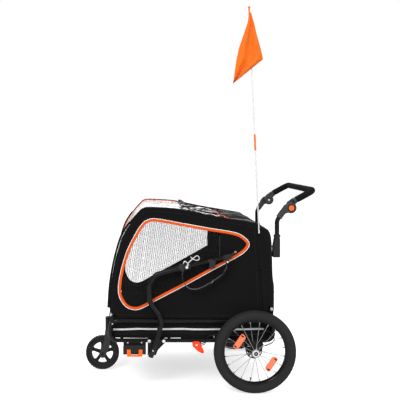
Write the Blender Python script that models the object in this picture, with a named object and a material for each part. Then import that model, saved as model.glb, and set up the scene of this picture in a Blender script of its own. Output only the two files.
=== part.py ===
"""A bicycle trailer for a dog: a fabric cabin on a folding tube frame, with two spoked wheels, a swivelling
front wheel, a push handle, a tow arm folded against its left side and a safety flag.

The trailer heads towards -X, its left side is -Y and up is +Z. The origin is on the ground, under the middle
of its outline. Points of a side view are (x, z), with x counted from the rear axle and z from the ground.
"""

import math

import bmesh
import bpy
from mathutils import Matrix, Vector

# Clearances
GAP = 0.0003
SEAM_GAP = 0.002
RUNNING = 0.0003

# Rear wheels
AXLE_X = 0.2712
WHEEL_OUTSET = 0.045
WHEEL_R = 0.200
TYRE_WIDTH = 0.044
TYRE_BEAD_R = 0.1535
RIM_DEPTH = 0.0065
RIM_WIDTH = 0.028
SPOKES = 20
SPOKE_D = 0.0026
FLANGE_R = 0.021
FLANGE_SPREAD = 0.020
FLANGE_T = 0.004
HUB_R = 0.013
HUB_LENGTH = 0.054
DISC_R = 0.041
DISC_T = 0.004
DISC_HOLES = 8
REFLECTOR_LENGTH = 0.086
REFLECTOR_HEIGHT = 0.030
REFLECTOR_T = 0.006
REFLECTOR_R = 0.094
BOLT_SHAFT_R = 0.006
BOLT_HEAD_R = 0.0165
BOLT_HEAD_T = 0.006

# Frame tubes
TUBE_R = 0.010
FRAME_HALF_W = 0.280
FRAME_FRONT = -0.705
FRAME_REAR = 0.099
FRAME_BEND_R = 0.042
UPPER_RAIL_Z = 0.338
LOWER_RAIL_Z = 0.241
FLOOR_TUBE_X = -0.180
AXLE_TUBE_R = 0.011
BRACKET_T = 0.010
BRACKET_TOP_LENGTH = 0.100

# Tray and floor
TRAY_INSET = 0.0185
TRAY_HALF_W = FRAME_HALF_W - TRAY_INSET
TRAY_WALL = 0.0025
TRAY_BOTTOM = 0.2585
TRAY_TOP = 0.346
FLOOR_T = 0.009

# Swivelling front wheel
CASTER_AHEAD = 0.029
CASTER_AXIS = FRAME_FRONT - CASTER_AHEAD
CASTER_LEAD = 0.029
FRONT_WHEEL_R = 0.0905
FRONT_TYRE_W = 0.030
FRONT_TYRE_T = 0.014
FRONT_SPOKES = 5
FORK_BLADE_T = 0.006
FORK_BLADE_W = 0.034
STEM_R = 0.009
SOCKET_R = 0.014
SOCKET_BOTTOM = 0.214
SOCKET_TOP = 0.300

# Cabin outline seen from the side, and its folding hoops
ROOF_LINE = (
    (-0.7117, 0.4020),
    (-0.7028, 0.5218),
    (-0.6807, 0.6415),
    (-0.6477, 0.7499),
    (-0.6053, 0.8189),
    (-0.5624, 0.8696),
    (-0.5378, 0.8890),
    (-0.4949, 0.8923),
    (-0.3604, 0.8829),
    (-0.2077, 0.8524),
    (-0.0204, 0.8204),
    (0.0180, 0.8140),
    (0.0308, 0.8060),
)
REAR_LINE = (
    (0.0308, 0.8060),
    (0.0648, 0.7900),
    (0.0830, 0.7598),
    (0.0904, 0.6908),
    (0.0930, 0.5578),
    (0.1000, 0.5036),
    (0.1027, 0.4070),
    (0.1003, 0.3800),
    (0.0900, 0.3515),
)
FABRIC_T = 0.002
PANEL_BOTTOM = 0.351
CABIN_OUTSET = 0.0135
CABIN_HALF_W = FRAME_HALF_W + CABIN_OUTSET
HOOP_R = 0.009
HOOP_CORNER_R = 0.075
HOOP_NEST = 0.0195
HOOP_TAIL = 0.016
FRONT_HINGE = (-0.7015, 0.3720)
REAR_HINGE = (0.0885, 0.3985)
FRONT_HOOP = ((-0.6880, 0.5200), (-0.6640, 0.6400), (-0.6310, 0.7430), (-0.5890, 0.8080), (-0.5330, 0.8700))
REAR_HOOP = ((0.0780, 0.5200), (0.0740, 0.6908), (0.0680, 0.7500), (0.0300, 0.7880))
HINGE_PLATE_T = 0.003
HINGE_PLATE_W = 0.026
SMALL_BOLT_R = 0.003
SMALL_HEAD_R = 0.0062
SMALL_HEAD_T = 0.003

# Window in each side panel
WINDOW = (
    (-0.5208, 0.8272),
    (-0.4787, 0.8337),
    (-0.3506, 0.8120),
    (-0.2234, 0.7893),
    (-0.1141, 0.7721),
    (-0.0623, 0.7548),
    (-0.0283, 0.7203),
    (-0.0450, 0.6873),
    (-0.0880, 0.6573),
    (-0.1894, 0.6021),
    (-0.3422, 0.5173),
    (-0.4787, 0.4454),
    (-0.5378, 0.4114),
    (-0.5802, 0.3976),
    (-0.6225, 0.4114),
    (-0.6521, 0.4543),
    (-0.6580, 0.5045),
    (-0.6437, 0.5898),
    (-0.6141, 0.6829),
    (-0.5757, 0.7598),
    (-0.5462, 0.8061),
)
PIPING_R = 0.005
NET_T = 0.0012
NET_REAR = -0.169
NET_PITCH = 0.046
NET_BAR = 0.006
NET_EDGE = 0.010

# Rear door
DOOR_INSET = 0.075
DOOR_HALF_W = FRAME_HALF_W - DOOR_INSET
DOOR_BOTTOM = 0.400
DOOR_TOP = 0.735

# Roll of cover fabric on the roof
ROLL_X = -0.335
ROLL_R = 0.017
ROLL_INSET = 0.025
ROLL_HALF_LENGTH = FRAME_HALF_W - ROLL_INSET

# Push handle
HANDLE_INSET = 0.015
HANDLE_HALF_W = FRAME_HALF_W - HANDLE_INSET
STEM_X = 0.1205
STEM_TUBE_R = 0.0095
STEM_BOTTOM = 0.664
HANDLE_PIVOT = (0.188, 0.893)
PIVOT_DISC_R = 0.027
PIVOT_DISC_T = 0.015
SLEEVE_R = 0.0145
SLEEVE_LENGTH = 0.062
HANDLE_REACH = (0.297, 0.981)
HANDLE_BEND_R = 0.055
BAR_R = 0.009
GRIP_R = 0.0137
GRIP_START = 0.040
BUTTON_R = 0.016
BUTTON_DEPTH = 0.006
BUTTON_PROUD = 0.003
HOLDER_HALF_W = 0.015
HOLDER_BOTTOM = 0.649
HOLDER_TOP = 0.757

# Tow arm on the left side
ARM_R = 0.0125
ARM_CLEAR = 0.0035
ARM_PIVOT = (-0.4938, 0.2030)
ARM_LINE = (
    (-0.5050, 0.1694),
    (-0.4660, 0.2865),
    (-0.4490, 0.3430),
    (-0.4650, 0.3790),
    (-0.5080, 0.4360),
    (-0.5120, 0.5240),
    (-0.4800, 0.5700),
    (-0.3600, 0.6030),
)
ARM_BEND_R = 0.035
COUPLER_R = 0.0165
COUPLER_LENGTH = 0.050
ROD_R = 0.0085
ROD_END = (-0.1460, 0.6540)
CONNECTOR_R = 0.0135
CONNECTOR_LENGTH = 0.034
HITCH_TIP = (-0.0878, 0.6854)
PIN_R = 0.0032
PIN_RING_R = 0.011
STRAP_W = 0.020
STRAP_T = 0.0022
STRAP_LINE = (
    (-0.3520, 0.5700),
    (-0.3440, 0.5330),
    (-0.3230, 0.5070),
    (-0.2900, 0.4990),
    (-0.2500, 0.5110),
    (-0.1960, 0.5430),
    (-0.1560, 0.5720),
    (-0.1330, 0.6080),
)
ARM_PLATE_T = 0.004
RAIL_BOLT_SUNK = 0.001
SADDLE_FRONT = -0.639
SADDLE_REAR = -0.528
SADDLE_WALL = 0.003
SADDLE_TOP = 0.2300
LATCH_T = 0.004
LATCH_BAR = 0.008
LATCH_LEGS = (-0.611, -0.554)
LATCH_LEG_W = 0.018
LATCH_TOP = 0.211

# Parking brake
PEDAL_PIVOT = (-0.2810, 0.2260)
PEDAL_T = 0.012
PEDAL_TAIL = 0.0195
PEDAL_OUTLINE = ((-0.3010, 0.2400), (-0.2680, 0.2410), (-0.2460, 0.1880), (-0.2540, 0.1850), (-0.3000, 0.2160))
BRAKE_PIN_R = 0.004
BRAKE_PIN_ARM = 0.032
BRAKE_PIN_ANGLE = 17.0
BRAKE_PIN_LENGTH = 0.020
BOSS_R = 0.008
BOSS_T = 0.006
CABLE_R = 0.0022

# Flag
POLE_FOOT = (0.0331, 0.600)
POLE_LEAN = -2.53
POLE_R = 0.003
POLE_LENGTH = 1.278
FERRULE_AT = 0.617
FERRULE_LENGTH = 0.079
FERRULE_R = 0.0047
TIP_R = 0.0065
FLAG_T = 0.0012
FLAG_FOLD = 0.020
FLAG_FOLDS = 1.6
FLAG_ROWS = (
    ((-0.0228, 1.8520), (-0.0150, 1.8500)),
    ((-0.0296, 1.8030), (-0.0020, 1.8000)),
    ((-0.0500, 1.7430), (0.0105, 1.7430)),
    ((-0.0740, 1.6740), (0.0285, 1.6800)),
    ((-0.0872, 1.6130), (0.0432, 1.6220)),
    ((-0.0955, 1.5580), (-0.0300, 1.5620)),
    ((-0.1028, 1.5030), (-0.0985, 1.5070)),
)
SLEEVE_TUBE_R = 0.0050
FLAG_SLEEVE_LENGTH = 0.170


def clear_scene():
    for thing in list(bpy.data.objects):
        bpy.data.objects.remove(thing, do_unlink=True)


def material(name, colour, roughness, metallic=0.0):
    made = bpy.data.materials.get(name)
    if made is None:
        made = bpy.data.materials.new(name)
        made.use_nodes = True
        shader = made.node_tree.nodes["Principled BSDF"]
        shader.inputs["Base Color"].default_value = (*colour, 1.0)
        shader.inputs["Roughness"].default_value = roughness
        shader.inputs["Metallic"].default_value = metallic
        made.diffuse_color = (*colour, 1.0)
    return made


def black_steel():
    return material("black_steel", (0.015, 0.015, 0.016), 0.25, 0.4)


def black_plastic():
    return material("black_plastic", (0.02, 0.02, 0.021), 0.45)


def grey_plastic():
    return material("grey_plastic", (0.06, 0.06, 0.065), 0.5)


def black_rubber():
    return material("black_rubber", (0.025, 0.025, 0.026), 0.75)


def foam():
    return material("foam", (0.03, 0.03, 0.032), 0.9)


def silver():
    return material("silver", (0.62, 0.62, 0.63), 0.3, 1.0)


def fabric():
    return material("black_fabric", (0.02, 0.02, 0.022), 0.85)


def net_fabric():
    return material("net", (0.05, 0.05, 0.055), 0.8)


def webbing():
    return material("webbing", (0.05, 0.05, 0.055), 0.8)


def orange():
    return material("orange", (0.85, 0.17, 0.02), 0.5)


def amber():
    return material("amber", (0.9, 0.25, 0.01), 0.15)


def white():
    return material("white", (0.85, 0.85, 0.83), 0.4)


def board():
    return material("board", (0.03, 0.03, 0.032), 0.8)


def link(thing, finish=None):
    bpy.context.scene.collection.objects.link(thing)
    if finish is not None:
        thing.data.materials.clear()
        thing.data.materials.append(finish)
    return thing


def own_origin(thing, origin):
    """Moves an object's origin to a world point and leaves its shape where it is."""
    thing.data.transform(Matrix.Translation(-Vector(origin)))
    thing.location = origin
    return thing


def mesh_from(bm, name, finish, smooth=True):
    bmesh.ops.recalc_face_normals(bm, faces=bm.faces)
    mesh = bpy.data.meshes.new(name)
    bm.to_mesh(mesh)
    bm.free()
    if smooth:
        mesh.shade_smooth()
        mesh.set_sharp_from_angle(angle=math.radians(35))
    return link(bpy.data.objects.new(name, mesh), finish)


def solid_of(thing, name):
    """A mesh object with the shape that a curve or a modified object has."""
    graph = bpy.context.evaluated_depsgraph_get()
    mesh = bpy.data.meshes.new_from_object(thing.evaluated_get(graph))
    mesh.transform(thing.matrix_world)
    bm = bmesh.new()
    bm.from_mesh(mesh)
    bmesh.ops.remove_doubles(bm, verts=bm.verts, dist=0.000001)
    bmesh.ops.recalc_face_normals(bm, faces=bm.faces)
    bm.to_mesh(mesh)
    bm.free()
    finish = thing.data.materials[0] if thing.data.materials else None
    bpy.data.objects.remove(thing, do_unlink=True)
    mesh.name = name
    return link(bpy.data.objects.new(name, mesh), finish)


def helper(thing):
    """Keeps a cutter or a joined shape out of the model."""
    thing.hide_render = True
    thing.display_type = "WIRE"
    return thing


def boolean(target, operation, other):
    cut = target.modifiers.new(operation.lower(), "BOOLEAN")
    cut.operation = operation
    cut.object = helper(other)
    return target


def at(x, z, y=0.0):
    """World point of a side-view point, x counted from the rear axle."""
    return Vector((AXLE_X + x, y, z))


def side_path(points, y):
    return [at(x, z, y) for x, z in points]


def fillet(before, corner, after, radius, steps):
    """Points of an arc that rounds a corner of a path; steps are for a right-angled bend."""
    back = (before - corner).normalized()
    ahead = (after - corner).normalized()
    turn = math.pi - back.angle(ahead)
    if turn < math.radians(2):
        return [corner]
    steps = max(1, round(steps * turn / (math.pi / 2)))
    reach = radius * math.tan(turn / 2)
    reach = min(reach, 0.48 * (before - corner).length, 0.48 * (after - corner).length)
    start = corner + back * reach
    end = corner + ahead * reach
    points = []
    for step in range(steps + 1):
        t = step / steps
        points.append(start * (1 - t) ** 2 + corner * 2 * t * (1 - t) + end * t**2)
    return points


def rounded(points, radius, steps=4, closed=False):
    points = [Vector(p) for p in points]
    count = len(points)
    path = []
    for i, corner in enumerate(points):
        if not closed and i in (0, count - 1):
            path.append(corner)
        else:
            path += fillet(points[i - 1], corner, points[(i + 1) % count], radius, steps)
    return path


def smooth_line(points, per_span=3):
    """Points of a smooth curve through the given ones, by Catmull-Rom."""
    points = [Vector(p) for p in points]
    padded = [points[0] * 2 - points[1], *points, points[-1] * 2 - points[-2]]
    path = []
    for a, b, c, d in zip(padded, padded[1:], padded[2:], padded[3:]):
        for step in range(per_span):
            t = step / per_span
            bend = 2 * a - 5 * b + 4 * c - d
            twist = 3 * b - a - 3 * c + d
            path.append(0.5 * (2 * b + (c - a) * t + bend * t * t + twist * t**3))
    return path + [points[-1]]


def smooth_loop(points, per_span=2):
    points = [Vector(p) for p in points]
    count = len(points)
    path = []
    for i in range(count):
        a, b, c, d = (points[(i + k) % count] for k in (-1, 0, 1, 2))
        for step in range(per_span):
            t = step / per_span
            bend = 2 * a - 5 * b + 4 * c - d
            twist = 3 * b - a - 3 * c + d
            path.append(0.5 * (2 * b + (c - a) * t + bend * t * t + twist * t**3))
    return path


def inward(points, distance, closed=False):
    """Moves a line in the (x, z) plane to its right-hand side by a distance."""
    points = [Vector((p[0], p[1])) for p in points]
    count = len(points)
    moved = []
    for i, point in enumerate(points):
        before = points[i - 1] if closed or i else point
        after = points[(i + 1) % count] if closed or i < count - 1 else point
        along = (after - before).normalized()
        moved.append(point + Vector((along.y, -along.x)) * distance)
    return moved


def tube(name, points, radius, finish, closed=False, sides=8):
    """A round bar along points; 8, 10 or 12 sides."""
    curve = bpy.data.curves.new(name, "CURVE")
    curve.dimensions = "3D"
    curve.bevel_depth = radius
    curve.bevel_resolution = sides // 2 - 2
    curve.use_fill_caps = True
    curve.twist_mode = "MINIMUM"
    line = curve.splines.new("POLY")
    line.points.add(len(points) - 1)
    for slot, point in zip(line.points, points):
        slot.co = (*point, 1.0)
    line.use_cyclic_u = closed
    line.use_smooth = True
    return link(bpy.data.objects.new(name, curve), finish)


def plate(name, outlines, thickness, y, finish):
    """A flat plate in the side view plane; the first outline is its edge and the others are holes."""
    curve = bpy.data.curves.new(name, "CURVE")
    curve.dimensions = "2D"
    curve.fill_mode = "BOTH"
    curve.extrude = thickness / 2
    for outline in outlines:
        line = curve.splines.new("POLY")
        line.points.add(len(outline) - 1)
        for slot, point in zip(line.points, outline):
            slot.co = (AXLE_X + point[0], point[1], 0.0, 1.0)
        line.use_cyclic_u = True
    made = link(bpy.data.objects.new(name, curve), finish)
    made.matrix_world = Matrix.Translation((0.0, y, 0.0)) @ Matrix.Rotation(math.pi / 2, 4, "X")
    bpy.context.view_layer.update()
    return made


def ring_points(centre, radius, count, start=0.0):
    return [
        (
            centre[0] + radius * math.cos(start + math.tau * i / count),
            centre[1] + radius * math.sin(start + math.tau * i / count),
        )
        for i in range(count)
    ]


def turned(name, profile, finish, segments=24, open_bore=False):
    """A turned solid about the Y axis from (radius, y) points; the profile closes on itself round a bore."""
    bm = bmesh.new()
    rings = []
    for radius, y in profile:
        if radius == 0:
            rings.append([bm.verts.new((0, y, 0))] * segments)
            continue
        turn = math.tau / segments
        rings.append(
            [bm.verts.new((radius * math.cos(turn * i), y, radius * math.sin(turn * i))) for i in range(segments)]
        )
    pairs = list(zip(rings, rings[1:]))
    if open_bore:
        pairs.append((rings[-1], rings[0]))
    for low, high in pairs:
        for i in range(segments):
            j = (i + 1) % segments
            corners = list(dict.fromkeys((low[i], low[j], high[j], high[i])))
            if len(corners) > 2:
                bm.faces.new(corners)
    return mesh_from(bm, name, finish)


def cylinder(name, radius, low, high, finish, segments=20):
    return turned(name, [(0, low), (radius, low), (radius, high), (0, high)], finish, segments)


def pipe(name, outer, inner, low, high, finish, segments=20):
    profile = [(outer, low), (outer, high), (inner, high), (inner, low)]
    return turned(name, profile, finish, segments, open_bore=True)


def place(thing, matrix):
    thing.data.transform(matrix)
    return thing


def block(name, low, high, finish, bevel=0.0):
    bm = bmesh.new()
    bmesh.ops.create_cube(bm, size=1.0)
    low, high = Vector(low), Vector(high)
    size = high - low
    for vert in bm.verts:
        vert.co = (low + high) / 2 + Vector(v * s for v, s in zip(vert.co, size))
    if bevel:
        bmesh.ops.bevel(
            bm, geom=bm.edges[:], offset=bevel, segments=2, profile=0.5, affect="EDGES", clamp_overlap=True
        )
    return mesh_from(bm, name, finish)


def fused(thing, others):
    """Welds other shapes to an object."""
    for other in others:
        boolean(thing, "UNION", solid_of(other, other.name))
    return solid_of(thing, thing.name)


def bar_between(bm, start, end, radius, sides=4):
    """Adds a straight round rod with flat ends to a mesh being built."""
    along = (end - start).normalized()
    across = along.orthogonal().normalized()
    up = along.cross(across)
    rings = []
    for centre in (start, end):
        turn = math.tau / sides
        rings.append(
            [
                bm.verts.new(centre + radius * (across * math.cos(turn * i) + up * math.sin(turn * i)))
                for i in range(sides)
            ]
        )
    for i in range(sides):
        j = (i + 1) % sides
        bm.faces.new((rings[0][i], rings[0][j], rings[1][j], rings[1][i]))
    bm.faces.new(rings[0][::-1])
    bm.faces.new(rings[1])


def capsule(start, end, width, steps=6):
    """Outline of a strip with round ends between two side-view points."""
    start, end = Vector(start), Vector(end)
    angle = math.atan2(end.y - start.y, end.x - start.x)
    outline = []
    for centre, first in ((end, angle - math.pi / 2), (start, angle + math.pi / 2)):
        for step in range(steps + 1):
            turn = first + math.pi * step / steps
            outline.append((centre.x + width / 2 * math.cos(turn), centre.y + width / 2 * math.sin(turn)))
    return outline


SIDES = (("left", -1), ("right", 1))
WHEEL_Y = FRAME_HALF_W + WHEEL_OUTSET
AXLE_Z = WHEEL_R
RIM_OUTER_R = TYRE_BEAD_R - GAP
RIM_INNER_R = RIM_OUTER_R - RIM_DEPTH
HUB_BORE_R = BOLT_SHAFT_R + RUNNING


def wheel_place(side):
    return Matrix.Translation((AXLE_X, side * WHEEL_Y, AXLE_Z))


def set_wheel(thing, side):
    place(thing, wheel_place(side))
    return own_origin(thing, (AXLE_X, side * WHEEL_Y, AXLE_Z))


def tyre_profile(outer_r, bead_r, width, bead_width, steps=4):
    """Half-round section, drawn in to the flat that sits on the rim."""
    middle = (outer_r + bead_r) / 2
    rise = (outer_r - bead_r) / 2
    profile = [(bead_r, -bead_width / 2)]
    for step in range(steps + 1):
        angle = math.radians(-105 + 210 * step / steps)
        profile.append((middle + rise * math.cos(angle), width / 2 * math.sin(angle)))
    return profile + [(bead_r, bead_width / 2)]


def make_tyre(label, side):
    profile = tyre_profile(WHEEL_R, TYRE_BEAD_R, TYRE_WIDTH, RIM_WIDTH)
    set_wheel(turned(f"tyre_{label}", profile, black_rubber(), 36, open_bore=True), side)


def spoke_offset(radius):
    """How far a spoke is from the middle plane of its wheel at a radius."""
    share = (radius - FLANGE_R) / (RIM_INNER_R - FLANGE_R)
    return FLANGE_SPREAD * (1 - 0.85 * share)


def make_rim(label, side):
    """Rim with its laced spokes, which stop just short of the hub's flanges."""
    half = RIM_WIDTH / 2
    profile = [
        (RIM_INNER_R, -0.5 * half),
        (RIM_OUTER_R, -half),
        (RIM_OUTER_R, half),
        (RIM_INNER_R, 0.5 * half),
    ]
    rim = turned(f"rim_{label}", profile, black_steel(), 36, open_bore=True)
    bm = bmesh.new()
    inner = FLANGE_R + 2 * GAP
    outer = RIM_INNER_R + 0.4 * RIM_DEPTH
    for i in range(SPOKES):
        angle = math.tau * (i + 0.5) / SPOKES
        hand = 1 if i % 2 else -1
        out = Vector((math.cos(angle), 0, math.sin(angle)))
        start = out * inner + Vector((0, hand * spoke_offset(inner), 0))
        end = out * outer + Vector((0, hand * spoke_offset(outer), 0))
        bar_between(bm, start, end, SPOKE_D / 2)
    spokes = mesh_from(bm, f"spokes_{label}", None, smooth=False)
    set_wheel(fused(rim, [spokes]), side)


def make_hub(label, side):
    """Hub shell with two spoke flanges and the drilled disc that the brake pin locks."""
    end = HUB_LENGTH / 2
    step = FLANGE_T / 2
    profile = [
        (HUB_BORE_R, -side * end),
        (DISC_R, -side * end),
        (DISC_R, -side * (end - DISC_T)),
        (HUB_R, -side * (end - DISC_T)),
        (HUB_R, -side * (FLANGE_SPREAD + step)),
        (FLANGE_R, -side * (FLANGE_SPREAD + step)),
        (FLANGE_R, -side * (FLANGE_SPREAD - step)),
        (HUB_R, -side * (FLANGE_SPREAD - step)),
        (HUB_R, side * (FLANGE_SPREAD - step)),
        (FLANGE_R, side * (FLANGE_SPREAD - step)),
        (FLANGE_R, side * (FLANGE_SPREAD + step)),
        (HUB_R, side * (FLANGE_SPREAD + step)),
        (HUB_R, side * end),
        (HUB_BORE_R, side * end),
    ]
    hub = turned(f"hub_{label}", profile, black_plastic(), 18, open_bore=True)
    bm = bmesh.new()
    depth = 2 * DISC_T
    for x, z in ring_points((0, 0), BRAKE_PIN_ARM, DISC_HOLES, math.radians(BRAKE_PIN_ANGLE)):
        middle = Vector((x, -side * (end - DISC_T / 2), z))
        offset = Vector((0, depth / 2, 0))
        bar_between(bm, middle - offset, middle + offset, BRAKE_PIN_R + 4 * RUNNING, 6)
    boolean(hub, "DIFFERENCE", mesh_from(bm, f"hub_holes_{label}", None))
    set_wheel(solid_of(hub, f"hub_{label}"), side)


def make_reflectors(label, side):
    """Two amber blocks clipped across the spokes, opposite each other."""
    for place_on_wheel, degrees in (("front", 145), ("rear", -35)):
        bm = bmesh.new()
        angle = math.radians(degrees)
        out = Vector((math.cos(angle), 0, math.sin(angle)))
        along = Vector((-out.z, 0, out.x))
        clear = spoke_offset(REFLECTOR_R - REFLECTOR_HEIGHT / 2) + SPOKE_D / 2 + GAP + REFLECTOR_T / 2
        centre = out * REFLECTOR_R + Vector((0, side * clear, 0))
        box = bmesh.ops.create_cube(bm, size=1.0)
        for vert in box["verts"]:
            a, b, c = vert.co
            taper = 1 if b > 0 else 0.8
            vert.co = (
                centre
                + along * a * REFLECTOR_LENGTH * taper
                + out * b * REFLECTOR_HEIGHT
                + Vector((0, c * REFLECTOR_T, 0))
            )
        set_wheel(mesh_from(bm, f"reflector_{label}_{place_on_wheel}", amber(), smooth=False), side)


def make_wheel_bolts():
    """A headed axle bolt through each hub into the rear axle tube."""
    head = WHEEL_Y + HUB_LENGTH / 2 + GAP
    for label, side in SIDES:
        profile = [
            (0, side * (FRAME_HALF_W - 0.018)),
            (BOLT_SHAFT_R, side * (FRAME_HALF_W - 0.018)),
            (BOLT_SHAFT_R, side * head),
            (BOLT_HEAD_R, side * head),
            (BOLT_HEAD_R, side * (head + BOLT_HEAD_T - 0.0015)),
            (BOLT_HEAD_R - 0.002, side * (head + BOLT_HEAD_T)),
            (0.008, side * (head + BOLT_HEAD_T)),
            (0.0065, side * (head + 0.002)),
            (0, side * (head + 0.002)),
        ]
        bolt = turned(f"wheel_bolt_{label}", profile, silver(), 14)
        own_origin(place(bolt, Matrix.Translation((AXLE_X, 0, AXLE_Z))), (AXLE_X, side * head, AXLE_Z))


def brake_pin_centre():
    angle = math.radians(BRAKE_PIN_ANGLE)
    return BRAKE_PIN_ARM * math.cos(angle), AXLE_Z + BRAKE_PIN_ARM * math.sin(angle)


def make_rear_axle():
    """Cross tube with a bracket and a brake pin boss welded on at each end."""
    px, pz = brake_pin_centre()
    top = LOWER_RAIL_Z - TUBE_R - GAP
    half = BRACKET_TOP_LENGTH / 2
    outline = [
        (-half, top),
        (half, top),
        (half - 0.004, pz - 0.006),
        (0.6 * half, AXLE_Z - 0.016),
        (0, AXLE_Z - 0.025),
        (-0.6 * half, AXLE_Z - 0.016),
        (-half + 0.004, AXLE_Z + 0.012),
    ]
    outer = FRAME_HALF_W + BRACKET_T / 2
    axle = cylinder("rear_axle", AXLE_TUBE_R, -FRAME_HALF_W, FRAME_HALF_W, black_steel())
    place(axle, Matrix.Translation((AXLE_X, 0, AXLE_Z)))
    long_bore = cylinder("axle_bore", BOLT_SHAFT_R + 2 * RUNNING, -2 * FRAME_HALF_W, 2 * FRAME_HALF_W, None)
    cutters = [place(long_bore, Matrix.Translation((AXLE_X, 0, AXLE_Z)))]
    for label, side in SIDES:
        bracket = plate(f"bracket_{label}", [outline], BRACKET_T, side * FRAME_HALF_W, black_steel())
        boolean(axle, "UNION", solid_of(bracket, f"bracket_{label}"))
        boss = cylinder(f"boss_{label}", BOSS_R, side * (outer - 0.003), side * (outer + BOSS_T), None, 16)
        boolean(axle, "UNION", place(boss, Matrix.Translation((AXLE_X + px, 0, pz))))
        through = side * (FRAME_HALF_W - 0.08), side * (FRAME_HALF_W + 0.12)
        bore = cylinder(f"pin_bore_{label}", BRAKE_PIN_R + RUNNING, *through, None, 12)
        cutters.append(place(bore, Matrix.Translation((AXLE_X + px, 0, pz))))
    for cutter in cutters:
        boolean(axle, "DIFFERENCE", cutter)
    solid_of(axle, "rear_axle")


def make_brake_pins():
    px, pz = brake_pin_centre()
    tip = WHEEL_Y - HUB_LENGTH / 2 - 0.0015
    for label, side in SIDES:
        profile = [
            (0, side * tip),
            (BRAKE_PIN_R - 0.001, side * tip),
            (BRAKE_PIN_R, side * (tip - 0.0015)),
            (BRAKE_PIN_R, side * (tip - BRAKE_PIN_LENGTH - 0.012)),
            (0, side * (tip - BRAKE_PIN_LENGTH - 0.012)),
        ]
        pin = turned(f"brake_pin_{label}", profile, silver(), 12)
        place(pin, Matrix.Translation((AXLE_X + px, 0, pz)))
        own_origin(pin, (AXLE_X + px, side * tip, pz))


MID_RAIL_Z = (UPPER_RAIL_Z + LOWER_RAIL_Z) / 2
TUBE_INSIDE = FRAME_HALF_W - TUBE_R
LOW_TUBE_Z = TRAY_BOTTOM - TUBE_R - GAP
TRAY_FRONT = FRAME_FRONT + TUBE_R + SEAM_GAP
TRAY_REAR = FRAME_REAR - TUBE_R - SEAM_GAP
PLATE_Y = FRAME_HALF_W + TUBE_R + GAP


def pedal_lug():
    """Lug under the left rail with the bolt that the brake pedal turns on."""
    x, z = PEDAL_PIVOT
    low = z - 0.011
    outline = [(x - 0.020, LOWER_RAIL_Z), (x + PEDAL_TAIL, LOWER_RAIL_Z), (x + PEDAL_TAIL, low), (x - 0.012, low)]
    lug = plate("pedal_lug", [outline], PEDAL_T, -(FRAME_HALF_W + 0.0045), None)
    head = PLATE_Y + 0.0016 + PEDAL_T + 3 * GAP
    return [lug, small_bolt("pedal_bolt", x, z, -1, head, FRAME_HALF_W + 0.004)]


def make_side_frames():
    """Upper and lower rail of one side, joined by a bend at each end."""
    corners = (
        (FRAME_FRONT, UPPER_RAIL_Z),
        (FRAME_REAR, UPPER_RAIL_Z),
        (FRAME_REAR, LOWER_RAIL_Z),
        (FRAME_FRONT, LOWER_RAIL_Z),
    )
    for label, side in SIDES:
        path = rounded(side_path(corners, side * FRAME_HALF_W), FRAME_BEND_R, 5, closed=True)
        name = f"side_frame_{label}"
        frame = solid_of(tube(name, path, TUBE_R, black_steel(), closed=True, sides=10), name)
        if side < 0:
            fused(frame, pedal_lug())


def cross_tube(name, x, z):
    bar = cylinder(name, TUBE_R, -TUBE_INSIDE + GAP, TUBE_INSIDE - GAP, black_steel(), 10)
    return place(bar, Matrix.Translation(at(x, z)))


def make_cross_tubes():
    cross_tube("rear_cross_tube", FRAME_REAR, MID_RAIL_Z)
    cross_tube("floor_tube", FLOOR_TUBE_X, LOW_TUBE_Z)


def make_tray():
    """Open fabric tray between the rails, with a board on its bottom."""
    low = at(TRAY_FRONT, TRAY_BOTTOM, -TRAY_HALF_W)
    high = at(TRAY_REAR, TRAY_TOP, TRAY_HALF_W)
    wall = Vector((TRAY_WALL, TRAY_WALL, TRAY_WALL))
    tray = block("tray", low, high, fabric())
    hollow = block("tray_hollow", low + wall, high + Vector((-TRAY_WALL, -TRAY_WALL, 0.05)), None)
    solid_of(boolean(tray, "DIFFERENCE", hollow), "tray")
    inset = Vector((GAP + TRAY_WALL,) * 3)
    floor_high = Vector((high.x, high.y, low.z + TRAY_WALL + FLOOR_T)) + Vector((-1, -1, 0)) * inset.x
    block("floor_board", low + inset, floor_high, board())


def make_caster_socket():
    """Upright tube for the swivel stem, welded by an arm to the front cross tube."""
    height = SOCKET_TOP - SOCKET_BOTTOM
    socket = pipe("caster_socket", SOCKET_R, STEM_R + 2 * RUNNING, 0, height, black_steel(), 16)
    place(socket, Matrix.Translation(at(CASTER_AXIS, SOCKET_BOTTOM)) @ Matrix.Rotation(math.pi / 2, 4, "X"))
    low = at(CASTER_AXIS + STEM_R + 0.002, MID_RAIL_Z - 0.018, -0.020)
    high = at(FRAME_FRONT, MID_RAIL_Z + 0.009, 0.020)
    fused(socket, [block("socket_arm", low, high, None), cross_tube("front_cross", FRAME_FRONT, MID_RAIL_Z)])


def caster_place():
    return Matrix.Translation(at(CASTER_AXIS - CASTER_LEAD, FRONT_WHEEL_R))


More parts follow.
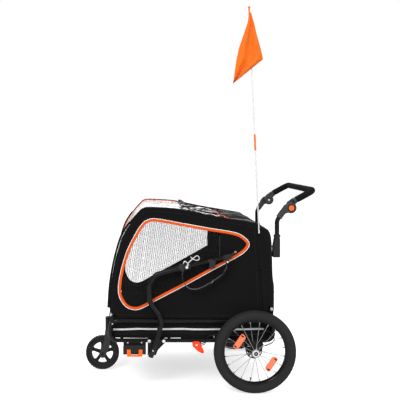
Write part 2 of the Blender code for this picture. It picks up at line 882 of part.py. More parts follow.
def make_caster_fork():
    """Stem, crown and two blades in one moulding, bored for the wheel axle."""
    inside = FRONT_TYRE_W / 2 + 0.006
    outside = inside + FORK_BLADE_T
    crown_low = 2 * FRONT_WHEEL_R + 0.006
    crown_high = SOCKET_BOTTOM - 0.001
    wheel_x = CASTER_AXIS - CASTER_LEAD
    stem_half = STEM_R + 0.005
    blade = capsule((wheel_x, FRONT_WHEEL_R), (CASTER_AXIS, crown_high - FORK_BLADE_W / 2), FORK_BLADE_W, 8)
    fork = cylinder("caster_fork", STEM_R, 0, SOCKET_TOP - crown_low, grey_plastic())
    place(fork, Matrix.Translation(at(CASTER_AXIS, crown_low)) @ Matrix.Rotation(math.pi / 2, 4, "X"))
    crown = [
        (CASTER_AXIS - stem_half - 0.008, crown_low),
        (CASTER_AXIS + stem_half, crown_low),
        (CASTER_AXIS + stem_half, crown_high),
        (CASTER_AXIS - stem_half, crown_high),
    ]
    bridge = plate("crown", [crown], 2 * outside - 0.001, 0, None)
    boolean(fork, "UNION", solid_of(bridge, "crown"))
    for label, side in SIDES:
        arm = plate(f"blade_{label}", [blade], FORK_BLADE_T, side * (inside + outside) / 2, None)
        boolean(fork, "UNION", solid_of(arm, f"blade_{label}"))
    bore = cylinder("fork_bore", SMALL_BOLT_R + 0.001 + RUNNING, -0.1, 0.1, None, 12)
    boolean(fork, "DIFFERENCE", place(bore, caster_place()))
    fork = solid_of(fork, "caster_fork")
    own_origin(fork, at(CASTER_AXIS, SOCKET_BOTTOM))
    radius = SMALL_BOLT_R + 0.001
    head = outside + GAP
    profile = [(0, -head - 0.003), (0.007, -head - 0.003), (0.007, -head), (radius, -head)]
    profile += [(radius, head), (0.007, head), (0.007, head + 0.003), (0, head + 0.003)]
    place(turned("front_axle", profile, silver(), 16), caster_place())


def make_front_wheel():
    """Moulded wheel with five wide spokes and its solid tyre."""
    rim_r = FRONT_WHEEL_R - FRONT_TYRE_T - GAP
    bore_r = SMALL_BOLT_R + 0.001 + RUNNING
    hub_r = 0.016
    edge = rim_r - 0.010
    outlines = [ring_points((0, 0), rim_r, 32)]
    half_bar = 0.007
    for i in range(FRONT_SPOKES):
        turn = math.tau * i / FRONT_SPOKES + math.radians(18)
        span = math.tau / FRONT_SPOKES
        outer_gap = math.asin(half_bar / edge)
        inner_gap = math.asin(half_bar / hub_r)
        hole = []
        for step in range(7):
            angle = turn + outer_gap + (span - 2 * outer_gap) * step / 6
            hole.append((edge * math.cos(angle), edge * math.sin(angle)))
        for step in range(3):
            angle = turn + span - inner_gap - (span - 2 * inner_gap) * step / 2
            hole.append((hub_r * math.cos(angle), hub_r * math.sin(angle)))
        outlines.append(hole)
    outlines.append(ring_points((0, 0), bore_r, 12))
    centre = (CASTER_AXIS - CASTER_LEAD, FRONT_WHEEL_R)
    outlines = [[(centre[0] + x, centre[1] + z) for x, z in outline] for outline in outlines]
    wheel = plate("front_wheel", outlines, FRONT_TYRE_W - 0.008, 0, black_plastic())
    wheel = solid_of(wheel, "front_wheel")
    own_origin(wheel, caster_place().translation)
    profile = tyre_profile(FRONT_WHEEL_R, rim_r + GAP, FRONT_TYRE_W, FRONT_TYRE_W - 0.009, 3)
    tyre = turned("front_tyre", profile, black_rubber(), 32, open_bore=True)
    own_origin(place(tyre, caster_place()), caster_place().translation)


def hoop_path(hinge, points, half_w):
    leg = [(hinge[0], hinge[1] - HOOP_TAIL), *points]
    left = side_path(leg, -half_w)
    right = side_path(leg, half_w)
    return rounded(left + right[::-1], HOOP_CORNER_R, 3)


def make_hoop(name, hinge, points, half_w, fittings=()):
    """An inverted U whose legs turn on the hinge bolts."""
    hoop = solid_of(tube(name, hoop_path(hinge, points, half_w), HOOP_R, black_steel()), name)
    for label, side in SIDES:
        through = side * (half_w - 0.02), side * (half_w + 0.07)
        bore = cylinder(f"{name}_bore_{label}", SMALL_BOLT_R + RUNNING, *through, None, 10)
        boolean(hoop, "DIFFERENCE", place(bore, Matrix.Translation(at(*hinge))))
    own_origin(fused(hoop, fittings), at(*hinge))


def bend_point(rear):
    """Where a side frame's upper bend is at 45 degrees."""
    reach = FRAME_BEND_R * (1 - math.cos(math.pi / 4))
    x = FRAME_REAR - reach if rear else FRAME_FRONT + reach
    return x, UPPER_RAIL_Z - reach


def hinge_plate_y():
    return FRAME_HALF_W + TUBE_R + GAP + HINGE_PLATE_T / 2


def make_hinge_plates():
    """Plates on the frame bends that carry the hoops, each with its hinge bolt and its foot bolt."""
    outside = hinge_plate_y() + HINGE_PLATE_T / 2
    for label, side in SIDES:
        for end, hinge, nest in (("front", FRONT_HINGE, HOOP_NEST), ("rear", REAR_HINGE, 0)):
            foot = bend_point(end == "rear")
            outline = capsule(foot, hinge, HINGE_PLATE_W)
            name = f"hinge_plate_{label}_{end}"
            strip = solid_of(plate(name, [outline], HINGE_PLATE_T, side * hinge_plate_y(), silver()), name)
            depth = FRAME_HALF_W - nest - HOOP_R
            bolts = [small_bolt("hinge_bolt", *hinge, side, outside, depth)]
            bolts.append(small_bolt("foot_bolt", *foot, side, outside, outside - 0.001))
            if nest:
                inner = FRAME_HALF_W + TUBE_R + GAP + 0.001
                leg_face = FRAME_HALF_W - nest + HOOP_R + GAP
                collar = cylinder("collar", 0.0055, side * leg_face, side * inner, None, 12)
                bolts.append(place(collar, Matrix.Translation(at(*hinge))))
            fused(strip, bolts)


def small_bolt(name, x, z, side, under_head, depth):
    """A bolt with a domed head, whose shaft ends at a depth."""
    sink = 0.0005
    profile = [
        (0, side * (under_head + SMALL_HEAD_T)),
        (0.6 * SMALL_HEAD_R, side * (under_head + SMALL_HEAD_T)),
        (SMALL_HEAD_R, side * (under_head + 0.4 * SMALL_HEAD_T)),
        (SMALL_HEAD_R, side * (under_head - sink)),
        (SMALL_BOLT_R, side * (under_head - sink)),
        (SMALL_BOLT_R, side * depth),
        (0, side * depth),
    ]
    return place(turned(name, profile, None, 10), Matrix.Translation(at(x, z)))


POLE_TILT = math.radians(POLE_LEAN)
CABIN_TAPER = HOOP_NEST / (REAR_HINGE[0] - FRONT_HINGE[0])
SEAM_HALF = SLEEVE_TUBE_R + 0.0015
POLE_Y = -(CABIN_HALF_W + POLE_R + 2 * GAP)


def pole_x(z):
    """Where the flag pole's line is at a height."""
    return POLE_FOOT[0] + (z - POLE_FOOT[1]) * math.tan(POLE_TILT)


def taper(x):
    """How much less than the cabin's full half width a side is at a place."""
    return CABIN_TAPER * (REAR_LINE[0][0] - x)


def lean_in(thing, side):
    """Slants an upright piece so that the cabin narrows towards its front."""
    shear = Matrix.Identity(4)
    shear[1][0] = side * CABIN_TAPER
    shear[1][3] = -side * CABIN_TAPER * (AXLE_X + REAR_LINE[0][0])
    return place(thing, shear)


def panel_outline():
    """Side panel edge, inside the roof sheet and in front of the flag sleeve."""
    under_roof = inward(ROOF_LINE, FABRIC_T + GAP)[:-1]
    top_z = under_roof[-1].y
    edge = [(p.x, p.y) for p in under_roof[:-1]]
    edge.append((pole_x(top_z) - SEAM_HALF, top_z))
    edge.append((pole_x(PANEL_BOTTOM) - SEAM_HALF, PANEL_BOTTOM))
    edge.append((FRONT_HINGE[0] + 0.034, PANEL_BOTTOM))
    return edge


def window_hole():
    """The netted part of the window: the piped loop as far back as its upright seam."""
    hole = []
    count = len(WINDOW)
    for i, (x, z) in enumerate(WINDOW):
        next_x, next_z = WINDOW[(i + 1) % count]
        if x <= NET_REAR:
            hole.append((x, z))
        if (x <= NET_REAR) != (next_x <= NET_REAR):
            share = (NET_REAR - x) / (next_x - x)
            hole.append((NET_REAR, z + share * (next_z - z)))
    return hole


def inside(point, outline):
    found = False
    for (x1, z1), (x2, z2) in zip(outline, outline[1:] + outline[:1]):
        if (z1 > point[1]) != (z2 > point[1]):
            if point[0] < (x2 - x1) * (point[1] - z1) / (z2 - z1) + x1:
                found = not found
    return found


def make_side_panels():
    """Side walls, each with the flattened cord that is sewn round its window."""
    for label, side in SIDES:
        name = f"side_panel_{label}"
        outlines = [panel_outline(), window_hole()]
        y = side * (CABIN_HALF_W - FABRIC_T / 2)
        panel = solid_of(plate(name, outlines, FABRIC_T, y, fabric()), name)
        loop = [at(x, z) for x, z in WINDOW]
        cord = solid_of(tube("piping", loop, PIPING_R, None, closed=True, sides=6), "piping")
        flat = Matrix.Diagonal((1, 0.45, 1, 1))
        place(cord, Matrix.Translation((0, side * (CABIN_HALF_W + 0.0005), 0)) @ flat)
        lean_in(fused(panel, [cord]), side)


def net_holes(outline):
    half = (NET_PITCH - NET_BAR) / 2
    reach = half + NET_BAR
    low_x = min(p[0] for p in outline)
    low_z = min(p[1] for p in outline)
    high_x = max(p[0] for p in outline)
    high_z = max(p[1] for p in outline)
    holes = []
    for column in range(int((high_x - low_x) / NET_PITCH) + 1):
        for row in range(int((high_z - low_z) / NET_PITCH) + 1):
            x = low_x + (column + 0.5) * NET_PITCH
            z = low_z + (row + 0.5) * NET_PITCH
            corners = [(x + a * reach, z + b * reach) for a, b in ((-1, -1), (1, -1), (1, 1), (-1, 1))]
            if all(inside(corner, outline) for corner in corners):
                holes.append([(x + a * half, z + b * half) for a, b in ((-1, -1), (1, -1), (1, 1), (-1, 1))])
    return holes


def make_window_nets():
    """A flat net behind each window opening, sewn to the panel round its edge."""
    hole = window_hole()
    edge = [(p.x, p.y) for p in inward(hole, -NET_EDGE, closed=True)]
    holes = net_holes(hole)
    print("net gaps in each window:", len(holes))
    for label, side in SIDES:
        y = side * (CABIN_HALF_W - FABRIC_T - GAP - NET_T / 2)
        net = plate(f"window_net_{label}", [edge, *holes], NET_T, y, net_fabric())
        lean_in(solid_of(net, f"window_net_{label}"), side)


def sheet_across(name, line, thickness, half_width, finish):
    """A sheet that follows a side-view line, from one side to the other; half_width is a function of x."""
    bm = bmesh.new()
    rings = []
    for (x, z), inner in zip(line, inward(line, thickness)):
        w = half_width(x)
        corners = (at(x, z, -w), at(x, z, w), at(inner.x, inner.y, w), at(inner.x, inner.y, -w))
        rings.append([bm.verts.new(c) for c in corners])
    for low, high in zip(rings, rings[1:]):
        for i in range(4):
            j = (i + 1) % 4
            bm.faces.new((low[i], low[j], high[j], high[i]))
    bm.faces.new(rings[0])
    bm.faces.new(rings[-1])
    return mesh_from(bm, name, finish)


def make_roof_cover():
    """One sheet from the front edge up over both hoops, with its clear front window."""
    sheet_across("roof_cover", ROOF_LINE, FABRIC_T, lambda x: CABIN_HALF_W - taper(x), fabric())


def rear_x(z):
    for (x1, z1), (x2, z2) in zip(REAR_LINE, REAR_LINE[1:]):
        if z2 <= z <= z1:
            return x1 + (x2 - x1) * (z1 - z) / (z1 - z2)
    return REAR_LINE[-1][0]


def make_rear_cover():
    """Back wall of the cabin, wrapped round both rear corners, with the door opening cut out."""
    bm = bmesh.new()
    rings = []
    w = CABIN_HALF_W
    t = FABRIC_T
    for i, (x, z) in enumerate(REAR_LINE):
        rear = x if i else x + 0.004
        front = pole_x(z) + SEAM_HALF if i else x + GAP
        plan = ((front, w), (rear, w), (rear, -w), (front, -w))
        inner = ((front, -w + t), (rear - t, -w + t), (rear - t, w - t), (front, w - t))
        rings.append([bm.verts.new(at(px, z, py)) for px, py in plan + inner])
    count = len(rings[0])
    for low, high in zip(rings, rings[1:]):
        for i in range(count):
            j = (i + 1) % count
            bm.faces.new((low[i], low[j], high[j], high[i]))
    for ring in (rings[0], rings[-1]):
        for a, b, c, d in ((0, 1, 6, 7), (1, 2, 5, 6), (2, 3, 4, 5)):
            bm.faces.new((ring[a], ring[b], ring[c], ring[d]))
    cover = mesh_from(bm, "rear_cover", fabric())
    half = DOOR_HALF_W + SEAM_GAP
    low = at(0, DOOR_BOTTOM - SEAM_GAP, -half)
    high = at(2 * FRAME_REAR, DOOR_TOP + SEAM_GAP, half)
    boolean(cover, "DIFFERENCE", block("door_cut", low, high, None))
    stud_z, stud_y = holder_stud()
    for label, side in SIDES:
        low, high = at(0.05, stud_z, side * stud_y), at(0.15, stud_z, side * stud_y)
        boolean(cover, "DIFFERENCE", straight(f"stud_cut_{label}", low, high, 0.006, 8))
    plate_top = REAR_HINGE[1] + HINGE_PLATE_W / 2 + SEAM_GAP
    for label, side in SIDES:
        inner = FRAME_HALF_W + TUBE_R
        beyond = FRAME_HALF_W + 0.12
        low = at(REAR_HINGE[0] - HINGE_PLATE_W / 2 - 0.008, 0, min(side * inner, side * beyond))
        high = at(2 * FRAME_REAR, plate_top, max(side * inner, side * beyond))
        boolean(cover, "DIFFERENCE", block(f"plate_cut_{label}", low, high, None))
    solid_of(cover, "rear_cover")


def make_rear_door():
    """Flap that fills the door opening and drops open about its lower edge."""
    levels = [DOOR_TOP] + [z for _, z in REAR_LINE if DOOR_BOTTOM < z < DOOR_TOP] + [DOOR_BOTTOM]
    line = [(rear_x(z), z) for z in levels]
    door = sheet_across("rear_door", line, FABRIC_T, lambda x: DOOR_HALF_W, fabric())
    own_origin(door, at(rear_x(DOOR_BOTTOM), DOOR_BOTTOM))


def make_roof_roll():
    """The rolled cover, lying across the roof and drawn in by two straps."""
    (x1, z1), (x2, z2) = [p for p in zip(ROOF_LINE, ROOF_LINE[1:]) if p[0][0] <= ROLL_X <= p[1][0]][0]
    slope = (z2 - z1) / (x2 - x1)
    lift = (ROLL_R + GAP) / math.cos(math.atan(slope))
    half = ROLL_HALF_LENGTH
    places = (-1.0, -0.96, -0.55, -0.45, -0.35, 0.35, 0.45, 0.55, 0.96, 1.0)
    shares = (0.6, 0.95, 1.0, 0.85, 1.0, 1.0, 0.85, 1.0, 0.95, 0.6)
    profile = [(0, -half)] + [(ROLL_R * r, half * p) for p, r in zip(places, shares)] + [(0, half)]
    roll = turned("roof_roll", profile, fabric(), 14)
    place(roll, Matrix.Translation(at(ROLL_X, z1 + slope * (ROLL_X - x1) + lift)))


SLEEVE_ANGLE = math.radians(40)
BAR_ANGLE = math.atan2(HANDLE_REACH[1] - HANDLE_PIVOT[1], HANDLE_REACH[0] - HANDLE_PIVOT[0])
DISC_SPLIT = HANDLE_HALF_W + GAP
STEM_BEND_Z = HANDLE_PIVOT[1] - (HANDLE_PIVOT[0] - STEM_X) * math.tan(SLEEVE_ANGLE)


def from_pivot(distance, angle, y):
    return at(HANDLE_PIVOT[0] + distance * math.cos(angle), HANDLE_PIVOT[1] + distance * math.sin(angle), y)


def straight(name, start, end, radius, sides=16):
    bm = bmesh.new()
    bar_between(bm, start, end, radius, sides)
    return mesh_from(bm, name, black_plastic())


def stem_path(y, end):
    low = at(STEM_X, STEM_BOTTOM, y)
    bend = at(STEM_X, STEM_BEND_Z, y)
    return rounded([low, bend, from_pivot(end, SLEEVE_ANGLE + math.pi, y)], 0.03, 5)


def make_handle_stems():
    """Each stem with the fixed half of its angle joint, which has a recess for the button."""
    away = SLEEVE_ANGLE + math.pi
    for label, side in SIDES:
        y = side * HANDLE_HALF_W
        name = f"handle_stem_{label}"
        outer = HANDLE_HALF_W + GAP + PIVOT_DISC_T
        disc = cylinder(name, PIVOT_DISC_R, side * (DISC_SPLIT + GAP), side * outer, black_plastic(), 24)
        place(disc, Matrix.Translation(at(*HANDLE_PIVOT)))
        start, end = from_pivot(SLEEVE_LENGTH + 0.012, away, y), from_pivot(PIVOT_DISC_R + 0.002, away, y)
        sleeve = straight("sleeve", start, end, SLEEVE_R, 12)
        neck_y = side * (HANDLE_HALF_W + 0.5 * PIVOT_DISC_T)
        start = from_pivot(PIVOT_DISC_R + 0.006, away, neck_y)
        neck = straight("neck", start, from_pivot(0.012, away, neck_y), 0.0065, 8)
        stem = tube("stem", stem_path(y, 0.045), STEM_TUBE_R, None, sides=10)
        disc = fused(disc, [sleeve, neck, stem])
        recess = cylinder("recess", BUTTON_R + GAP, side * (outer - BUTTON_DEPTH), side * (outer + 0.01), None, 20)
        boolean(disc, "DIFFERENCE", place(recess, Matrix.Translation(at(*HANDLE_PIVOT))))
        own_origin(solid_of(disc, name), at(STEM_X, HOLDER_TOP, y))


def bar_path(start):
    left = [from_pivot(start, BAR_ANGLE, -HANDLE_HALF_W), at(*HANDLE_REACH, -HANDLE_HALF_W)]
    right = [at(*HANDLE_REACH, HANDLE_HALF_W), from_pivot(start, BAR_ANGLE, HANDLE_HALF_W)]
    return rounded(left + right, HANDLE_BEND_R, 6)


def make_handle_bar():
    """U-shaped bar with the turning half of an angle joint on each end, inside a foam grip."""
    start = PIVOT_DISC_R + 0.004
    bar = solid_of(tube("handle_bar", bar_path(start), BAR_R, black_steel(), sides=10), "handle_bar")
    for label, side in SIDES:
        inner = HANDLE_HALF_W - PIVOT_DISC_T
        disc = cylinder("hub", PIVOT_DISC_R, side * inner, side * (DISC_SPLIT - GAP), black_steel(), 24)
        boolean(bar, "UNION", place(disc, Matrix.Translation(at(*HANDLE_PIVOT))))
        neck_y = side * (HANDLE_HALF_W - 0.5 * PIVOT_DISC_T)
        low, high = from_pivot(0.012, BAR_ANGLE, neck_y), from_pivot(start + 0.006, BAR_ANGLE, neck_y)
        neck = straight("neck", low, high, 0.0065, 8)
        boolean(bar, "UNION", neck)
    own_origin(solid_of(bar, "handle_bar"), at(*HANDLE_PIVOT))
    grip = solid_of(tube("handle_grip", bar_path(GRIP_START), GRIP_R, foam(), sides=10), "handle_grip")
    core = solid_of(tube("grip_core", bar_path(start), BAR_R + 3 * GAP, None, sides=10), "grip_core")
    own_origin(solid_of(boolean(grip, "DIFFERENCE", core), "handle_grip"), at(*HANDLE_PIVOT))


def make_buttons():
    outer = HANDLE_HALF_W + GAP + PIVOT_DISC_T
    for label, side in SIDES:
        profile = [
            (0, side * (outer - 0.0025)),
            (BUTTON_R, side * (outer - 0.0025)),
            (BUTTON_R, side * (outer + BUTTON_PROUD - 0.0015)),
            (BUTTON_R - 0.002, side * (outer + BUTTON_PROUD)),
            (0, side * (outer + BUTTON_PROUD)),
        ]
        button = turned(f"button_{label}", profile, orange(), 20)
        place(button, Matrix.Translation(at(*HANDLE_PIVOT)))
        own_origin(button, at(*HANDLE_PIVOT, side * outer))


def holder_stud():
    """Height and reach of the studs that hold the handle's sockets to the rear hoop, through the rear cover."""
    return (HOLDER_BOTTOM + HOLDER_TOP) / 2, HANDLE_HALF_W + HOLDER_HALF_W - 0.006


def handle_holders():
    """Sockets behind the rear hoop that the stems slide into, one on each leg."""
    front = rear_x(HOLDER_BOTTOM) + SEAM_GAP
    back = STEM_X + STEM_TUBE_R + 0.0035
    stud_z, stud_y = holder_stud()
    outline = [
        (front, HOLDER_BOTTOM),
        (back, HOLDER_BOTTOM),
        (back, HOLDER_TOP),
        (STEM_X - STEM_TUBE_R - 0.0035, HOLDER_TOP),
        (front, stud_z),
    ]
    holders = []
    for label, side in SIDES:
        y = side * HANDLE_HALF_W
        holder = solid_of(plate("holder", [outline], 2 * HOLDER_HALF_W, y, None), "holder")
        bore = cylinder("holder_bore", STEM_TUBE_R + 2 * GAP, 0, 1, None, 16)
        place(bore, Matrix.Translation(at(STEM_X, HOLDER_BOTTOM - 0.1, y)) @ Matrix.Rotation(math.pi / 2, 4, "X"))
        holders.append(solid_of(boolean(holder, "DIFFERENCE", bore), "holder"))
        stud = straight("stud", at(0.076, stud_z, side * stud_y), at(front + 0.006, stud_z, side * stud_y), 0.005, 8)
        holders.append(stud)
    return holders


ARM_Y = -(CABIN_HALF_W + ARM_CLEAR + ARM_R)
ROD_ANGLE = math.atan2(ROD_END[1] - ARM_LINE[-1][1], ROD_END[0] - ARM_LINE[-1][0])


def along_rod(distance, drop=0.0):
    """Side-view point beyond the arm's end, in line with the hitch rod."""
    x, z = ARM_LINE[-1]
    return x + distance * math.cos(ROD_ANGLE), z + distance * math.sin(ROD_ANGLE) - drop


def make_tow_arm():
    """Bent tube with the coupler of the hitch on its end."""
    path = rounded(side_path(ARM_LINE, ARM_Y), ARM_BEND_R, 6)
    arm = solid_of(tube("tow_arm", path, ARM_R, black_steel(), sides=10), "tow_arm")
    start, end = at(*along_rod(-0.004), ARM_Y), at(*along_rod(COUPLER_LENGTH), ARM_Y)
    arm = fused(arm, [straight("coupler", start, end, COUPLER_R, 14)])
    middle = at(*along_rod(COUPLER_LENGTH * 0.6), ARM_Y)
    reach = Vector((0, 0.05, 0))
    boolean(arm, "DIFFERENCE", straight("pin_bore", middle - reach, middle + reach, PIN_R + RUNNING, 10))
    bore = cylinder("arm_bore", SMALL_BOLT_R + RUNNING, ARM_Y - 0.03, ARM_Y + 0.03, None, 12)
    boolean(arm, "DIFFERENCE", place(bore, Matrix.Translation(at(*ARM_PIVOT))))
    own_origin(solid_of(arm, "tow_arm"), at(*ARM_PIVOT, ARM_Y))


def make_arm_bracket():
    """Plate under the left rail, with its two rail bolts and the bolt that the tow arm turns on."""
    left = ARM_PIVOT[0] - 0.026
    right = ARM_PIVOT[0] + 0.061
    top = LOWER_RAIL_Z + 0.008
    low = ARM_PIVOT[1] - 0.031
    outline = [
        (left, top),
        (right, top),
        (right, LOWER_RAIL_Z - 0.006),
        (ARM_PIVOT[0] + 0.024, ARM_PIVOT[1] - 0.006),
        (ARM_PIVOT[0] + 0.014, low),
        (left, low),
    ]
    strip = plate("arm_bracket", [outline], ARM_PLATE_T, -(PLATE_Y + ARM_PLATE_T / 2), black_steel())
    outside = PLATE_Y + ARM_PLATE_T
    bolts = [small_bolt("arm_bolt", *ARM_PIVOT, -1, -ARM_Y + ARM_R + 3 * GAP, outside - 0.002)]
    for x in (ARM_PIVOT[0] - 0.018, ARM_PIVOT[0] + 0.053):
        head = outside - RAIL_BOLT_SUNK
        bolts.append(small_bolt("rail_bolt", x, LOWER_RAIL_Z, -1, head, head - 0.001))
    fused(solid_of(strip, "arm_bracket"), bolts)


def make_arm_saddle():
    """Channel on the left rail, open upwards, where the lowered arm lies; a slide locks it there."""
    inner = PLATE_Y + ARM_PLATE_T
    outer = -ARM_Y + ARM_R + 0.0015 + SADDLE_WALL
    floor_top = ARM_PIVOT[1] - ARM_R - 0.001
    low = at(SADDLE_FRONT, floor_top - SADDLE_WALL, -outer)
    high = at(SADDLE_REAR, LOWER_RAIL_Z, -PLATE_Y)
    saddle = block("arm_saddle", low, high, black_plastic())
    channel_low = at(SADDLE_FRONT - 0.01, floor_top, -(outer - SADDLE_WALL))
    channel = block("channel", channel_low, at(SADDLE_REAR + 0.01, 0.5, -inner), None)
    boolean(saddle, "DIFFERENCE", channel)
    trim_low = at(SADDLE_FRONT - 0.01, SADDLE_TOP, -(outer + 0.01))
    trim = block("saddle_trim", trim_low, at(SADDLE_REAR + 0.01, 0.6, -(inner + 0.001)), None)
    boolean(saddle, "DIFFERENCE", trim)
    solid_of(saddle, "arm_saddle")
    low_z = floor_top - SADDLE_WALL - LATCH_BAR - 0.001
    half = LATCH_LEG_W / 2
    front, rear = LATCH_LEGS
    outline = [
        (front - half, LATCH_TOP),
        (front + half, LATCH_TOP),
        (front + half, low_z + LATCH_BAR),
        (rear - half, low_z + LATCH_BAR),
        (rear - half, LATCH_TOP),
        (rear + half, LATCH_TOP),
        (rear + half, low_z),
        (front - half, low_z),
    ]
    latch = plate("arm_latch", [outline], LATCH_T, -(outer + GAP + LATCH_T / 2), orange())
    latch = solid_of(latch, "arm_latch")
    own_origin(latch, at((front + rear) / 2, low_z, -(outer + GAP)))


def make_hitch_rod():
    """Rod from the coupler with the end fitting that clips to a bicycle."""
    rod_start = at(*along_rod(COUPLER_LENGTH + GAP), ARM_Y)
    rod_end = at(*ROD_END, ARM_Y)
    out = (rod_end - rod_start).normalized()
    rod = straight("hitch_rod", rod_start, rod_end, ROD_R, 12)
    fitting = straight("fitting", rod_end - out * 0.004, rod_end + out * CONNECTOR_LENGTH, CONNECTOR_R, 14)
    tang = straight("tang", rod_end + out * (CONNECTOR_LENGTH - 0.006), at(*HITCH_TIP, ARM_Y), 0.007, 8)
    fused(rod, [fitting, tang])


def make_hitch_pin():
    """Pull pin with a split ring, through the coupler."""
    x, z = along_rod(COUPLER_LENGTH * 0.6)
    outer = -ARM_Y + COUPLER_R
    pin = cylinder("hitch_pin", PIN_R, -(outer + 0.004), ARM_Y + 0.006, silver(), 10)
    place(pin, Matrix.Translation(at(x, z)))
    head = cylinder("pin_head", 0.0065, -(outer + 0.008), -(outer + 0.001), None, 12)
    place(head, Matrix.Translation(at(x, z)))
    ring = ring_points((x, z - PIN_RING_R), PIN_RING_R, 14)
    loop = tube("pin_ring", side_path(ring, -(outer + 0.0045)), 0.0013, None, closed=True, sides=6)
    own_origin(fused(pin, [head, loop]), at(x, z, -outer))


def make_strap():
    """Safety strap: flat webbing that hangs from the coupler to the hitch's end fitting."""
    line = smooth_line([Vector((x, 0, z)) for x, z in STRAP_LINE], 3)
    line = [(p.x, p.z) for p in line]
    strap = sheet_across("safety_strap", line, STRAP_T, lambda x: STRAP_W / 2, webbing())
    place(strap, Matrix.Translation((0, ARM_Y, 0)))


def make_brake_pedal():
    hole = ring_points(PEDAL_PIVOT, SMALL_BOLT_R + RUNNING, 10)
    y = -(PLATE_Y + 0.0016 + PEDAL_T / 2)
    pedal = solid_of(plate("brake_pedal", [list(PEDAL_OUTLINE), hole], PEDAL_T, y, orange()), "brake_pedal")
    own_origin(pedal, at(*PEDAL_PIVOT, y))


def cable_rear(side):
    """Last stretch of a brake cable: back between tray and rail, out round the bend, to the pin's boss."""
    px, pz = brake_pin_centre()
    lane = (TRAY_HALF_W + TUBE_INSIDE) / 2
    out = FRAME_HALF_W + TUBE_R + CABLE_R + 0.004
    reach = BOSS_R + 0.001
    angle = math.radians(20)
    stops = (
        (-0.200, TRAY_BOTTOM + 0.004, lane),
        (-0.060, TRAY_BOTTOM + 0.004, lane),
        (0.030, TRAY_BOTTOM + 0.010, lane),
        (0.058, MID_RAIL_Z - 0.006, lane + 0.002),
        (0.076, MID_RAIL_Z - 0.003, FRAME_HALF_W + 0.004),
        (0.090, MID_RAIL_Z - 0.014, out),
        (FRAME_REAR + 0.001, MID_RAIL_Z - 0.034, out + 0.001),
        (0.092, LOWER_RAIL_Z - 0.006, out),
        (0.070, LOWER_RAIL_Z - 0.017, out - 0.001),
        (px + reach * 2.2, pz + reach * 0.75, FRAME_HALF_W + BRACKET_T / 2 + 0.0050),
        (px + reach * math.cos(angle), pz + reach * math.sin(angle), FRAME_HALF_W + BRACKET_T / 2 + 0.0032),
    )
    return [at(x, z, side * y) for x, z, y in stops]


def make_brake_cables():
    start_x = PEDAL_PIVOT[0] + PEDAL_TAIL + GAP
    y = FRAME_HALF_W + 0.0045
    under = TRAY_BOTTOM - CABLE_R - 0.001
    lane = (TRAY_HALF_W + TUBE_INSIDE) / 2
    high = PEDAL_PIVOT[1] + 0.0005
    low = PEDAL_PIVOT[1] - 0.007
    near = [at(start_x, high, -y), at(start_x + 0.010, high, -y + 0.001), at(start_x + 0.024, high + 0.002, -y + 0.014)]
    near += [at(start_x + 0.034, LOWER_RAIL_Z, -lane)]
    far = [at(start_x, low, -y), at(start_x + 0.010, low, -y + 0.001), at(start_x + 0.026, low + 0.002, -y + 0.020)]
    far += [at(start_x + 0.034, under - 0.006, -lane + 0.022), at(start_x + 0.036, under, -lane + 0.050)]
    far += [at(start_x + 0.036, under, k * TRAY_HALF_W) for k in (-0.5, 0.0, 0.5)]
    far += [at(start_x + 0.036, under, lane - 0.050), at(start_x + 0.040, under - 0.004, lane - 0.014)]
    far += [at(start_x + 0.050, under, lane)]
    routes = (near + cable_rear(-1), far + cable_rear(1))
    for (label, _), route in zip(SIDES, routes):
        tube(f"brake_cable_{label}", smooth_line(route, 3), CABLE_R, black_rubber(), sides=6)


def pole_place():
    stand = Matrix.Rotation(POLE_TILT, 4, "Y") @ Matrix.Rotation(math.pi / 2, 4, "X")
    return Matrix.Translation(at(*POLE_FOOT, POLE_Y)) @ stand


def make_flag_pole():
    """Glass-fibre pole with a ball on top, its ferrule and the sleeve sewn for its foot."""
    pole = [(0, GAP), (POLE_R, GAP), (POLE_R, POLE_LENGTH)]
    for step in range(2, 8):
        angle = math.pi * step / 8
        pole.append((TIP_R * math.sin(angle), POLE_LENGTH + TIP_R * (0.7 - math.cos(angle))))
    pole.append((0, POLE_LENGTH + 1.7 * TIP_R))
    place(turned("flag_pole", pole, white(), 8), pole_place())
    half = FERRULE_LENGTH / 2
    low, high = FERRULE_AT - half, FERRULE_AT + half
    place(pipe("flag_ferrule", FERRULE_R, POLE_R + GAP, low, high, orange(), 12), pole_place())
    wall = SLEEVE_TUBE_R
    bore = POLE_R + GAP
    length = FLAG_SLEEVE_LENGTH
    profile = [(0, -0.004), (wall, -0.004), (wall, length), (bore, length), (bore, 0), (0, 0)]
    place(turned("flag_sleeve", profile, fabric(), 12), pole_place())


def blend_rows(rows, share):
    place_in = share * (len(rows) - 1)
    first = min(int(place_in), len(rows) - 2)
    part = place_in - first
    return [
        tuple(a + (b - a) * part for a, b in zip(rows[first][k], rows[first + 1][k]))
        for k in (0, 1)
    ]


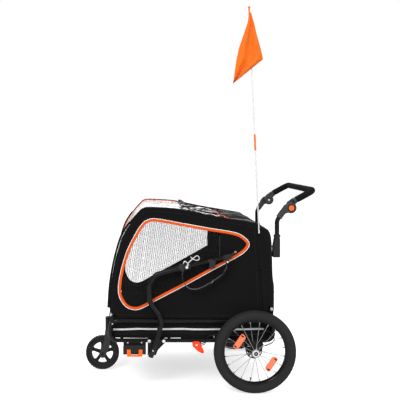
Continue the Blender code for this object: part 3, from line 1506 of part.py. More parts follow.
def make_flag(rows_made=11, columns=11):
    """Pennant that hangs slack from the pole's top in a few upright folds."""
    bm = bmesh.new()
    sheets = ([], [])
    for i in range(rows_made + 1):
        share = i / rows_made
        (lx, lz), (rx, rz) = blend_rows(FLAG_ROWS, share)
        depth = FLAG_FOLD * min(1.0, 0.25 + 1.5 * share) * min(1.0, 4 * (rx - lx) / 0.12)
        for j in range(columns + 1):
            across = j / columns
            fold = 0.5 - 0.5 * math.cos(math.tau * FLAG_FOLDS * across + 2.2 * share)
            x, z = lx + (rx - lx) * across, lz + (rz - lz) * across
            y = POLE_Y - POLE_R - 2 * GAP - depth * fold
            for sheet, offset in zip(sheets, (0, -FLAG_T)):
                sheet.append(bm.verts.new(at(x, z, y + offset)))
    wide = columns + 1
    for i in range(rows_made):
        for j in range(columns):
            corner = i * wide + j
            for sheet in sheets:
                bm.faces.new([sheet[k] for k in (corner, corner + 1, corner + wide + 1, corner + wide)])
    last = rows_made * wide
    border = list(range(wide)) + [i * wide + columns for i in range(1, rows_made + 1)]
    border += list(range(last + columns - 1, last - 1, -1)) + [i * wide for i in range(rows_made - 1, 0, -1)]
    for a, b in zip(border, border[1:] + border[:1]):
        bm.faces.new((sheets[0][a], sheets[0][b], sheets[1][b], sheets[1][a]))
    mesh_from(bm, "flag", orange())


def carry(name, place_at, children):
    """An empty on a joint's axis, with the pieces that turn or slide there as its children."""
    empty = bpy.data.objects.new(name, None)
    empty.empty_display_size = 0.05
    empty.location = place_at
    bpy.context.scene.collection.objects.link(empty)
    bpy.context.view_layer.update()
    for child in children:
        piece = bpy.data.objects[child]
        piece.parent = empty
        piece.matrix_parent_inverse = empty.matrix_world.inverted()


def make_rear_wheels():
    for label, side in SIDES:
        make_tyre(label, side)
        make_rim(label, side)
        make_hub(label, side)
        make_reflectors(label, side)
        names = [f"{piece}_{label}" for piece in ("tyre", "rim", "hub")]
        names += [f"reflector_{label}_front", f"reflector_{label}_rear"]
        carry(f"wheel_axis_{label}", (AXLE_X, side * WHEEL_Y, AXLE_Z), names)


def main():
    clear_scene()
    make_rear_wheels()
    make_wheel_bolts()
    make_rear_axle()
    make_brake_pins()
    make_side_frames()
    make_cross_tubes()
    make_tray()
    make_caster_socket()
    make_caster_fork()
    make_front_wheel()
    make_hoop("front_hoop", FRONT_HINGE, FRONT_HOOP, FRAME_HALF_W - HOOP_NEST)
    make_hoop("rear_hoop", REAR_HINGE, REAR_HOOP, FRAME_HALF_W, handle_holders())
    make_hinge_plates()
    make_side_panels()
    make_window_nets()
    make_roof_cover()
    make_rear_cover()
    make_rear_door()
    make_roof_roll()
    make_handle_stems()
    make_handle_bar()
    make_buttons()
    make_tow_arm()
    make_arm_bracket()
    make_arm_saddle()
    make_hitch_rod()
    make_hitch_pin()
    make_strap()
    make_brake_pedal()
    make_brake_cables()
    make_flag_pole()
    make_flag()
    carry("arm_axis", at(*ARM_PIVOT, ARM_Y), ["tow_arm", "hitch_rod", "safety_strap"])
    carry("caster_axis", at(CASTER_AXIS, SOCKET_BOTTOM), ["caster_fork", "front_axle"])
    carry("pole_axis", at(*POLE_FOOT, POLE_Y), ["flag_pole", "flag_ferrule", "flag"])


main()
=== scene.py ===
"""A bicycle dog trailer with its push handle, folded tow arm and safety flag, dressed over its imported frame."""

import math

import bmesh
import bpy
from mathutils import Matrix, Vector, geometry, noise


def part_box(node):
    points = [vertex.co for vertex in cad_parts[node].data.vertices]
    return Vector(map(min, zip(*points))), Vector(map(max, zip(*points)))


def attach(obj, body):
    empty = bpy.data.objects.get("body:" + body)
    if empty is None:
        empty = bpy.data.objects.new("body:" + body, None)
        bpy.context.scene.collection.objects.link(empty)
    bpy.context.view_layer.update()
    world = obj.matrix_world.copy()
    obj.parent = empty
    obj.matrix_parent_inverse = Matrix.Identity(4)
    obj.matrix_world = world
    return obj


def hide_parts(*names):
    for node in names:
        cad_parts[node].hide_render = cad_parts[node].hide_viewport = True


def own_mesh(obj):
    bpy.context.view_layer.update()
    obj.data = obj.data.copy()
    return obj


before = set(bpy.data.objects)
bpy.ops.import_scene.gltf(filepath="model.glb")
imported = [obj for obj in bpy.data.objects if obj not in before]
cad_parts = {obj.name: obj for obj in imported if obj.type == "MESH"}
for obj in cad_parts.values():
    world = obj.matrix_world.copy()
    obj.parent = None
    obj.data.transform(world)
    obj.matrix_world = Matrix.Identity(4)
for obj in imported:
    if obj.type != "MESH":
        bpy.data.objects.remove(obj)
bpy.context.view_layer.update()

wheel_low, wheel_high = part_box("tyre_left")
AX = (wheel_low[0] + wheel_high[0]) / 2
SIDES = (("left", -1), ("right", 1))
CABIN_W = 0.2935
TAPER = 0.0195 / 0.79
TAPER_FROM = 0.0308
WHEEL_Y = 0.325
FRAME_Y = 0.28
ARM_Y = -0.3095


def at(x, z, y=0.0):
    return Vector((AX + x, y, z))


# Camera


def set_camera():
    data = bpy.data.cameras.new("camera")
    data.lens = 52.9
    data.sensor_width = 36.0
    data.shift_x = 0.1325
    data.shift_y = -0.11
    data.clip_end = 100.0
    camera = bpy.data.objects.new("camera", data)
    camera.location = (AX - 0.523, -3.175, 1.149)
    camera.rotation_euler = (math.pi / 2, 0, 0)
    bpy.context.scene.collection.objects.link(camera)
    bpy.context.scene.camera = camera


# Materials


class Look:
    """Builds a node material: sockets of the shader, then patterns that drive colour, roughness and bump."""

    def __init__(self, name, colour, rough, metallic=0.0, **sockets):
        self.made = bpy.data.materials.new(name)
        self.made.use_nodes = True
        self.tree = self.made.node_tree
        self.shader = self.tree.nodes["Principled BSDF"]
        self.set("Base Color", (*colour, 1.0))
        self.set("Roughness", rough)
        self.set("Metallic", metallic)
        for socket, value in sockets.items():
            self.set(socket.replace("_", " "), value)
        self.coords = self.tree.nodes.new("ShaderNodeTexCoord").outputs["Object"]
        self.height = None

    def set(self, socket, value):
        self.shader.inputs[socket].default_value = value

    def node(self, kind, inputs=(), **settings):
        made = self.tree.nodes.new(kind)
        for name, value in settings.items():
            setattr(made, name, value)
        for name, value in dict(inputs).items():
            if isinstance(value, bpy.types.NodeSocket):
                self.tree.links.new(value, made.inputs[name])
            else:
                made.inputs[name].default_value = value
        return made

    def noise(self, scale, detail, distortion=0.0, coords=None):
        inputs = {"Vector": coords or self.coords, "Scale": scale, "Detail": detail, "Distortion": distortion}
        return self.node("ShaderNodeTexNoise", inputs).outputs["Fac"]

    def stretched(self, scale):
        return self.node("ShaderNodeMapping", {"Vector": self.coords, "Scale": scale}).outputs["Vector"]

    def wave(self, scale, direction):
        inputs = {"Vector": self.coords, "Scale": scale}
        return self.node("ShaderNodeTexWave", inputs, bands_direction=direction).outputs["Fac"]

    def math(self, operation, a, b=0.0):
        made = self.node("ShaderNodeMath", operation=operation)
        for socket, value in zip(made.inputs, (a, b)):
            if isinstance(value, bpy.types.NodeSocket):
                self.tree.links.new(value, socket)
            else:
                socket.default_value = value
        return made.outputs[0]

    def ramp(self, value, low, high, to_low=0.0, to_high=1.0):
        inputs = {"Value": value, "From Min": low, "From Max": high, "To Min": to_low, "To Max": to_high}
        return self.node("ShaderNodeMapRange", inputs).outputs["Result"]

    def tint(self, value, low, high):
        """Colour between two colours by a value from 0 to 1."""
        made = self.node("ShaderNodeMix", data_type="RGBA")
        self.tree.links.new(value, made.inputs[0])
        made.inputs[6].default_value = (*low, 1.0)
        made.inputs[7].default_value = (*high, 1.0)
        self.tree.links.new(made.outputs[2], self.shader.inputs["Base Color"])

    def rough(self, value, low, high):
        self.tree.links.new(self.ramp(value, 0.0, 1.0, low, high), self.shader.inputs["Roughness"])

    def bump(self, value, distance, strength):
        inputs = {"Height": value, "Distance": distance, "Strength": strength}
        if self.height is not None:
            inputs["Normal"] = self.height
        self.height = self.node("ShaderNodeBump", inputs).outputs["Normal"]
        self.tree.links.new(self.height, self.shader.inputs["Normal"])


def dim(colour, share):
    return tuple(c * share for c in colour)


def cloth_look(name, colour, pitch=0.0011, sheen=0.04, rough=0.85, shade=1.35):
    """Plain weave: threads both ways, faint slubs and dust."""
    look = Look(name, colour, rough, Sheen_Weight=sheen, Sheen_Roughness=0.5, Specular_IOR_Level=0.06)
    turn = math.tau / pitch / 20
    cross = [look.wave(turn, d) for d in ("X", "Y", "Z")]
    weave = look.math("MULTIPLY", look.math("MAXIMUM", cross[0], cross[1]), cross[2])
    slub = look.noise(60.0, 4.0)
    dust = look.noise(7.0, 4.0)
    look.tint(look.math("MULTIPLY", slub, dust), dim(colour, 0.75), dim(colour, shade))
    look.rough(dust, rough - 0.1, min(1.0, rough + 0.12))
    look.bump(weave, 0.0002, 0.5)
    look.bump(slub, 0.0005, 0.25)
    return look.made


def paint_look(name, colour):
    """Gloss powder coat: orange peel, and smears that dull it."""
    look = Look(name, colour, 0.22, Coat_Weight=0.18, Coat_Roughness=0.07, Specular_IOR_Level=0.05)
    peel = look.noise(420.0, 2.0)
    smear = look.noise(14.0, 4.0)
    look.tint(smear, dim(colour, 0.8), dim(colour, 1.5))
    look.rough(smear, 0.16, 0.36)
    look.bump(peel, 0.0001, 0.25)
    return look.made


def plastic_look(name, colour, rough=0.45):
    """Moulded plastic with a spark-eroded grain."""
    look = Look(name, colour, rough, Specular_IOR_Level=0.2)
    fine = look.noise(900.0, 3.0)
    cloudy = look.noise(20.0, 3.0)
    look.tint(cloudy, dim(colour, 0.85), dim(colour, 1.25))
    look.rough(cloudy, rough - 0.07, rough + 0.1)
    look.bump(fine, 0.0001, 0.3)
    return look.made


def metal_look(name, colour, rough=0.28):
    look = Look(name, colour, rough, 1.0)
    brushed = look.noise(90.0, 5.0, coords=look.stretched((1.0, 9.0, 1.0)))
    spots = look.noise(30.0, 4.0)
    look.tint(spots, dim(colour, 0.72), colour)
    look.rough(brushed, rough - 0.1, rough + 0.16)
    look.bump(brushed, 0.0001, 0.2)
    return look.made


def rubber_look(name, colour, rough=0.7):
    look = Look(name, colour, rough, Specular_IOR_Level=0.2)
    fine = look.noise(500.0, 4.0)
    dust = look.noise(9.0, 5.0)
    look.tint(dust, dim(colour, 0.8), dim(colour, 1.7))
    look.rough(dust, rough - 0.12, rough + 0.15)
    look.bump(fine, 0.0002, 0.3)
    return look.made


def foam_look(name, colour):
    """Closed-cell foam with open pores."""
    look = Look(name, colour, 0.85, Specular_IOR_Level=0.04)
    cells = look.node("ShaderNodeTexVoronoi", {"Vector": look.coords, "Scale": 700.0}).outputs["Distance"]
    dust = look.noise(16.0, 4.0)
    look.tint(dust, dim(colour, 0.8), dim(colour, 1.5))
    look.rough(dust, 0.75, 0.95)
    look.bump(cells, 0.0003, 0.5)
    return look.made


def webbing_look(name, colour):
    look = Look(name, colour, 0.75, Sheen_Weight=0.2, Specular_IOR_Level=0.3)
    ribs = look.wave(2600.0 / 20, "DIAGONAL")
    dust = look.noise(40.0, 4.0)
    look.tint(dust, dim(colour, 0.7), dim(colour, 1.4))
    look.rough(dust, 0.65, 0.9)
    look.bump(ribs, 0.0003, 0.6)
    return look.made


def reflector_look(name, colour):
    """Amber prism plastic: small facets under a clear face."""
    look = Look(name, colour, 0.12, Specular_IOR_Level=0.8, Coat_Weight=0.6, Coat_Roughness=0.03)
    prism = look.node("ShaderNodeTexVoronoi", {"Vector": look.coords, "Scale": 330.0}, distance="CHEBYCHEV")
    cells = prism.outputs["Distance"]
    look.tint(cells, colour, (1.0, 0.2, 0.01))
    look.rough(cells, 0.08, 0.3)
    look.bump(cells, 0.0006, 0.6)
    return look.made


def clear_look(name):
    """Soft PVC window film drawn as a pale glossy sheet: its white colour is painted reflection of the bright room, and
    the grey streaks along its creases are painted shade.
    """
    look = Look(name, (0.92, 0.92, 0.93), 0.12, Specular_IOR_Level=0.7, Coat_Weight=0.6, Coat_Roughness=0.04)
    crease = look.noise(16.0, 5.0, 2.2, coords=look.stretched((1.0, 0.35, 1.0)))
    painted_crease_shade = look.ramp(crease, 0.56, 0.66)
    # Painted shade: grey streaks along the creases, over a white base colour that is painted reflection.
    look.tint(painted_crease_shade, (0.97, 0.97, 0.97), (0.3, 0.3, 0.31))
    look.rough(crease, 0.06, 0.28)
    look.bump(crease, 0.004, 0.5)
    film = look.tree.nodes.new("ShaderNodeBsdfTransparent")
    mix = look.tree.nodes.new("ShaderNodeMixShader")
    mix.inputs["Fac"].default_value = 0.8
    look.tree.links.new(film.outputs["BSDF"], mix.inputs[1])
    look.tree.links.new(look.shader.outputs["BSDF"], mix.inputs[2])
    out = look.tree.nodes["Material Output"]
    look.tree.links.new(mix.outputs["Shader"], out.inputs["Surface"])
    return look.made


def crinkle_painted_highlight_look(name, dark, light, low, high, spec):
    """Coated cloth that has been folded often: dark, with painted highlights, pale lines along the folds where light
    would catch them.
    """
    look = Look(name, dark, 0.46, Specular_IOR_Level=spec)
    crease = look.noise(15.0, 5.0, 1.6, coords=look.stretched((0.3, 1.5, 1.2)))
    fold = look.ramp(crease, low, high)
    # Painted highlights: the pale colour along the folds stands in for light caught by them.
    look.tint(fold, dark, light)
    look.rough(crease, 0.34, 0.55)
    look.bump(crease, 0.006, 0.6)
    look.bump(look.noise(240.0, 3.0), 0.0002, 0.3)
    return look.made


BLACK = (0.0046, 0.0046, 0.0049)
ORANGE = (0.86, 0.165, 0.012)
cabin_cloth = cloth_look("cabin_cloth", BLACK)
inner_cloth = cloth_look("inner_cloth", (0.008, 0.008, 0.0085))
# Dark coated cloth of the roof's rear, with painted highlights along its folds.
painted_glint_cloth = crinkle_painted_highlight_look("coated_cloth_painted_glints", (0.0035, 0.0035, 0.0038), (0.13, 0.126, 0.13), 0.54, 0.65, 0.004)
# Dark rolled film, with strong painted highlights along its folds.
rolled_film_painted_glints = crinkle_painted_highlight_look("rolled_film_painted_glints", (0.006, 0.0058, 0.006), (0.72, 0.69, 0.7), 0.54, 0.59, 0.01)
net_cloth = cloth_look("net_thread", (0.028, 0.028, 0.03), pitch=0.0006)
flag_cloth = cloth_look("flag_cloth", ORANGE, pitch=0.0009, sheen=0.1, rough=0.7, shade=1.1)
piping_cloth = cloth_look("piping", (0.78, 0.098, 0.006), pitch=0.0012, sheen=0.1, rough=0.55, shade=1.1)
reflective = cloth_look("reflective_tape", (0.9, 0.9, 0.91), pitch=0.0014, sheen=0.0, rough=0.4, shade=1.15)
black_paint = paint_look("black_paint", (0.0032, 0.0032, 0.0035))
black_plastic = plastic_look("black_plastic", (0.007, 0.007, 0.0075))
grey_plastic = plastic_look("grey_plastic", (0.026, 0.026, 0.028), 0.5)
orange_plastic = plastic_look("orange_plastic", (0.86, 0.13, 0.008), 0.4)
red_plastic = plastic_look("red_plastic", (0.8, 0.055, 0.01), 0.4)
white_rod = plastic_look("white_rod", (0.58, 0.58, 0.57), 0.35)
silver = metal_look("silver", (0.66, 0.66, 0.67))
steel_wire = metal_look("spoke_steel", (0.32, 0.32, 0.33), 0.24)
tyre_rubber = rubber_look("tyre_rubber", (0.008, 0.008, 0.0083))
cable_rubber = rubber_look("cable_rubber", (0.012, 0.012, 0.0125), 0.5)
foam_grip = foam_look("foam_grip", (0.0062, 0.0062, 0.0066))
grey_webbing = webbing_look("webbing", (0.0075, 0.0075, 0.008))
amber = reflector_look("amber", (0.88, 0.078, 0.002))
clear_film = clear_look("clear_film")


# Lines and meshes


def fillet(before, corner, after, radius, steps):
    """Points of an arc that rounds a corner of a path; steps are for a right-angled bend."""
    back = (before - corner).normalized()
    ahead = (after - corner).normalized()
    turn = math.pi - back.angle(ahead)
    if turn < math.radians(2):
        return [corner]
    steps = max(1, round(steps * turn / (math.pi / 2)))
    reach = radius * math.tan(turn / 2)
    reach = min(reach, 0.48 * (before - corner).length, 0.48 * (after - corner).length)
    start = corner + back * reach
    end = corner + ahead * reach
    points = []
    for step in range(steps + 1):
        t = step / steps
        points.append(start * (1 - t) ** 2 + corner * 2 * t * (1 - t) + end * t**2)
    return points


def rounded(points, radius, steps=12, closed=False):
    points = [Vector(p) for p in points]
    count = len(points)
    path = []
    for i, corner in enumerate(points):
        if not closed and i in (0, count - 1):
            path.append(corner)
        else:
            path += fillet(points[i - 1], corner, points[(i + 1) % count], radius, steps)
    return path


def catmull(a, b, c, d, t):
    bend = 2 * a - 5 * b + 4 * c - d
    twist = 3 * b - a - 3 * c + d
    return 0.5 * (2 * b + (c - a) * t + bend * t * t + twist * t**3)


def smooth_line(points, per_span=6):
    points = [Vector(p) for p in points]
    padded = [points[0] * 2 - points[1], *points, points[-1] * 2 - points[-2]]
    path = []
    for a, b, c, d in zip(padded, padded[1:], padded[2:], padded[3:]):
        path += [catmull(a, b, c, d, step / per_span) for step in range(per_span)]
    return path + [points[-1]]


def smooth_loop(points, per_span=6):
    points = [Vector(p) for p in points]
    count = len(points)
    path = []
    for i in range(count):
        a, b, c, d = (points[(i + k) % count] for k in (-1, 0, 1, 2))
        path += [catmull(a, b, c, d, step / per_span) for step in range(per_span)]
    return path


def inward(points, distance, closed=False):
    """Moves a line in the (x, z) plane to its right-hand side by a distance."""
    points = [Vector((p[0], p[1])) for p in points]
    count = len(points)
    moved = []
    for i, point in enumerate(points):
        before = points[i - 1] if closed or i else point
        after = points[(i + 1) % count] if closed or i < count - 1 else point
        along = (after - before).normalized()
        moved.append(point + Vector((along.y, -along.x)) * distance)
    return moved


def even(points, step):
    """The same line with points a fixed step apart."""
    points = [Vector(p) for p in points]
    total = sum((b - a).length for a, b in zip(points, points[1:]))
    count = max(1, round(total / step))
    made = [points[0].copy()]
    walked = 0.0
    target = total / count
    for a, b in zip(points, points[1:]):
        length = (b - a).length
        while length > 0 and walked + length >= target - 1e-9 and len(made) < count:
            made.append(a.lerp(b, (target - walked) / length))
            target += total / count
        walked += length
    return made + [points[-1].copy()]


SHARP_ANGLE = math.radians(35)


class Mesh:
    """Collects points and faces, each face with the index of its material."""

    def __init__(self):
        self.points = []
        self.faces = []
        self.slots = []

    def add(self, points, faces, slot=0):
        start = len(self.points)
        self.points += [tuple(p) for p in points]
        self.faces += [tuple(start + i for i in face) for face in faces]
        self.slots += [slot] * len(faces)

    def sweep(self, path, radius, sides=16, closed=False, slot=0, flat=1.0, caps=True, up=None):
        """A round or oval bar along points; radius is a number or a value for each point."""
        path = [Vector(p) for p in path]
        count = len(path)
        radii = radius if isinstance(radius, (list, tuple)) else [radius] * count
        normal = None
        rings = []
        for i, point in enumerate(path):
            before = path[i - 1] if closed or i else point
            after = path[(i + 1) % count] if closed or i < count - 1 else point
            along = (after - before).normalized()
            if up is not None:
                normal = Vector(up) - along * along.dot(Vector(up))
            elif normal is None:
                normal = along.orthogonal()
            else:
                normal = normal - along * along.dot(normal)
            normal.normalize()
            side = along.cross(normal)
            rings.append((point, normal.copy(), side))
        twist = 0.0
        if closed and up is None:
            last = rings[-1][1]
            first = rings[0]
            along = (path[1] - path[-1]).normalized()
            carried = last - along * along.dot(last)
            twist = math.atan2(carried.dot(first[2]), carried.dot(first[1]))
        points = []
        for i, (point, normal, side) in enumerate(rings):
            lead = -twist * i / count
            for k in range(sides):
                angle = math.tau * k / sides + lead
                offset = normal * math.cos(angle) * flat + side * math.sin(angle)
                points.append(point + offset * radii[i])
        faces = []
        for i in range(count if closed else count - 1):
            a = i * sides
            b = (i + 1) % count * sides
            for k in range(sides):
                n = (k + 1) % sides
                faces.append((a + k, a + n, b + n, b + k))
        if not closed and caps:
            faces.append(tuple(range(sides))[::-1])
            faces.append(tuple((count - 1) * sides + k for k in range(sides)))
        self.add(points, faces, slot)

    def spin(self, profile, segments=64, slot=0, place=None):
        """A body turned about the Y axis from (radius, y) points."""
        place = place or Matrix.Identity(4)
        points = []
        for i in range(segments):
            angle = math.tau * i / segments
            for radius, y in profile:
                points.append(place @ Vector((radius * math.cos(angle), y, radius * math.sin(angle))))
        count = len(profile)
        faces = []
        for i in range(segments):
            a = i * count
            b = (i + 1) % segments * count
            for k in range(count):
                n = (k + 1) % count
                faces.append((a + k, b + k, b + n, a + n))
        self.add(points, faces, slot)

    def ring(self, r0, r1, y0, y1, segments, slot=0, place=None):
        """A turned ring with a rectangular section."""
        self.spin([(r0, y0), (r1, y0), (r1, y1), (r0, y1)], segments, slot, place)

    def two_sided(self, points, faces, drop, slot=0):
        """A sheet without an edge: faces on the points, and turned round on the same points moved by a drop."""
        self.add(points, faces, slot)
        self.add([p - drop for p in points], [face[::-1] for face in faces], slot)

    def cloth(self, outer, inner, wide):
        """A closed sheet from two layers of grid points, with so many points in each row."""
        count = len(outer)
        rows = count // wide - 1
        faces = []
        for quad in grid_faces(rows + 1, wide):
            a, b, c, d = quad
            faces += [quad, (count + a, count + d, count + c, count + b)]
        for r in range(rows):
            for a in (r * wide, r * wide + wide - 1):
                faces.append((a, a + wide, count + a + wide, count + a))
        for k in range(wide - 1):
            for a in (k, rows * wide + k):
                faces.append((a, a + 1, count + a + 1, count + a))
        self.add(outer + inner, faces)

    def disc(self, profile, segments=48, slot=0, place=None):
        """A turned body whose profile starts and ends on its axis."""
        place = place or Matrix.Identity(4)
        inner = profile[1:-1]
        points = [place @ Vector((0, profile[0][1], 0)), place @ Vector((0, profile[-1][1], 0))]
        for i in range(segments):
            angle = math.tau * i / segments
            for radius, y in inner:
                points.append(place @ Vector((radius * math.cos(angle), y, radius * math.sin(angle))))
        count = len(inner)
        faces = []
        for i in range(segments):
            a = 2 + i * count
            b = 2 + (i + 1) % segments * count
            faces.append((0, b, a))
            faces += [(a + k, b + k, b + k + 1, a + k + 1) for k in range(count - 1)]
            faces.append((1, a + count - 1, b + count - 1))
        self.add(points, faces, slot)

    def plate(self, outline, thickness, slot=0, place=None, bevel=0.0, holes=()):
        """A flat plate in the (x, z) plane, its middle at y 0, with bevelled edges and holes."""
        place = place or Matrix.Identity(4)
        half = thickness / 2
        levels = [(-half, bevel), (-half + bevel, 0.0), (half - bevel, 0.0), (half, bevel)]
        if not bevel:
            levels = [(-half, 0.0), (half, 0.0)]
        loops = [list(outline), *[list(hole) for hole in holes]]
        if area_of(loops[0]) < 0:
            loops[0].reverse()
        for hole in loops[1:]:
            if area_of(hole) > 0:
                hole.reverse()
        points = []
        faces = []
        caps = []
        for y, draw in levels:
            ring_starts = []
            for loop in loops:
                ring_starts.append(len(points))
                moved = inward(loop, -draw, True) if draw else [Vector((p[0], p[1])) for p in loop]
                points += [place @ Vector((p.x, y, p.y)) for p in moved]
            caps.append(ring_starts)
        for low, high in zip(caps, caps[1:]):
            for start_a, start_b, loop in zip(low, high, loops):
                n = len(loop)
                for k in range(n):
                    m = (k + 1) % n
                    faces.append((start_a + k, start_a + m, start_b + m, start_b + k))
        flat = [[Vector((p[0], p[1], 0)) for p in loop] for loop in loops]
        cap_points = [p for loop in flat for p in loop]
        first, last = caps[0][0], caps[-1][0]
        for triangle in dict.fromkeys(tuple(found) for found in geometry.tessellate_polygon(flat)):
            a, b, c = (cap_points[i] for i in triangle)
            if (b - a).cross(c - a).z < 0:
                triangle = triangle[::-1]
            faces.append(tuple(first + i for i in triangle))
            faces.append(tuple(last + i for i in triangle)[::-1])
        self.add(points, faces, slot)

    def block(self, low, high, slot=0, place=None, bevel=0.0):
        """A box with chamfered upright edges."""
        place = place or Matrix.Identity(4)
        (x0, y0, z0), (x1, y1, z1) = low, high
        outline = [(x0, z0), (x1, z0), (x1, z1), (x0, z1)]
        if bevel:
            outline = soft_edge(outline, bevel, 3)
        middle = place @ Matrix.Translation((0, (y0 + y1) / 2, 0))
        self.plate(outline, y1 - y0, slot, middle, bevel)

    def build(self, name, looks, body=None, hides=()):
        """The object: it rides on a body and stands for the CAD nodes that it hides."""
        data = bpy.data.meshes.new(name)
        data.from_pydata(self.points, [], self.faces)
        for look in looks:
            data.materials.append(look)
        data.polygons.foreach_set("material_index", self.slots)
        work = bmesh.new()
        work.from_mesh(data)
        bmesh.ops.recalc_face_normals(work, faces=work.faces)
        for face in work.faces:
            face.smooth = True
        for edge in work.edges:
            edge.smooth = len(edge.link_faces) != 2 or edge.calc_face_angle(0.0) < SHARP_ANGLE
        work.to_mesh(data)
        work.free()
        made = bpy.data.objects.new(name, data)
        bpy.context.scene.collection.objects.link(made)
        if body:
            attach(made, body)
        if hides:
            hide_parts(*hides)
        return made


def grid_faces(rows, wide):
    """Quads between rows of points."""
    return [
        (r * wide + k, r * wide + k + 1, (r + 1) * wide + k + 1, (r + 1) * wide + k)
        for r in range(rows - 1)
        for k in range(wide - 1)
    ]


def area_of(loop):
    return sum(a[0] * b[1] - b[0] * a[1] for a, b in zip(loop, loop[1:] + loop[:1])) / 2


def ring_points(centre, radius, count, start=0.0):
    turn = math.tau / count
    return [
        (centre[0] + radius * math.cos(start + turn * i), centre[1] + radius * math.sin(start + turn * i))
        for i in range(count)
    ]


def capsule(start, end, width):
    """Outline of a bar with round ends, between two points."""
    along = math.atan2(end[1] - start[1], end[0] - start[0])
    outline = []
    for centre, first in ((end, along - math.pi / 2), (start, along + math.pi / 2)):
        for step in range(11):
            angle = first + math.pi * step / 10
            outline.append((centre[0] + width / 2 * math.cos(angle), centre[1] + width / 2 * math.sin(angle)))
    return outline


def moved(x=0.0, y=0.0, z=0.0):
    return Matrix.Translation(at(x, z, y))


def soft_edge(points, radius=0.02, steps=5):
    """The same closed outline with its corners rounded."""
    return [(p.x, p.z) for p in rounded([Vector((x, 0, z)) for x, z in points], radius, steps, closed=True)]


def inset(loop, distance):
    """A closed outline moved inwards by a distance."""
    return [(p.x, p.y) for p in inward(loop, distance, closed=True)]


def sided(profile, side):
    """A turned profile given for the right side, on either side."""
    return [(radius, side * y) for radius, y in profile]


def spread(first, last, count):
    """Evenly spaced values from first to last, with both ends."""
    return [first + (last - first) * k / count for k in range(count + 1)]


def screw_head(mesh, x, z, side, y, radius=0.0055, slot=0, height=0.003, segments=24, recess=0.0024):
    """A domed bolt head with a round socket, facing out from a side."""
    place = moved(x, 0.0, z)
    profile = [(0, side * (y + height * 0.45)), (recess * 0.9, side * (y + height * 0.45))]
    profile += [(recess, side * (y + height * 0.97)), (radius * 0.62, side * (y + height))]
    profile += [(radius * 0.9, side * (y + height * 0.75)), (radius, side * (y + height * 0.42))]
    profile += [(radius, side * (y - 0.0002)), (0, side * (y - 0.0002))]
    mesh.disc(profile, segments, slot, place)


# Rear wheels

WHEEL_R = 0.2
RIM_IN = 0.1467
SPOKES = 20
FLANGE_AT = 0.02
PIN_ANGLE = math.radians(17)
PIN_REACH = 0.032
BRAKE_PIN = (PIN_REACH * math.cos(PIN_ANGLE), WHEEL_R + PIN_REACH * math.sin(PIN_ANGLE))


def tyre_section():
    """(radius, y) points round a tyre: tread grooves, shoulder lines, sidewall rings and beads."""
    ribs = ((90, 0.0), (84, 0.0), (82.5, -0.0012), (80.5, -0.0012), (79, 0.0), (70, 0.0), (68.5, -0.0012))
    ribs += ((66.5, -0.0012), (65, 0.0), (54, 0.0), (52.5, -0.001), (51, -0.001), (49.5, 0.0), (46, 0.0))
    ribs += ((45, 0.0008), (43, 0.0008), (42, -0.0002), (34, -0.0004), (33, 0.0003), (31, 0.0003), (30, -0.0004))
    ribs += ((16, -0.0003), (2, 0.0), (-14, 0.0), (-26, -0.0004), (-27, 0.0003), (-29, 0.0003), (-30, -0.0004))
    ribs += ((-42, 0.0), (-56, 0.0))
    half = []
    for degrees, lift in ribs:
        angle = math.radians(degrees)
        reach = 1 + lift / 0.022
        half.append((0.1768 + 0.0232 * math.sin(angle) * reach, 0.0218 * math.cos(angle) * reach))
    half.append((0.1545, 0.0125))
    return half + [(r, -y) for r, y in half[:0:-1]]


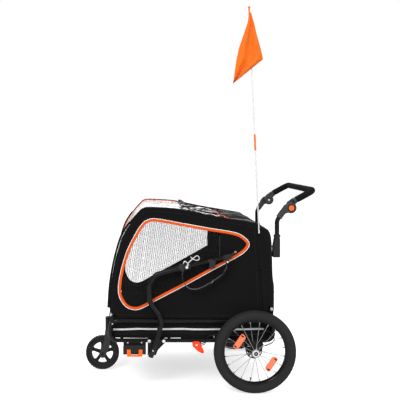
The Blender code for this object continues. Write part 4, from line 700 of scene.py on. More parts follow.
def make_wheel(label, side):
    body = f"wheel_{label}"
    place = Matrix.Translation(at(0, WHEEL_R, side * WHEEL_Y))
    tyre = Mesh()
    tyre.spin(tyre_section(), 112, place=place)
    for i in range(56):
        angle = math.tau * i / 56
        turn = place @ Matrix.Rotation(-angle, 4, "Y")
        for hand in (1, -1):
            tread = [(0.1936, 0.015), (0.1972, 0.0103), (0.199, 0.005)]
            points = [Vector((r, hand * y, 0.0016 * k)) for k, (r, y) in enumerate(tread)]
            tyre.sweep([turn @ p for p in points], 0.0011, 6, flat=0.55)
    tyre.build(f"tyre_with_tread_{label}", [tyre_rubber], body, hides=[f"tyre_{label}"])

    rim = Mesh()
    section = [(0.156, 0.0138), (0.153, 0.0142), (0.1512, 0.0132), (0.149, 0.0105), (RIM_IN, 0.007)]
    section += [(RIM_IN - 0.0004, 0.0), (RIM_IN, -0.007), (0.149, -0.0105), (0.1512, -0.0132)]
    section += [(0.153, -0.0142), (0.156, -0.0138), (0.1535, -0.0105), (0.1515, 0.0), (0.1535, 0.0105)]
    rim.spin(section, 112, place=place)
    for i in range(SPOKES):
        angle = math.tau * (i + 0.5) / SPOKES
        out = Vector((math.cos(angle), 0, math.sin(angle)))
        hand = 1 if i % 2 else -1
        head = out * 0.0178 + Vector((0, hand * (FLANGE_AT + 0.0036), 0))
        elbow = out * 0.019 + Vector((0, hand * (FLANGE_AT + 0.0014), 0))
        leave = out * 0.0225 + Vector((0, hand * (FLANGE_AT - 0.0008), 0))
        end = out * RIM_IN + Vector((0, hand * 0.003, 0))
        start = out * 0.0178 + Vector((0, hand * (FLANGE_AT - 0.0026), 0))
        line = [start, head.lerp(start, 0.3), elbow, leave, leave.lerp(end, 0.5), end]
        line = rounded(line, 0.002, 5)
        rim.sweep([place @ p for p in line], 0.00115, 8, slot=1)
        knob = head + Vector((0, hand * 0.0002, 0))
        rim.sweep([place @ (knob - Vector((0, hand * 0.0012, 0))), place @ knob], 0.0021, 10, slot=1)
        back = (leave - end).normalized()
        nipple = [end - back * 0.001, end + back * 0.0045, end + back * 0.0125]
        rim.sweep([place @ p for p in nipple], [0.003, 0.0024, 0.0019], 10, slot=1)
        washer = out * (RIM_IN - 0.0004) + Vector((0, hand * 0.003, 0))
        rim.sweep([place @ washer, place @ (washer - out * 0.0012)], 0.004, 14)
        rim.sweep([place @ washer, place @ (washer - out * 0.0009)], 0.0034, 12, slot=1)
    angle = math.radians(-98.9)
    out = Vector((math.cos(angle), 0, math.sin(angle)))
    stem = [RIM_IN + 0.001, RIM_IN - 0.002, RIM_IN - 0.002, RIM_IN - 0.012, RIM_IN - 0.0122, RIM_IN - 0.021]
    radii = [0.0055, 0.0055, 0.003, 0.0028, 0.0042, 0.0036]
    rim.sweep([place @ (out * r) for r in stem], radii, 18, slot=2)
    rim.build(f"rim_with_spokes_{label}", [black_paint, steel_wire, cable_rubber], body, hides=[f"rim_{label}"])

    hub = Mesh()
    shell = [(0.0062, -0.027), (0.0235, -0.027), (0.0235, -0.023), (0.017, -0.023), (0.015, -0.0226)]
    for lean in (-1, 1):
        middle = lean * FLANGE_AT
        shell += [(0.0205, middle - 0.0015), (0.021, middle), (0.0205, middle + 0.0015)]
        shell += [(0.015, middle + 0.0024), (0.0128, middle + 0.006 * (1 if lean < 0 else 0.3))]
        if lean < 0:
            shell += [(0.0122, 0.0), (0.0128, 0.014), (0.015, 0.0176)]
    shell += [(0.013, 0.025), (0.0124, 0.027), (0.0062, 0.027)]
    hub.spin(sided(shell, side), 64, place=place)
    pins = [ring_points(middle, 0.005, 18) for middle in ring_points((0, 0), PIN_REACH, 8, PIN_ANGLE)]
    brake = place @ Matrix.Translation((0, -side * 0.025, 0))
    hub.plate(ring_points((0, 0), 0.041, 72), 0.004, 0, brake, 0.0008, [ring_points((0, 0), 0.0225, 48), *pins])
    for i in range(16):
        angle = math.tau * i / 16
        rib = place @ Matrix.Rotation(-angle, 4, "Y")
        path = [rib @ Vector((0.0126, y, 0)) for y in (-0.015, -0.006, 0.006, 0.015)]
        hub.sweep(path, [0.0006, 0.0012, 0.0012, 0.0006], 6)
    hub.build(f"hub_shell_{label}", [black_plastic, grey_plastic, cable_rubber], body, hides=[f"hub_{label}"])

    for end, degrees in (("front", 145), ("rear", -35)):
        angle = math.radians(degrees)
        out = Vector((math.cos(angle), 0, math.sin(angle)))
        low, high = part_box(f"reflector_{label}_{end}")
        middle = (low[1] + high[1]) / 2
        frame_of = Matrix.Translation(at(0.094 * out.x, WHEEL_R + 0.094 * out.z, middle))
        frame_of = frame_of @ Matrix.Rotation(math.pi / 2 - angle, 4, "Y")
        block = Mesh()
        outline = soft_edge(((-0.0345, -0.015), (0.0345, -0.015), (0.043, 0.013), (-0.043, 0.013)), 0.0115, 7)
        block.plate(outline, 0.0036, 0, frame_of @ Matrix.Translation((0, -side * 0.001, 0)), 0.0006)
        rim_line = [Vector((x * 0.965, side * 0.0012, z * 0.93)) for x, z in outline]
        block.sweep([frame_of @ p for p in rim_line], 0.0011, 8, closed=True)
        inner = [(x * 0.9, z * 0.82) for x, z in outline]
        block.plate(inner, 0.0012, 0, frame_of @ Matrix.Translation((0, side * 0.0012, 0)), 0.0003)
        for step in (-0.022, 0.0, 0.022):
            bar = [Vector((step, side * 0.0019, -0.0108)), Vector((step, side * 0.0019, 0.0104))]
            block.sweep([frame_of @ p for p in bar], 0.0007, 6)
        for step in (-0.03, 0.03):
            block.block((step - 0.004, -0.0025, -0.004), (step + 0.004, 0.0008, 0.01), 1, frame_of, 0.0006)
        block.build(
            f"reflector_block_{label}_{end}", [amber, cable_rubber], body, hides=[f"reflector_{label}_{end}"],
        )

    cap = Mesh()
    profile = [(0, 0.0292), (0.005, 0.0292), (0.0062, 0.0298), (0.0082, 0.033), (0.0115, 0.0333)]
    profile += [(0.015, 0.0327), (0.0164, 0.031), (0.0165, 0.0275), (0, 0.0275)]
    cap.disc(sided(profile, side), 56, 0, place)
    for i in range(6):
        angle = math.tau * i / 6
        edge = [Vector((0.0052, side * 0.0294, 0)), Vector((0.0052, side * 0.0312, 0))]
        turn = place @ Matrix.Rotation(-angle, 4, "Y")
        cap.sweep([turn @ p for p in edge], 0.0012, 6)
    cap.disc(sided([(0, 0.0336), (0.01, 0.0336), (0.0108, 0.033), (0, 0.033)], side), 40, 1, place)
    cap.disc(sided([(0, 0.0342), (0.0034, 0.0342), (0.004, 0.0336), (0, 0.0336)], side), 6, 2, place)
    cap.ring(0.0166, 0.0196, side * 0.0273, side * 0.028, 48, 2, place)
    cap.sweep([at(0, WHEEL_R, side * 0.262), at(0, WHEEL_R, side * 0.353)], 0.0059, 20)
    cap.build(f"axle_bolt_{label}", [silver, cable_rubber, steel_wire], "chassis", hides=[f"wheel_bolt_{label}"])


for label, side in SIDES:
    make_wheel(label, side)


# Frame

FRAME_FRONT = -0.705
FRAME_REAR = 0.099
UPPER_RAIL = 0.338
LOWER_RAIL = 0.241
MID_RAIL = (UPPER_RAIL + LOWER_RAIL) / 2
TUBE_R = 0.01
RAIL_BEND = 0.042


def weld(mesh, centre, radius, bead=0.0016):
    """A rippled weld bead round the end of a cross tube."""
    segments = 40
    axis = Vector((0, 1, 0))
    across = axis.orthogonal().normalized()
    other = axis.cross(across)
    path = []
    radii = []
    for i in range(segments):
        angle = math.tau * i / segments
        path.append(Vector(centre) + (across * math.cos(angle) + other * math.sin(angle)) * radius)
        radii.append(bead * (1.12 if i % 2 else 0.88))
    mesh.sweep(path, radii, 8, closed=True)


def make_frame():
    corners = (
        (FRAME_FRONT, UPPER_RAIL), (FRAME_REAR, UPPER_RAIL), (FRAME_REAR, LOWER_RAIL), (FRAME_FRONT, LOWER_RAIL),
    )
    for label, side in SIDES:
        rails = Mesh()
        path = rounded([at(x, z, side * FRAME_Y) for x, z in corners], RAIL_BEND, 16, closed=True)
        rails.sweep(path, TUBE_R, 28, closed=True)
        for x, z in ((FRAME_FRONT, MID_RAIL), (FRAME_REAR, MID_RAIL)):
            weld(rails, at(x, z, side * (FRAME_Y - 0.0095)), 0.0096)
        if side < 0:
            lug = [(-0.301, 0.238), (-0.257, 0.238), (-0.257, 0.22), (-0.262, 0.215), (-0.293, 0.215)]
            rails.plate(lug, 0.01, 0, moved(0, -0.285), 0.0008)
            screw_head(rails, -0.281, 0.226, -1, 0.3045, slot=1)
            rails.sweep([at(-0.281, 0.226, -0.284), at(-0.281, 0.226, -0.3046)], 0.003, 16, slot=1)
        rails.build(f"rails_{label}", [black_paint, silver], "chassis", hides=[f"side_frame_{label}"])
    for name, x, z in (("rear_cross_tube", FRAME_REAR, MID_RAIL), ("floor_tube", -0.18, 0.2482)):
        bar = Mesh()
        bar.sweep([at(x, z, -0.2697), at(x, z, 0.2697)], TUBE_R - 0.0002, 28)
        if name == "rear_cross_tube":
            for y in (-0.18, 0.18):
                bar.sweep([at(x, z, y - 0.012), at(x, z, y + 0.012)], TUBE_R + 0.0012, 28, slot=1)
        bar.build(f"{name}_bar", [black_paint, cable_rubber], "chassis", hides=[name])

    axle = Mesh()
    axle.sweep([at(0, WHEEL_R, -0.276), at(0, WHEEL_R, 0.276)], 0.011, 32)
    top = LOWER_RAIL - TUBE_R - 0.0003
    px, pz = BRAKE_PIN
    outline = [(-0.05, top), (0.05, top), (0.046, pz - 0.006), (0.03, 0.184), (0, 0.175)]
    outline = soft_edge([*outline, (-0.03, 0.184), (-0.046, 0.212)], 0.008, 5)
    hole = ring_points((-0.026, 0.214), 0.006, 20)
    bore = ring_points((px, pz), 0.0048, 20)
    for label, side in SIDES:
        axle.plate(outline, 0.0098, 0, moved(0, side * FRAME_Y), 0.0008, [hole, bore])
        weld(axle, at(0, WHEEL_R, side * 0.2748), 0.0122)
        axle.ring(0.0048, 0.0066, side * 0.283, side * 0.2912, 28, 0, moved(px, 0, pz))
        for x in (-0.046, 0.0, 0.046):
            seam = [at(x - 0.002 + 0.004 * k, top + 0.0002, side * 0.2852) for k in range(2)]
            axle.sweep(seam, 0.0012, 8)
    axle.build("axle_beam", [black_paint], "chassis", hides=["rear_axle"])

    socket = Mesh()
    axis_x = -0.734
    profile = [(0.0094, 0.282), (0.0128, 0.282), (0.0138, 0.2812), (0.014, 0.278), (0.014, 0.218)]
    profile += [(0.0138, 0.2148), (0.0128, 0.214), (0.0094, 0.214)]
    upright = Matrix.Translation(at(axis_x, 0)) @ Matrix.Rotation(math.pi / 2, 4, "X")
    socket.spin(profile, 48, place=upright)
    socket.ring(0.0141, 0.0146, 0.275, 0.269, 48, place=upright)
    low, high = (axis_x + 0.0122, -0.0198, MID_RAIL - 0.0176), (FRAME_FRONT - 0.002, 0.0198, MID_RAIL + 0.0086)
    socket.block(low, high, 0, moved(), 0.002)
    socket.sweep([at(FRAME_FRONT, MID_RAIL, -0.2695), at(FRAME_FRONT, MID_RAIL, 0.2695)], TUBE_R - 0.0002, 28)
    for y in (-0.0202, 0.0202):
        weld(socket, at(FRAME_FRONT, MID_RAIL, y), 0.01, 0.0013)
    socket.build("caster_head", [black_paint], "chassis", hides=["caster_socket"])

    for label, side in SIDES:
        pin = Mesh()
        tip = 0.2965
        profile = [(0, tip), (0.0028, tip), (0.0038, tip - 0.0014), (0.0039, tip - 0.03), (0, tip - 0.031)]
        place = moved(px, 0, pz)
        pin.disc(sided(profile, side), 24, 0, place)
        pin.ring(0.004, 0.0041, side * (tip - 0.016), side * (tip - 0.02), 24, place=place)
        pin.build(f"brake_pin_turned_{label}", [silver], f"brake_pin_{label}", hides=[f"brake_pin_{label}"])


make_frame()


# Front wheel


def make_caster():
    cx, cz = -0.763, 0.0905
    inside, outside = 0.021, 0.027
    fork = Mesh()
    fork.sweep([at(-0.734, 0.187), at(-0.734, 0.28), at(-0.734, 0.2815)], [0.0089, 0.0089, 0.0078], 32)
    blade = [
        (cx + 0.002, cz - 0.006, 0.0176), (cx + 0.008, cz + 0.012, 0.0186), (cx + 0.02, cz + 0.038, 0.0192),
        (cx + 0.0275, cz + 0.072, 0.0165), (-0.7345, 0.194, 0.0155),
    ]
    left, right = [], []
    line = smooth_line([Vector((x, 0, z)) for x, z, w in blade], 6)
    widths = smooth_line([Vector((w, 0, 0)) for x, z, w in blade], 6)
    for i, (p, w) in enumerate(zip(line, widths)):
        ahead = (line[min(i + 1, len(line) - 1)] - line[max(i - 1, 0)]).normalized()
        side = Vector((-ahead.z, 0, ahead.x))
        left.append((p.x + side.x * w.x, p.z + side.z * w.x))
        right.append((p.x - side.x * w.x, p.z - side.z * w.x))
    foot = [
        (cx + 0.002 + 0.0176 * math.cos(a), cz - 0.006 + 0.0176 * math.sin(a))
        for a in [math.radians(-20 - 140 * k / 10) for k in range(11)]
    ]
    outline = right[::-1] + foot + left
    for side in (-1, 1):
        fork.plate(outline, outside - inside - 0.0002, 0, moved(0, side * 0.024), 0.0012)
        groove = [at(p.x, p.z, side * 0.0271) for p in line[3:-3]]
        fork.sweep(groove, 0.0016, 8, flat=0.6)
        fork.ring(0.0085, 0.0105, side * 0.0268, side * 0.0278, 32, place=moved(cx, 0, cz))
    crown = [
        (-0.748, 0.188), (-0.722, 0.188), (-0.7205, 0.192), (-0.7205, 0.2105), (-0.7225, 0.2128), (-0.745, 0.2128),
        (-0.749, 0.2085),
    ]
    fork.plate(crown, 0.0526, 0, moved(0, 0), 0.0014)
    fork.build("caster_fork_moulding", [grey_plastic], "caster", hides=["caster_fork"])

    axle = Mesh()
    for side in (-1, 1):
        screw_head(axle, cx, cz, side, 0.0273, radius=0.007, recess=0.0028)
    axle.sweep([at(cx, cz, -0.0274), at(cx, cz, 0.0274)], 0.0039, 20)
    axle.build("caster_bolt", [black_paint], "caster", hides=["front_axle"])

    place = moved(cx, 0, cz)
    wheel = Mesh()
    rim = [(0.0764, 0.0108), (0.074, 0.0118), (0.0722, 0.0118), (0.07, 0.0096), (0.064, 0.009), (0.06, 0.0104)]
    rim += [(0.0572, 0.0098), (0.056, 0.006), (0.0556, 0.0)]
    rim += [(r, -y) for r, y in rim[-2::-1]]
    wheel.spin(rim, 80, place=place)
    hub = [(0.0044, 0.0185), (0.0105, 0.0185), (0.0125, 0.0175), (0.015, 0.011), (0.0165, 0.006), (0.0165, -0.006)]
    hub += [(0.015, -0.011), (0.0125, -0.0175), (0.0105, -0.0185), (0.0044, -0.0185)]
    wheel.spin(hub, 48, place=place)
    for i in range(5):
        turn = place @ Matrix.Rotation(-(math.tau * i / 5 + math.radians(18)), 4, "Y")
        shape = [(0.014, 0.0094), (0.03, 0.008), (0.045, 0.0078), (0.053, 0.0098), (0.058, 0.015)]
        outline = shape + [(r, -w) for r, w in shape[::-1]]
        edge = [(0.027, 0.003), (0.038, 0.0026), (0.047, 0.0028)]
        slot_hole = [*edge, (0.0505, 0.0), *[(r, -w) for r, w in edge[::-1]], (0.0245, 0.0)]
        wheel.plate(outline, 0.013, 0, turn, 0.0014, [slot_hole])
        wheel.plate([(r, w * 0.9) for r, w in slot_hole][::-1], 0.005, 0, turn)
    wheel.build("caster_wheel_moulding", [black_plastic], "front_wheel", hides=["front_wheel"])

    tyre = Mesh()
    section = [(0.0768, 0.0105), (0.079, 0.0128), (0.083, 0.0146), (0.0862, 0.0143), (0.088, 0.0118), (0.0884, 0.0)]
    section += [(0.088, -0.0118), (0.0862, -0.0143), (0.083, -0.0146), (0.079, -0.0128), (0.0768, -0.0105)]
    tyre.spin(section, 96, place=place)
    for i in range(36):
        angle = math.tau * i / 36
        for hand in (-1, 1):
            turn = place @ Matrix.Rotation(-(angle + hand * math.tau / 144), 4, "Y")
            block = [(-0.0052, 0.0871), (0.0052, 0.0871), (0.0046, 0.0902), (-0.0046, 0.0902)]
            points = []
            for y in (0.0012, 0.0128):
                drop = 0.0 if y < 0.005 else 0.0012
                for x, z in block:
                    points.append(turn @ Vector((z - (drop if z > 0.089 else 0), hand * y, x)))
            faces = [(0, 1, 2, 3), (7, 6, 5, 4), (0, 4, 5, 1), (1, 5, 6, 2), (2, 6, 7, 3), (3, 7, 4, 0)]
            tyre.add(points, faces)
    tyre.build("caster_tyre_with_blocks", [tyre_rubber], "front_wheel", hides=["front_tyre"])


make_caster()


# Cabin

ROOF_LINE = (
    (-0.7117, 0.402),
    (-0.7028, 0.5218),
    (-0.6807, 0.6415),
    (-0.6477, 0.7499),
    (-0.6053, 0.8189),
    (-0.5624, 0.8696),
    (-0.5378, 0.889),
    (-0.4949, 0.8923),
    (-0.3604, 0.8829),
    (-0.2077, 0.8524),
    (-0.0204, 0.8204),
    (0.018, 0.814),
    (0.0308, 0.806),
)
REAR_LINE = (
    (0.0308, 0.806),
    (0.0648, 0.79),
    (0.083, 0.7598),
    (0.0904, 0.6908),
    (0.093, 0.5578),
    (0.1, 0.5036),
    (0.1027, 0.407),
    (0.1003, 0.38),
    (0.09, 0.3515),
)
WINDOW = (
    (-0.5208, 0.8272),
    (-0.4787, 0.8337),
    (-0.3506, 0.812),
    (-0.2234, 0.7893),
    (-0.1141, 0.7721),
    (-0.0623, 0.7548),
    (-0.0283, 0.7203),
    (-0.045, 0.6873),
    (-0.088, 0.6573),
    (-0.1894, 0.6021),
    (-0.3422, 0.5173),
    (-0.4787, 0.4454),
    (-0.5378, 0.4114),
    (-0.5802, 0.3976),
    (-0.6225, 0.4114),
    (-0.6521, 0.4543),
    (-0.658, 0.5045),
    (-0.6437, 0.5898),
    (-0.6141, 0.6829),
    (-0.5757, 0.7598),
    (-0.5462, 0.8061),
)
NET_REAR = -0.169
PANEL_BOTTOM = 0.351
POLE_TILT = math.radians(-2.53)
SEAM_HALF = 0.0065


def pole_x(z):
    return 0.0331 + (z - 0.6) * math.tan(POLE_TILT)


def taper(x):
    """How much less than the cabin's full half width a side is at a place."""
    return TAPER * (TAPER_FROM - x)


def on_side(x, z, side, out):
    """A point of a side wall, moved outwards."""
    return at(x, z, side * (CABIN_W - taper(x) + out))


def soften(made):
    """Gives a cloth piece a mesh of its own."""
    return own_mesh(made)


def panel_outline():
    """Side panel edge, inside the roof sheet and in front of the flag sleeve."""
    under_roof = inward(ROOF_LINE, 0.0023)[:-1]
    top_z = under_roof[-1].y
    edge = [(p.x, p.y) for p in under_roof[:-1]]
    edge.append((pole_x(top_z) - SEAM_HALF, top_z))
    edge.append((pole_x(PANEL_BOTTOM) - SEAM_HALF, PANEL_BOTTOM))
    edge.append((-0.7015 + 0.034, PANEL_BOTTOM))
    return edge


def window_loop(per_span=5):
    return [(p.x, p.z) for p in smooth_loop([Vector((x, 0, z)) for x, z in WINDOW], per_span)]


def cut_at(loop, x_most):
    """A closed loop kept only up to a line at one x."""
    kept = []
    for (x, z), (nx, nz) in zip(loop, loop[1:] + loop[:1]):
        if x <= x_most:
            kept.append((x, z))
        if (x <= x_most) != (nx <= x_most):
            share = (x_most - x) / (nx - x)
            kept.append((x_most, z + share * (nz - z)))
    return kept


def inside(point, outline):
    found = False
    x, z = point
    for (x1, z1), (x2, z2) in zip(outline, outline[1:] + outline[:1]):
        if (z1 > z) != (z2 > z) and x < (x2 - x1) * (z - z1) / (z2 - z1) + x1:
            found = not found
    return found


def distance_to(point, outline):
    best = 9.0
    px, pz = point
    for (x1, z1), (x2, z2) in zip(outline, outline[1:] + outline[:1]):
        dx, dz = x2 - x1, z2 - z1
        length = dx * dx + dz * dz
        share = 0.0 if length == 0 else max(0.0, min(1.0, ((px - x1) * dx + (pz - z1) * dz) / length))
        best = min(best, math.hypot(px - x1 - share * dx, pz - z1 - share * dz))
    return best


def thin(loop, gap):
    """Drops the points of a closed loop that are nearer than a gap to the one before."""
    kept = [loop[0]]
    for p in loop[1:]:
        if math.hypot(p[0] - kept[-1][0], p[1] - kept[-1][1]) > gap:
            kept.append(p)
    return kept


def fill(loop, step):
    """A closed loop with extra points, so that no edge is longer than a step."""
    made = []
    for (x1, z1), (x2, z2) in zip(loop, loop[1:] + loop[:1]):
        count = max(1, math.ceil(math.hypot(x2 - x1, z2 - z1) / step))
        made += [(x1 + (x2 - x1) * k / count, z1 + (z2 - z1) * k / count) for k in range(count)]
    return made


def flat_mesh(outline, holes, step, bands=()):
    """Triangles that fill an outline with holes; bands are closed loops whose points are kept."""
    outline = fill(thin(outline, 0.0004), step)
    holes = [fill(thin(hole, 0.0004), step) for hole in holes]
    points = []
    edges = []
    for loop in [outline, *holes]:
        first = len(points)
        points += [Vector(p) for p in loop]
        edges += [(first + k, first + (k + 1) % len(loop)) for k in range(len(loop))]
    for band in bands:
        for p in fill(thin(band, 0.0008), step):
            if inside(p, outline) and not any(inside(p, hole) for hole in holes):
                points.append(Vector(p))
    low_x = min(p[0] for p in outline)
    high_x = max(p[0] for p in outline)
    low_z = min(p[1] for p in outline)
    high_z = max(p[1] for p in outline)
    guard = [*holes, outline]
    columns = int((high_x - low_x) / step) + 1
    rows = int((high_z - low_z) / (step * 0.87)) + 1
    for row in range(rows):
        for column in range(columns):
            p = (low_x + (column + 0.5 * (row % 2)) * step, low_z + row * step * 0.87)
            if not inside(p, outline) or any(inside(p, hole) for hole in holes):
                continue
            if min(distance_to(p, loop) for loop in guard) < step * 0.45:
                continue
            if bands and min(distance_to(p, band) for band in bands) < step * 0.45:
                continue
            points.append(Vector(p))
    found = geometry.delaunay_2d_cdt(points, edges, [], 0, 1e-6)
    verts, triangles = found[0], found[2]
    kept = []
    for triangle in triangles:
        middle = sum((verts[i] for i in triangle), Vector((0, 0))) / len(triangle)
        m = (middle.x, middle.y)
        if inside(m, outline) and not any(inside(m, hole) for hole in holes):
            kept.append(tuple(triangle))
    return [(v.x, v.y) for v in verts], kept


def cloth_sheet(mesh, points, triangles, put, thickness):
    """Both faces and the edge of a sheet; put gives the outer face's point and its normal."""
    outer = []
    inner = []
    for p in points:
        place, normal = put(*p)
        outer.append(place)
        inner.append(place - normal * thickness)
    count = len(points)
    faces = [tuple(t) for t in triangles]
    faces += [tuple(count + i for i in reversed(t)) for t in triangles]
    sides = {}
    for t in triangles:
        for a, b in zip(t, t[1:] + t[:1]):
            sides[(a, b)] = True
    for a, b in sides:
        if (b, a) not in sides:
            faces.append((a, b, count + b, count + a))
    mesh.add(outer + inner, faces)


STITCH, STITCH_GAP, THREAD_R = 0.0034, 0.002, 0.00034


def stitches(mesh, path, normal, slot=0, lift=0.0002):
    """A row of thread stitches along a path; normal is a vector or a function of a point."""
    total = 0.0
    path = even(path, 0.003)
    cursor = 0.0
    for a, b in zip(path, path[1:]):
        span = (b - a).length
        while cursor < total + span:
            start = a.lerp(b, (cursor - total) / span)
            along = (b - a).normalized()
            out = normal(start) if callable(normal) else Vector(normal)
            points = [start - out * 0.0003, start + along * STITCH * 0.2 + out * (lift + THREAD_R)]
            points += [
                start + along * STITCH * 0.8 + out * (lift + THREAD_R), start + along * STITCH - out * 0.0003,
            ]
            mesh.sweep(points, THREAD_R, 5, slot=slot)
            cursor += STITCH + STITCH_GAP
        total += span


def billow(x, z, seed, edge):
    """How far a side wall is drawn in at a place: tension folds and a slack middle, none at its seams."""
    ease = min(1.0, edge / 0.05)
    ease = ease * ease * (3 - 2 * ease)
    slack = 0.0035 * ease
    folds = 0.0014 * math.sin(34 * x + 21 * z + 3.0 * noise.noise(Vector((3 * x, 3 * z, seed))))
    ripple = 0.0016 * noise.noise(Vector((9 * x, 14 * z, seed + 5.0)))
    return slack + ease * (0.0022 + folds + ripple)


def side_wall(side):
    """The place and outward normal on a side wall, for a point and how far it lies outside the wall."""

    def put(x, z, out=0.0, drawn=0.0):
        y = CABIN_W - taper(x) + out - drawn
        return at(x, z, side * y), Vector((0, side, 0))

    return put


def make_side_panel(label, side):
    outline = panel_outline()
    outline = soft_edge(outline, 0.012, 4)
    loop = window_loop(4)
    hole = cut_at(inset(loop, 0.007), NET_REAR)
    hem = inset(outline, 0.017)
    hem_in = inset(outline, 0.0182)
    ring = inset(loop, -0.013)
    ring_out = inset(loop, -0.0142)
    points, triangles = flat_mesh(outline, [hole], 0.013, [hem, hem_in, ring, ring_out])
    wall = side_wall(side)
    seed = 2.0 + side

    def put(x, z):
        edge = distance_to((x, z), outline)
        opening = distance_to((x, z), loop)
        within = inside((x, z), loop)
        drawn = billow(x, z, seed, min(edge, opening))
        raised = 0.0009 if edge < 0.0175 or (opening < 0.0135 and not within) else 0.0
        return wall(x, z, raised, drawn)

    panel = Mesh()
    cloth_sheet(panel, points, triangles, put, 0.0011)
    out = Vector((0, side, 0))
    for offset in (0.0135, 0.015):
        line = [(p.x, p.y) for p in inward(outline, offset, closed=True)]
        path = [on_side(x, z, side, -0.0004) for x, z in line]
        stitches(panel, path + path[:1], out, slot=1)
    edge_tape = inset(outline, 0.001)
    tape = [on_side(x, z, side, -0.0003) for x, z in edge_tape]
    panel.sweep(even(tape + tape[:1], 0.008), 0.0016, 8)
    soften(panel.build(f"side_wall_{label}", [cabin_cloth, net_cloth], "chassis", hides=[f"side_panel_{label}"]))

    trim = Mesh()
    level = 0.0012
    smooth = window_loop(7)
    rise = Vector((0, side, 0))
    for shift, width, flat, slot in ((0.0012, 0.0068, 0.22, 0), (-0.0066, 0.0015, 0.6, 1)):
        line = [(p.x, p.y) for p in inward(smooth, shift, closed=True)]
        run = [at(x, z, side * (CABIN_W - taper(x) + level + (0.0006 if slot else 0.0))) for x, z in line]
        trim.sweep(run, width, 14, closed=True, slot=slot, flat=flat, up=rise)
    for shift in (0.007, -0.0035):
        line = [(p.x, p.y) for p in inward(smooth, shift, closed=True)]
        run = [at(x, z, side * (CABIN_W - taper(x) + level + 0.0008)) for x, z in line]
        stitches(trim, run + run[:1], out, slot=2, lift=0.0)
    soften(trim.build(f"window_piping_{label}", [piping_cloth, reflective, cabin_cloth], "chassis"))


def make_window_net(label, side):
    """Net of real strands behind the window: leaning columns with knots, joined by diagonals."""
    loop = window_loop(4)
    edge = cut_at(inset(loop, -0.01), NET_REAR + 0.004)
    net = Mesh()
    pitch_x, pitch_z, lean = 0.01, 0.0066, 0.14
    low_x = min(p[0] for p in edge) - 0.05
    high_x = max(p[0] for p in edge) + 0.05
    low_z = min(p[1] for p in edge)
    high_z = max(p[1] for p in edge)
    columns = int((high_x - low_x) / pitch_x) + 1
    rows = int((high_z - low_z) / pitch_z) + 1

    def crossing(column, row):
        z = low_z + row * pitch_z + (column % 2) * pitch_z / 2
        x = low_x + column * pitch_x + (z - low_z) * lean
        return (x, z) if inside((x, z), edge) else None

    def placed(x, z):
        return on_side(x, z, side, -0.0042)

    for column in range(columns):
        run = []
        for row in range(rows + 1):
            spot = crossing(column, row)
            if spot:
                x, z = spot
                run.append(placed(x, z))
                knot = [placed(x - 0.0017, z - 0.0003), placed(x + 0.0017, z + 0.0003)]
                net.sweep(knot, 0.00085, 5)
                for step in (-1, 0):
                    other = crossing(column + 1, row + step + (column % 2))
                    if other:
                        net.sweep([placed(x, z), placed(*other)], 0.00028, 4, caps=False)
                continue
            if len(run) > 1:
                net.sweep(run, 0.00072, 4, caps=False)
            run = []
        if len(run) > 1:
            net.sweep(run, 0.00072, 4, caps=False)
    bind = [on_side(x, z, side, -0.0038) for x, z in edge]
    net.sweep(even(bind + bind[:1], 0.008), 0.0022, 8, flat=0.5, up=(0, side, 0))
    soften(net.build(f"window_netting_{label}", [net_cloth], "chassis", hides=[f"window_net_{label}"]))


for label, side in SIDES:
    make_side_panel(label, side)
    make_window_net(label, side)


ROOF = even(smooth_line([Vector((x, 0, z)) for x, z in ROOF_LINE], 8), 0.012)
FRONT_HEM = 0.43
ROLL_X = -0.335
SEAM_FAR, SEAM_NEAR = -0.168, -0.126


def roof_up(i):
    ahead = (ROOF[min(i + 1, len(ROOF) - 1)] - ROOF[max(i - 1, 0)]).normalized()
    return Vector((-ahead.z, 0, ahead.x))


def hoop_hold(x, z):
    """0 where a hoop carries the roof and 1 between the hoops."""
    near = min(math.hypot(x + 0.531, z - 0.88), math.hypot(x - 0.02, z - 0.805), math.hypot(x + 0.7, z - 0.52))
    ease = min(1.0, near / 0.16)
    return ease * ease * (3 - 2 * ease)


def roof_surface(i, across, seed=1.0, crease=1.0):
    """A point on the roof: across runs from -1 on the left edge to 1 on the right."""
    p = ROOF[i]
    width = CABIN_W - taper(p.x) - 0.0006
    edge = 1 - abs(across)
    ease = min(1.0, edge / 0.16)
    hold = hoop_hold(p.x, p.z)
    sag = 0.01 * hold * ease * (1 - across * across * 0.5)
    y = across * width
    swell = noise.noise(Vector((7.0 * p.x, 5.0 * y, 6.0 * p.z + seed)))
    fold = noise.noise(Vector((26.0 * p.x + 4.0 * swell, 7.0 * y, 11.0 * p.z - seed)))
    ridge = max(0.0, math.sin(34.0 * y + 9.0 * p.x + 5.0 * swell + seed)) ** 4
    lift = ease * crease * (0.0042 * swell + 0.003 * fold * (0.4 + hold) + 0.0026 * (crease - 1.0) * ridge)
    share = min(1.0, max(0.0, (p.x + 0.17) / (ROOF[-1].x + 0.17)))
    puff = 0.0165 * math.sin(math.pi * share**1.9) * min(1.0, edge / 0.5) if i < len(ROOF) - 1 else 0.0
    return at(p.x, p.z, y) + roof_up(i) * (lift + puff - sag * 0.6 - 0.001)


def roof_strip(name, first, last, look, seed, crease, columns=56, hides=()):
    """One cloth of the roof between two rows of its line."""
    sheet = Mesh()
    outer, inner = [], []
    for i in range(first, last + 1):
        row = [roof_surface(i, across, seed, crease) for across in spread(-1, 1, columns)]
        outer += row
        inner += [p - roof_up(i) * 0.0009 for p in row]
    sheet.cloth(outer, inner, columns + 1)
    soften(sheet.build(name, [look], "chassis", hides=hides))


def row_at(x, z=None):
    """Index of the roof line's point nearest to a place."""
    return min(range(len(ROOF)), key=lambda i: abs(ROOF[i].x - x) + (0 if z is None else abs(ROOF[i].z - z)))


def roof_line(i, lift):
    return [roof_surface(i, -1 + 2 * k / 48) + roof_up(i) * lift for k in range(49)]


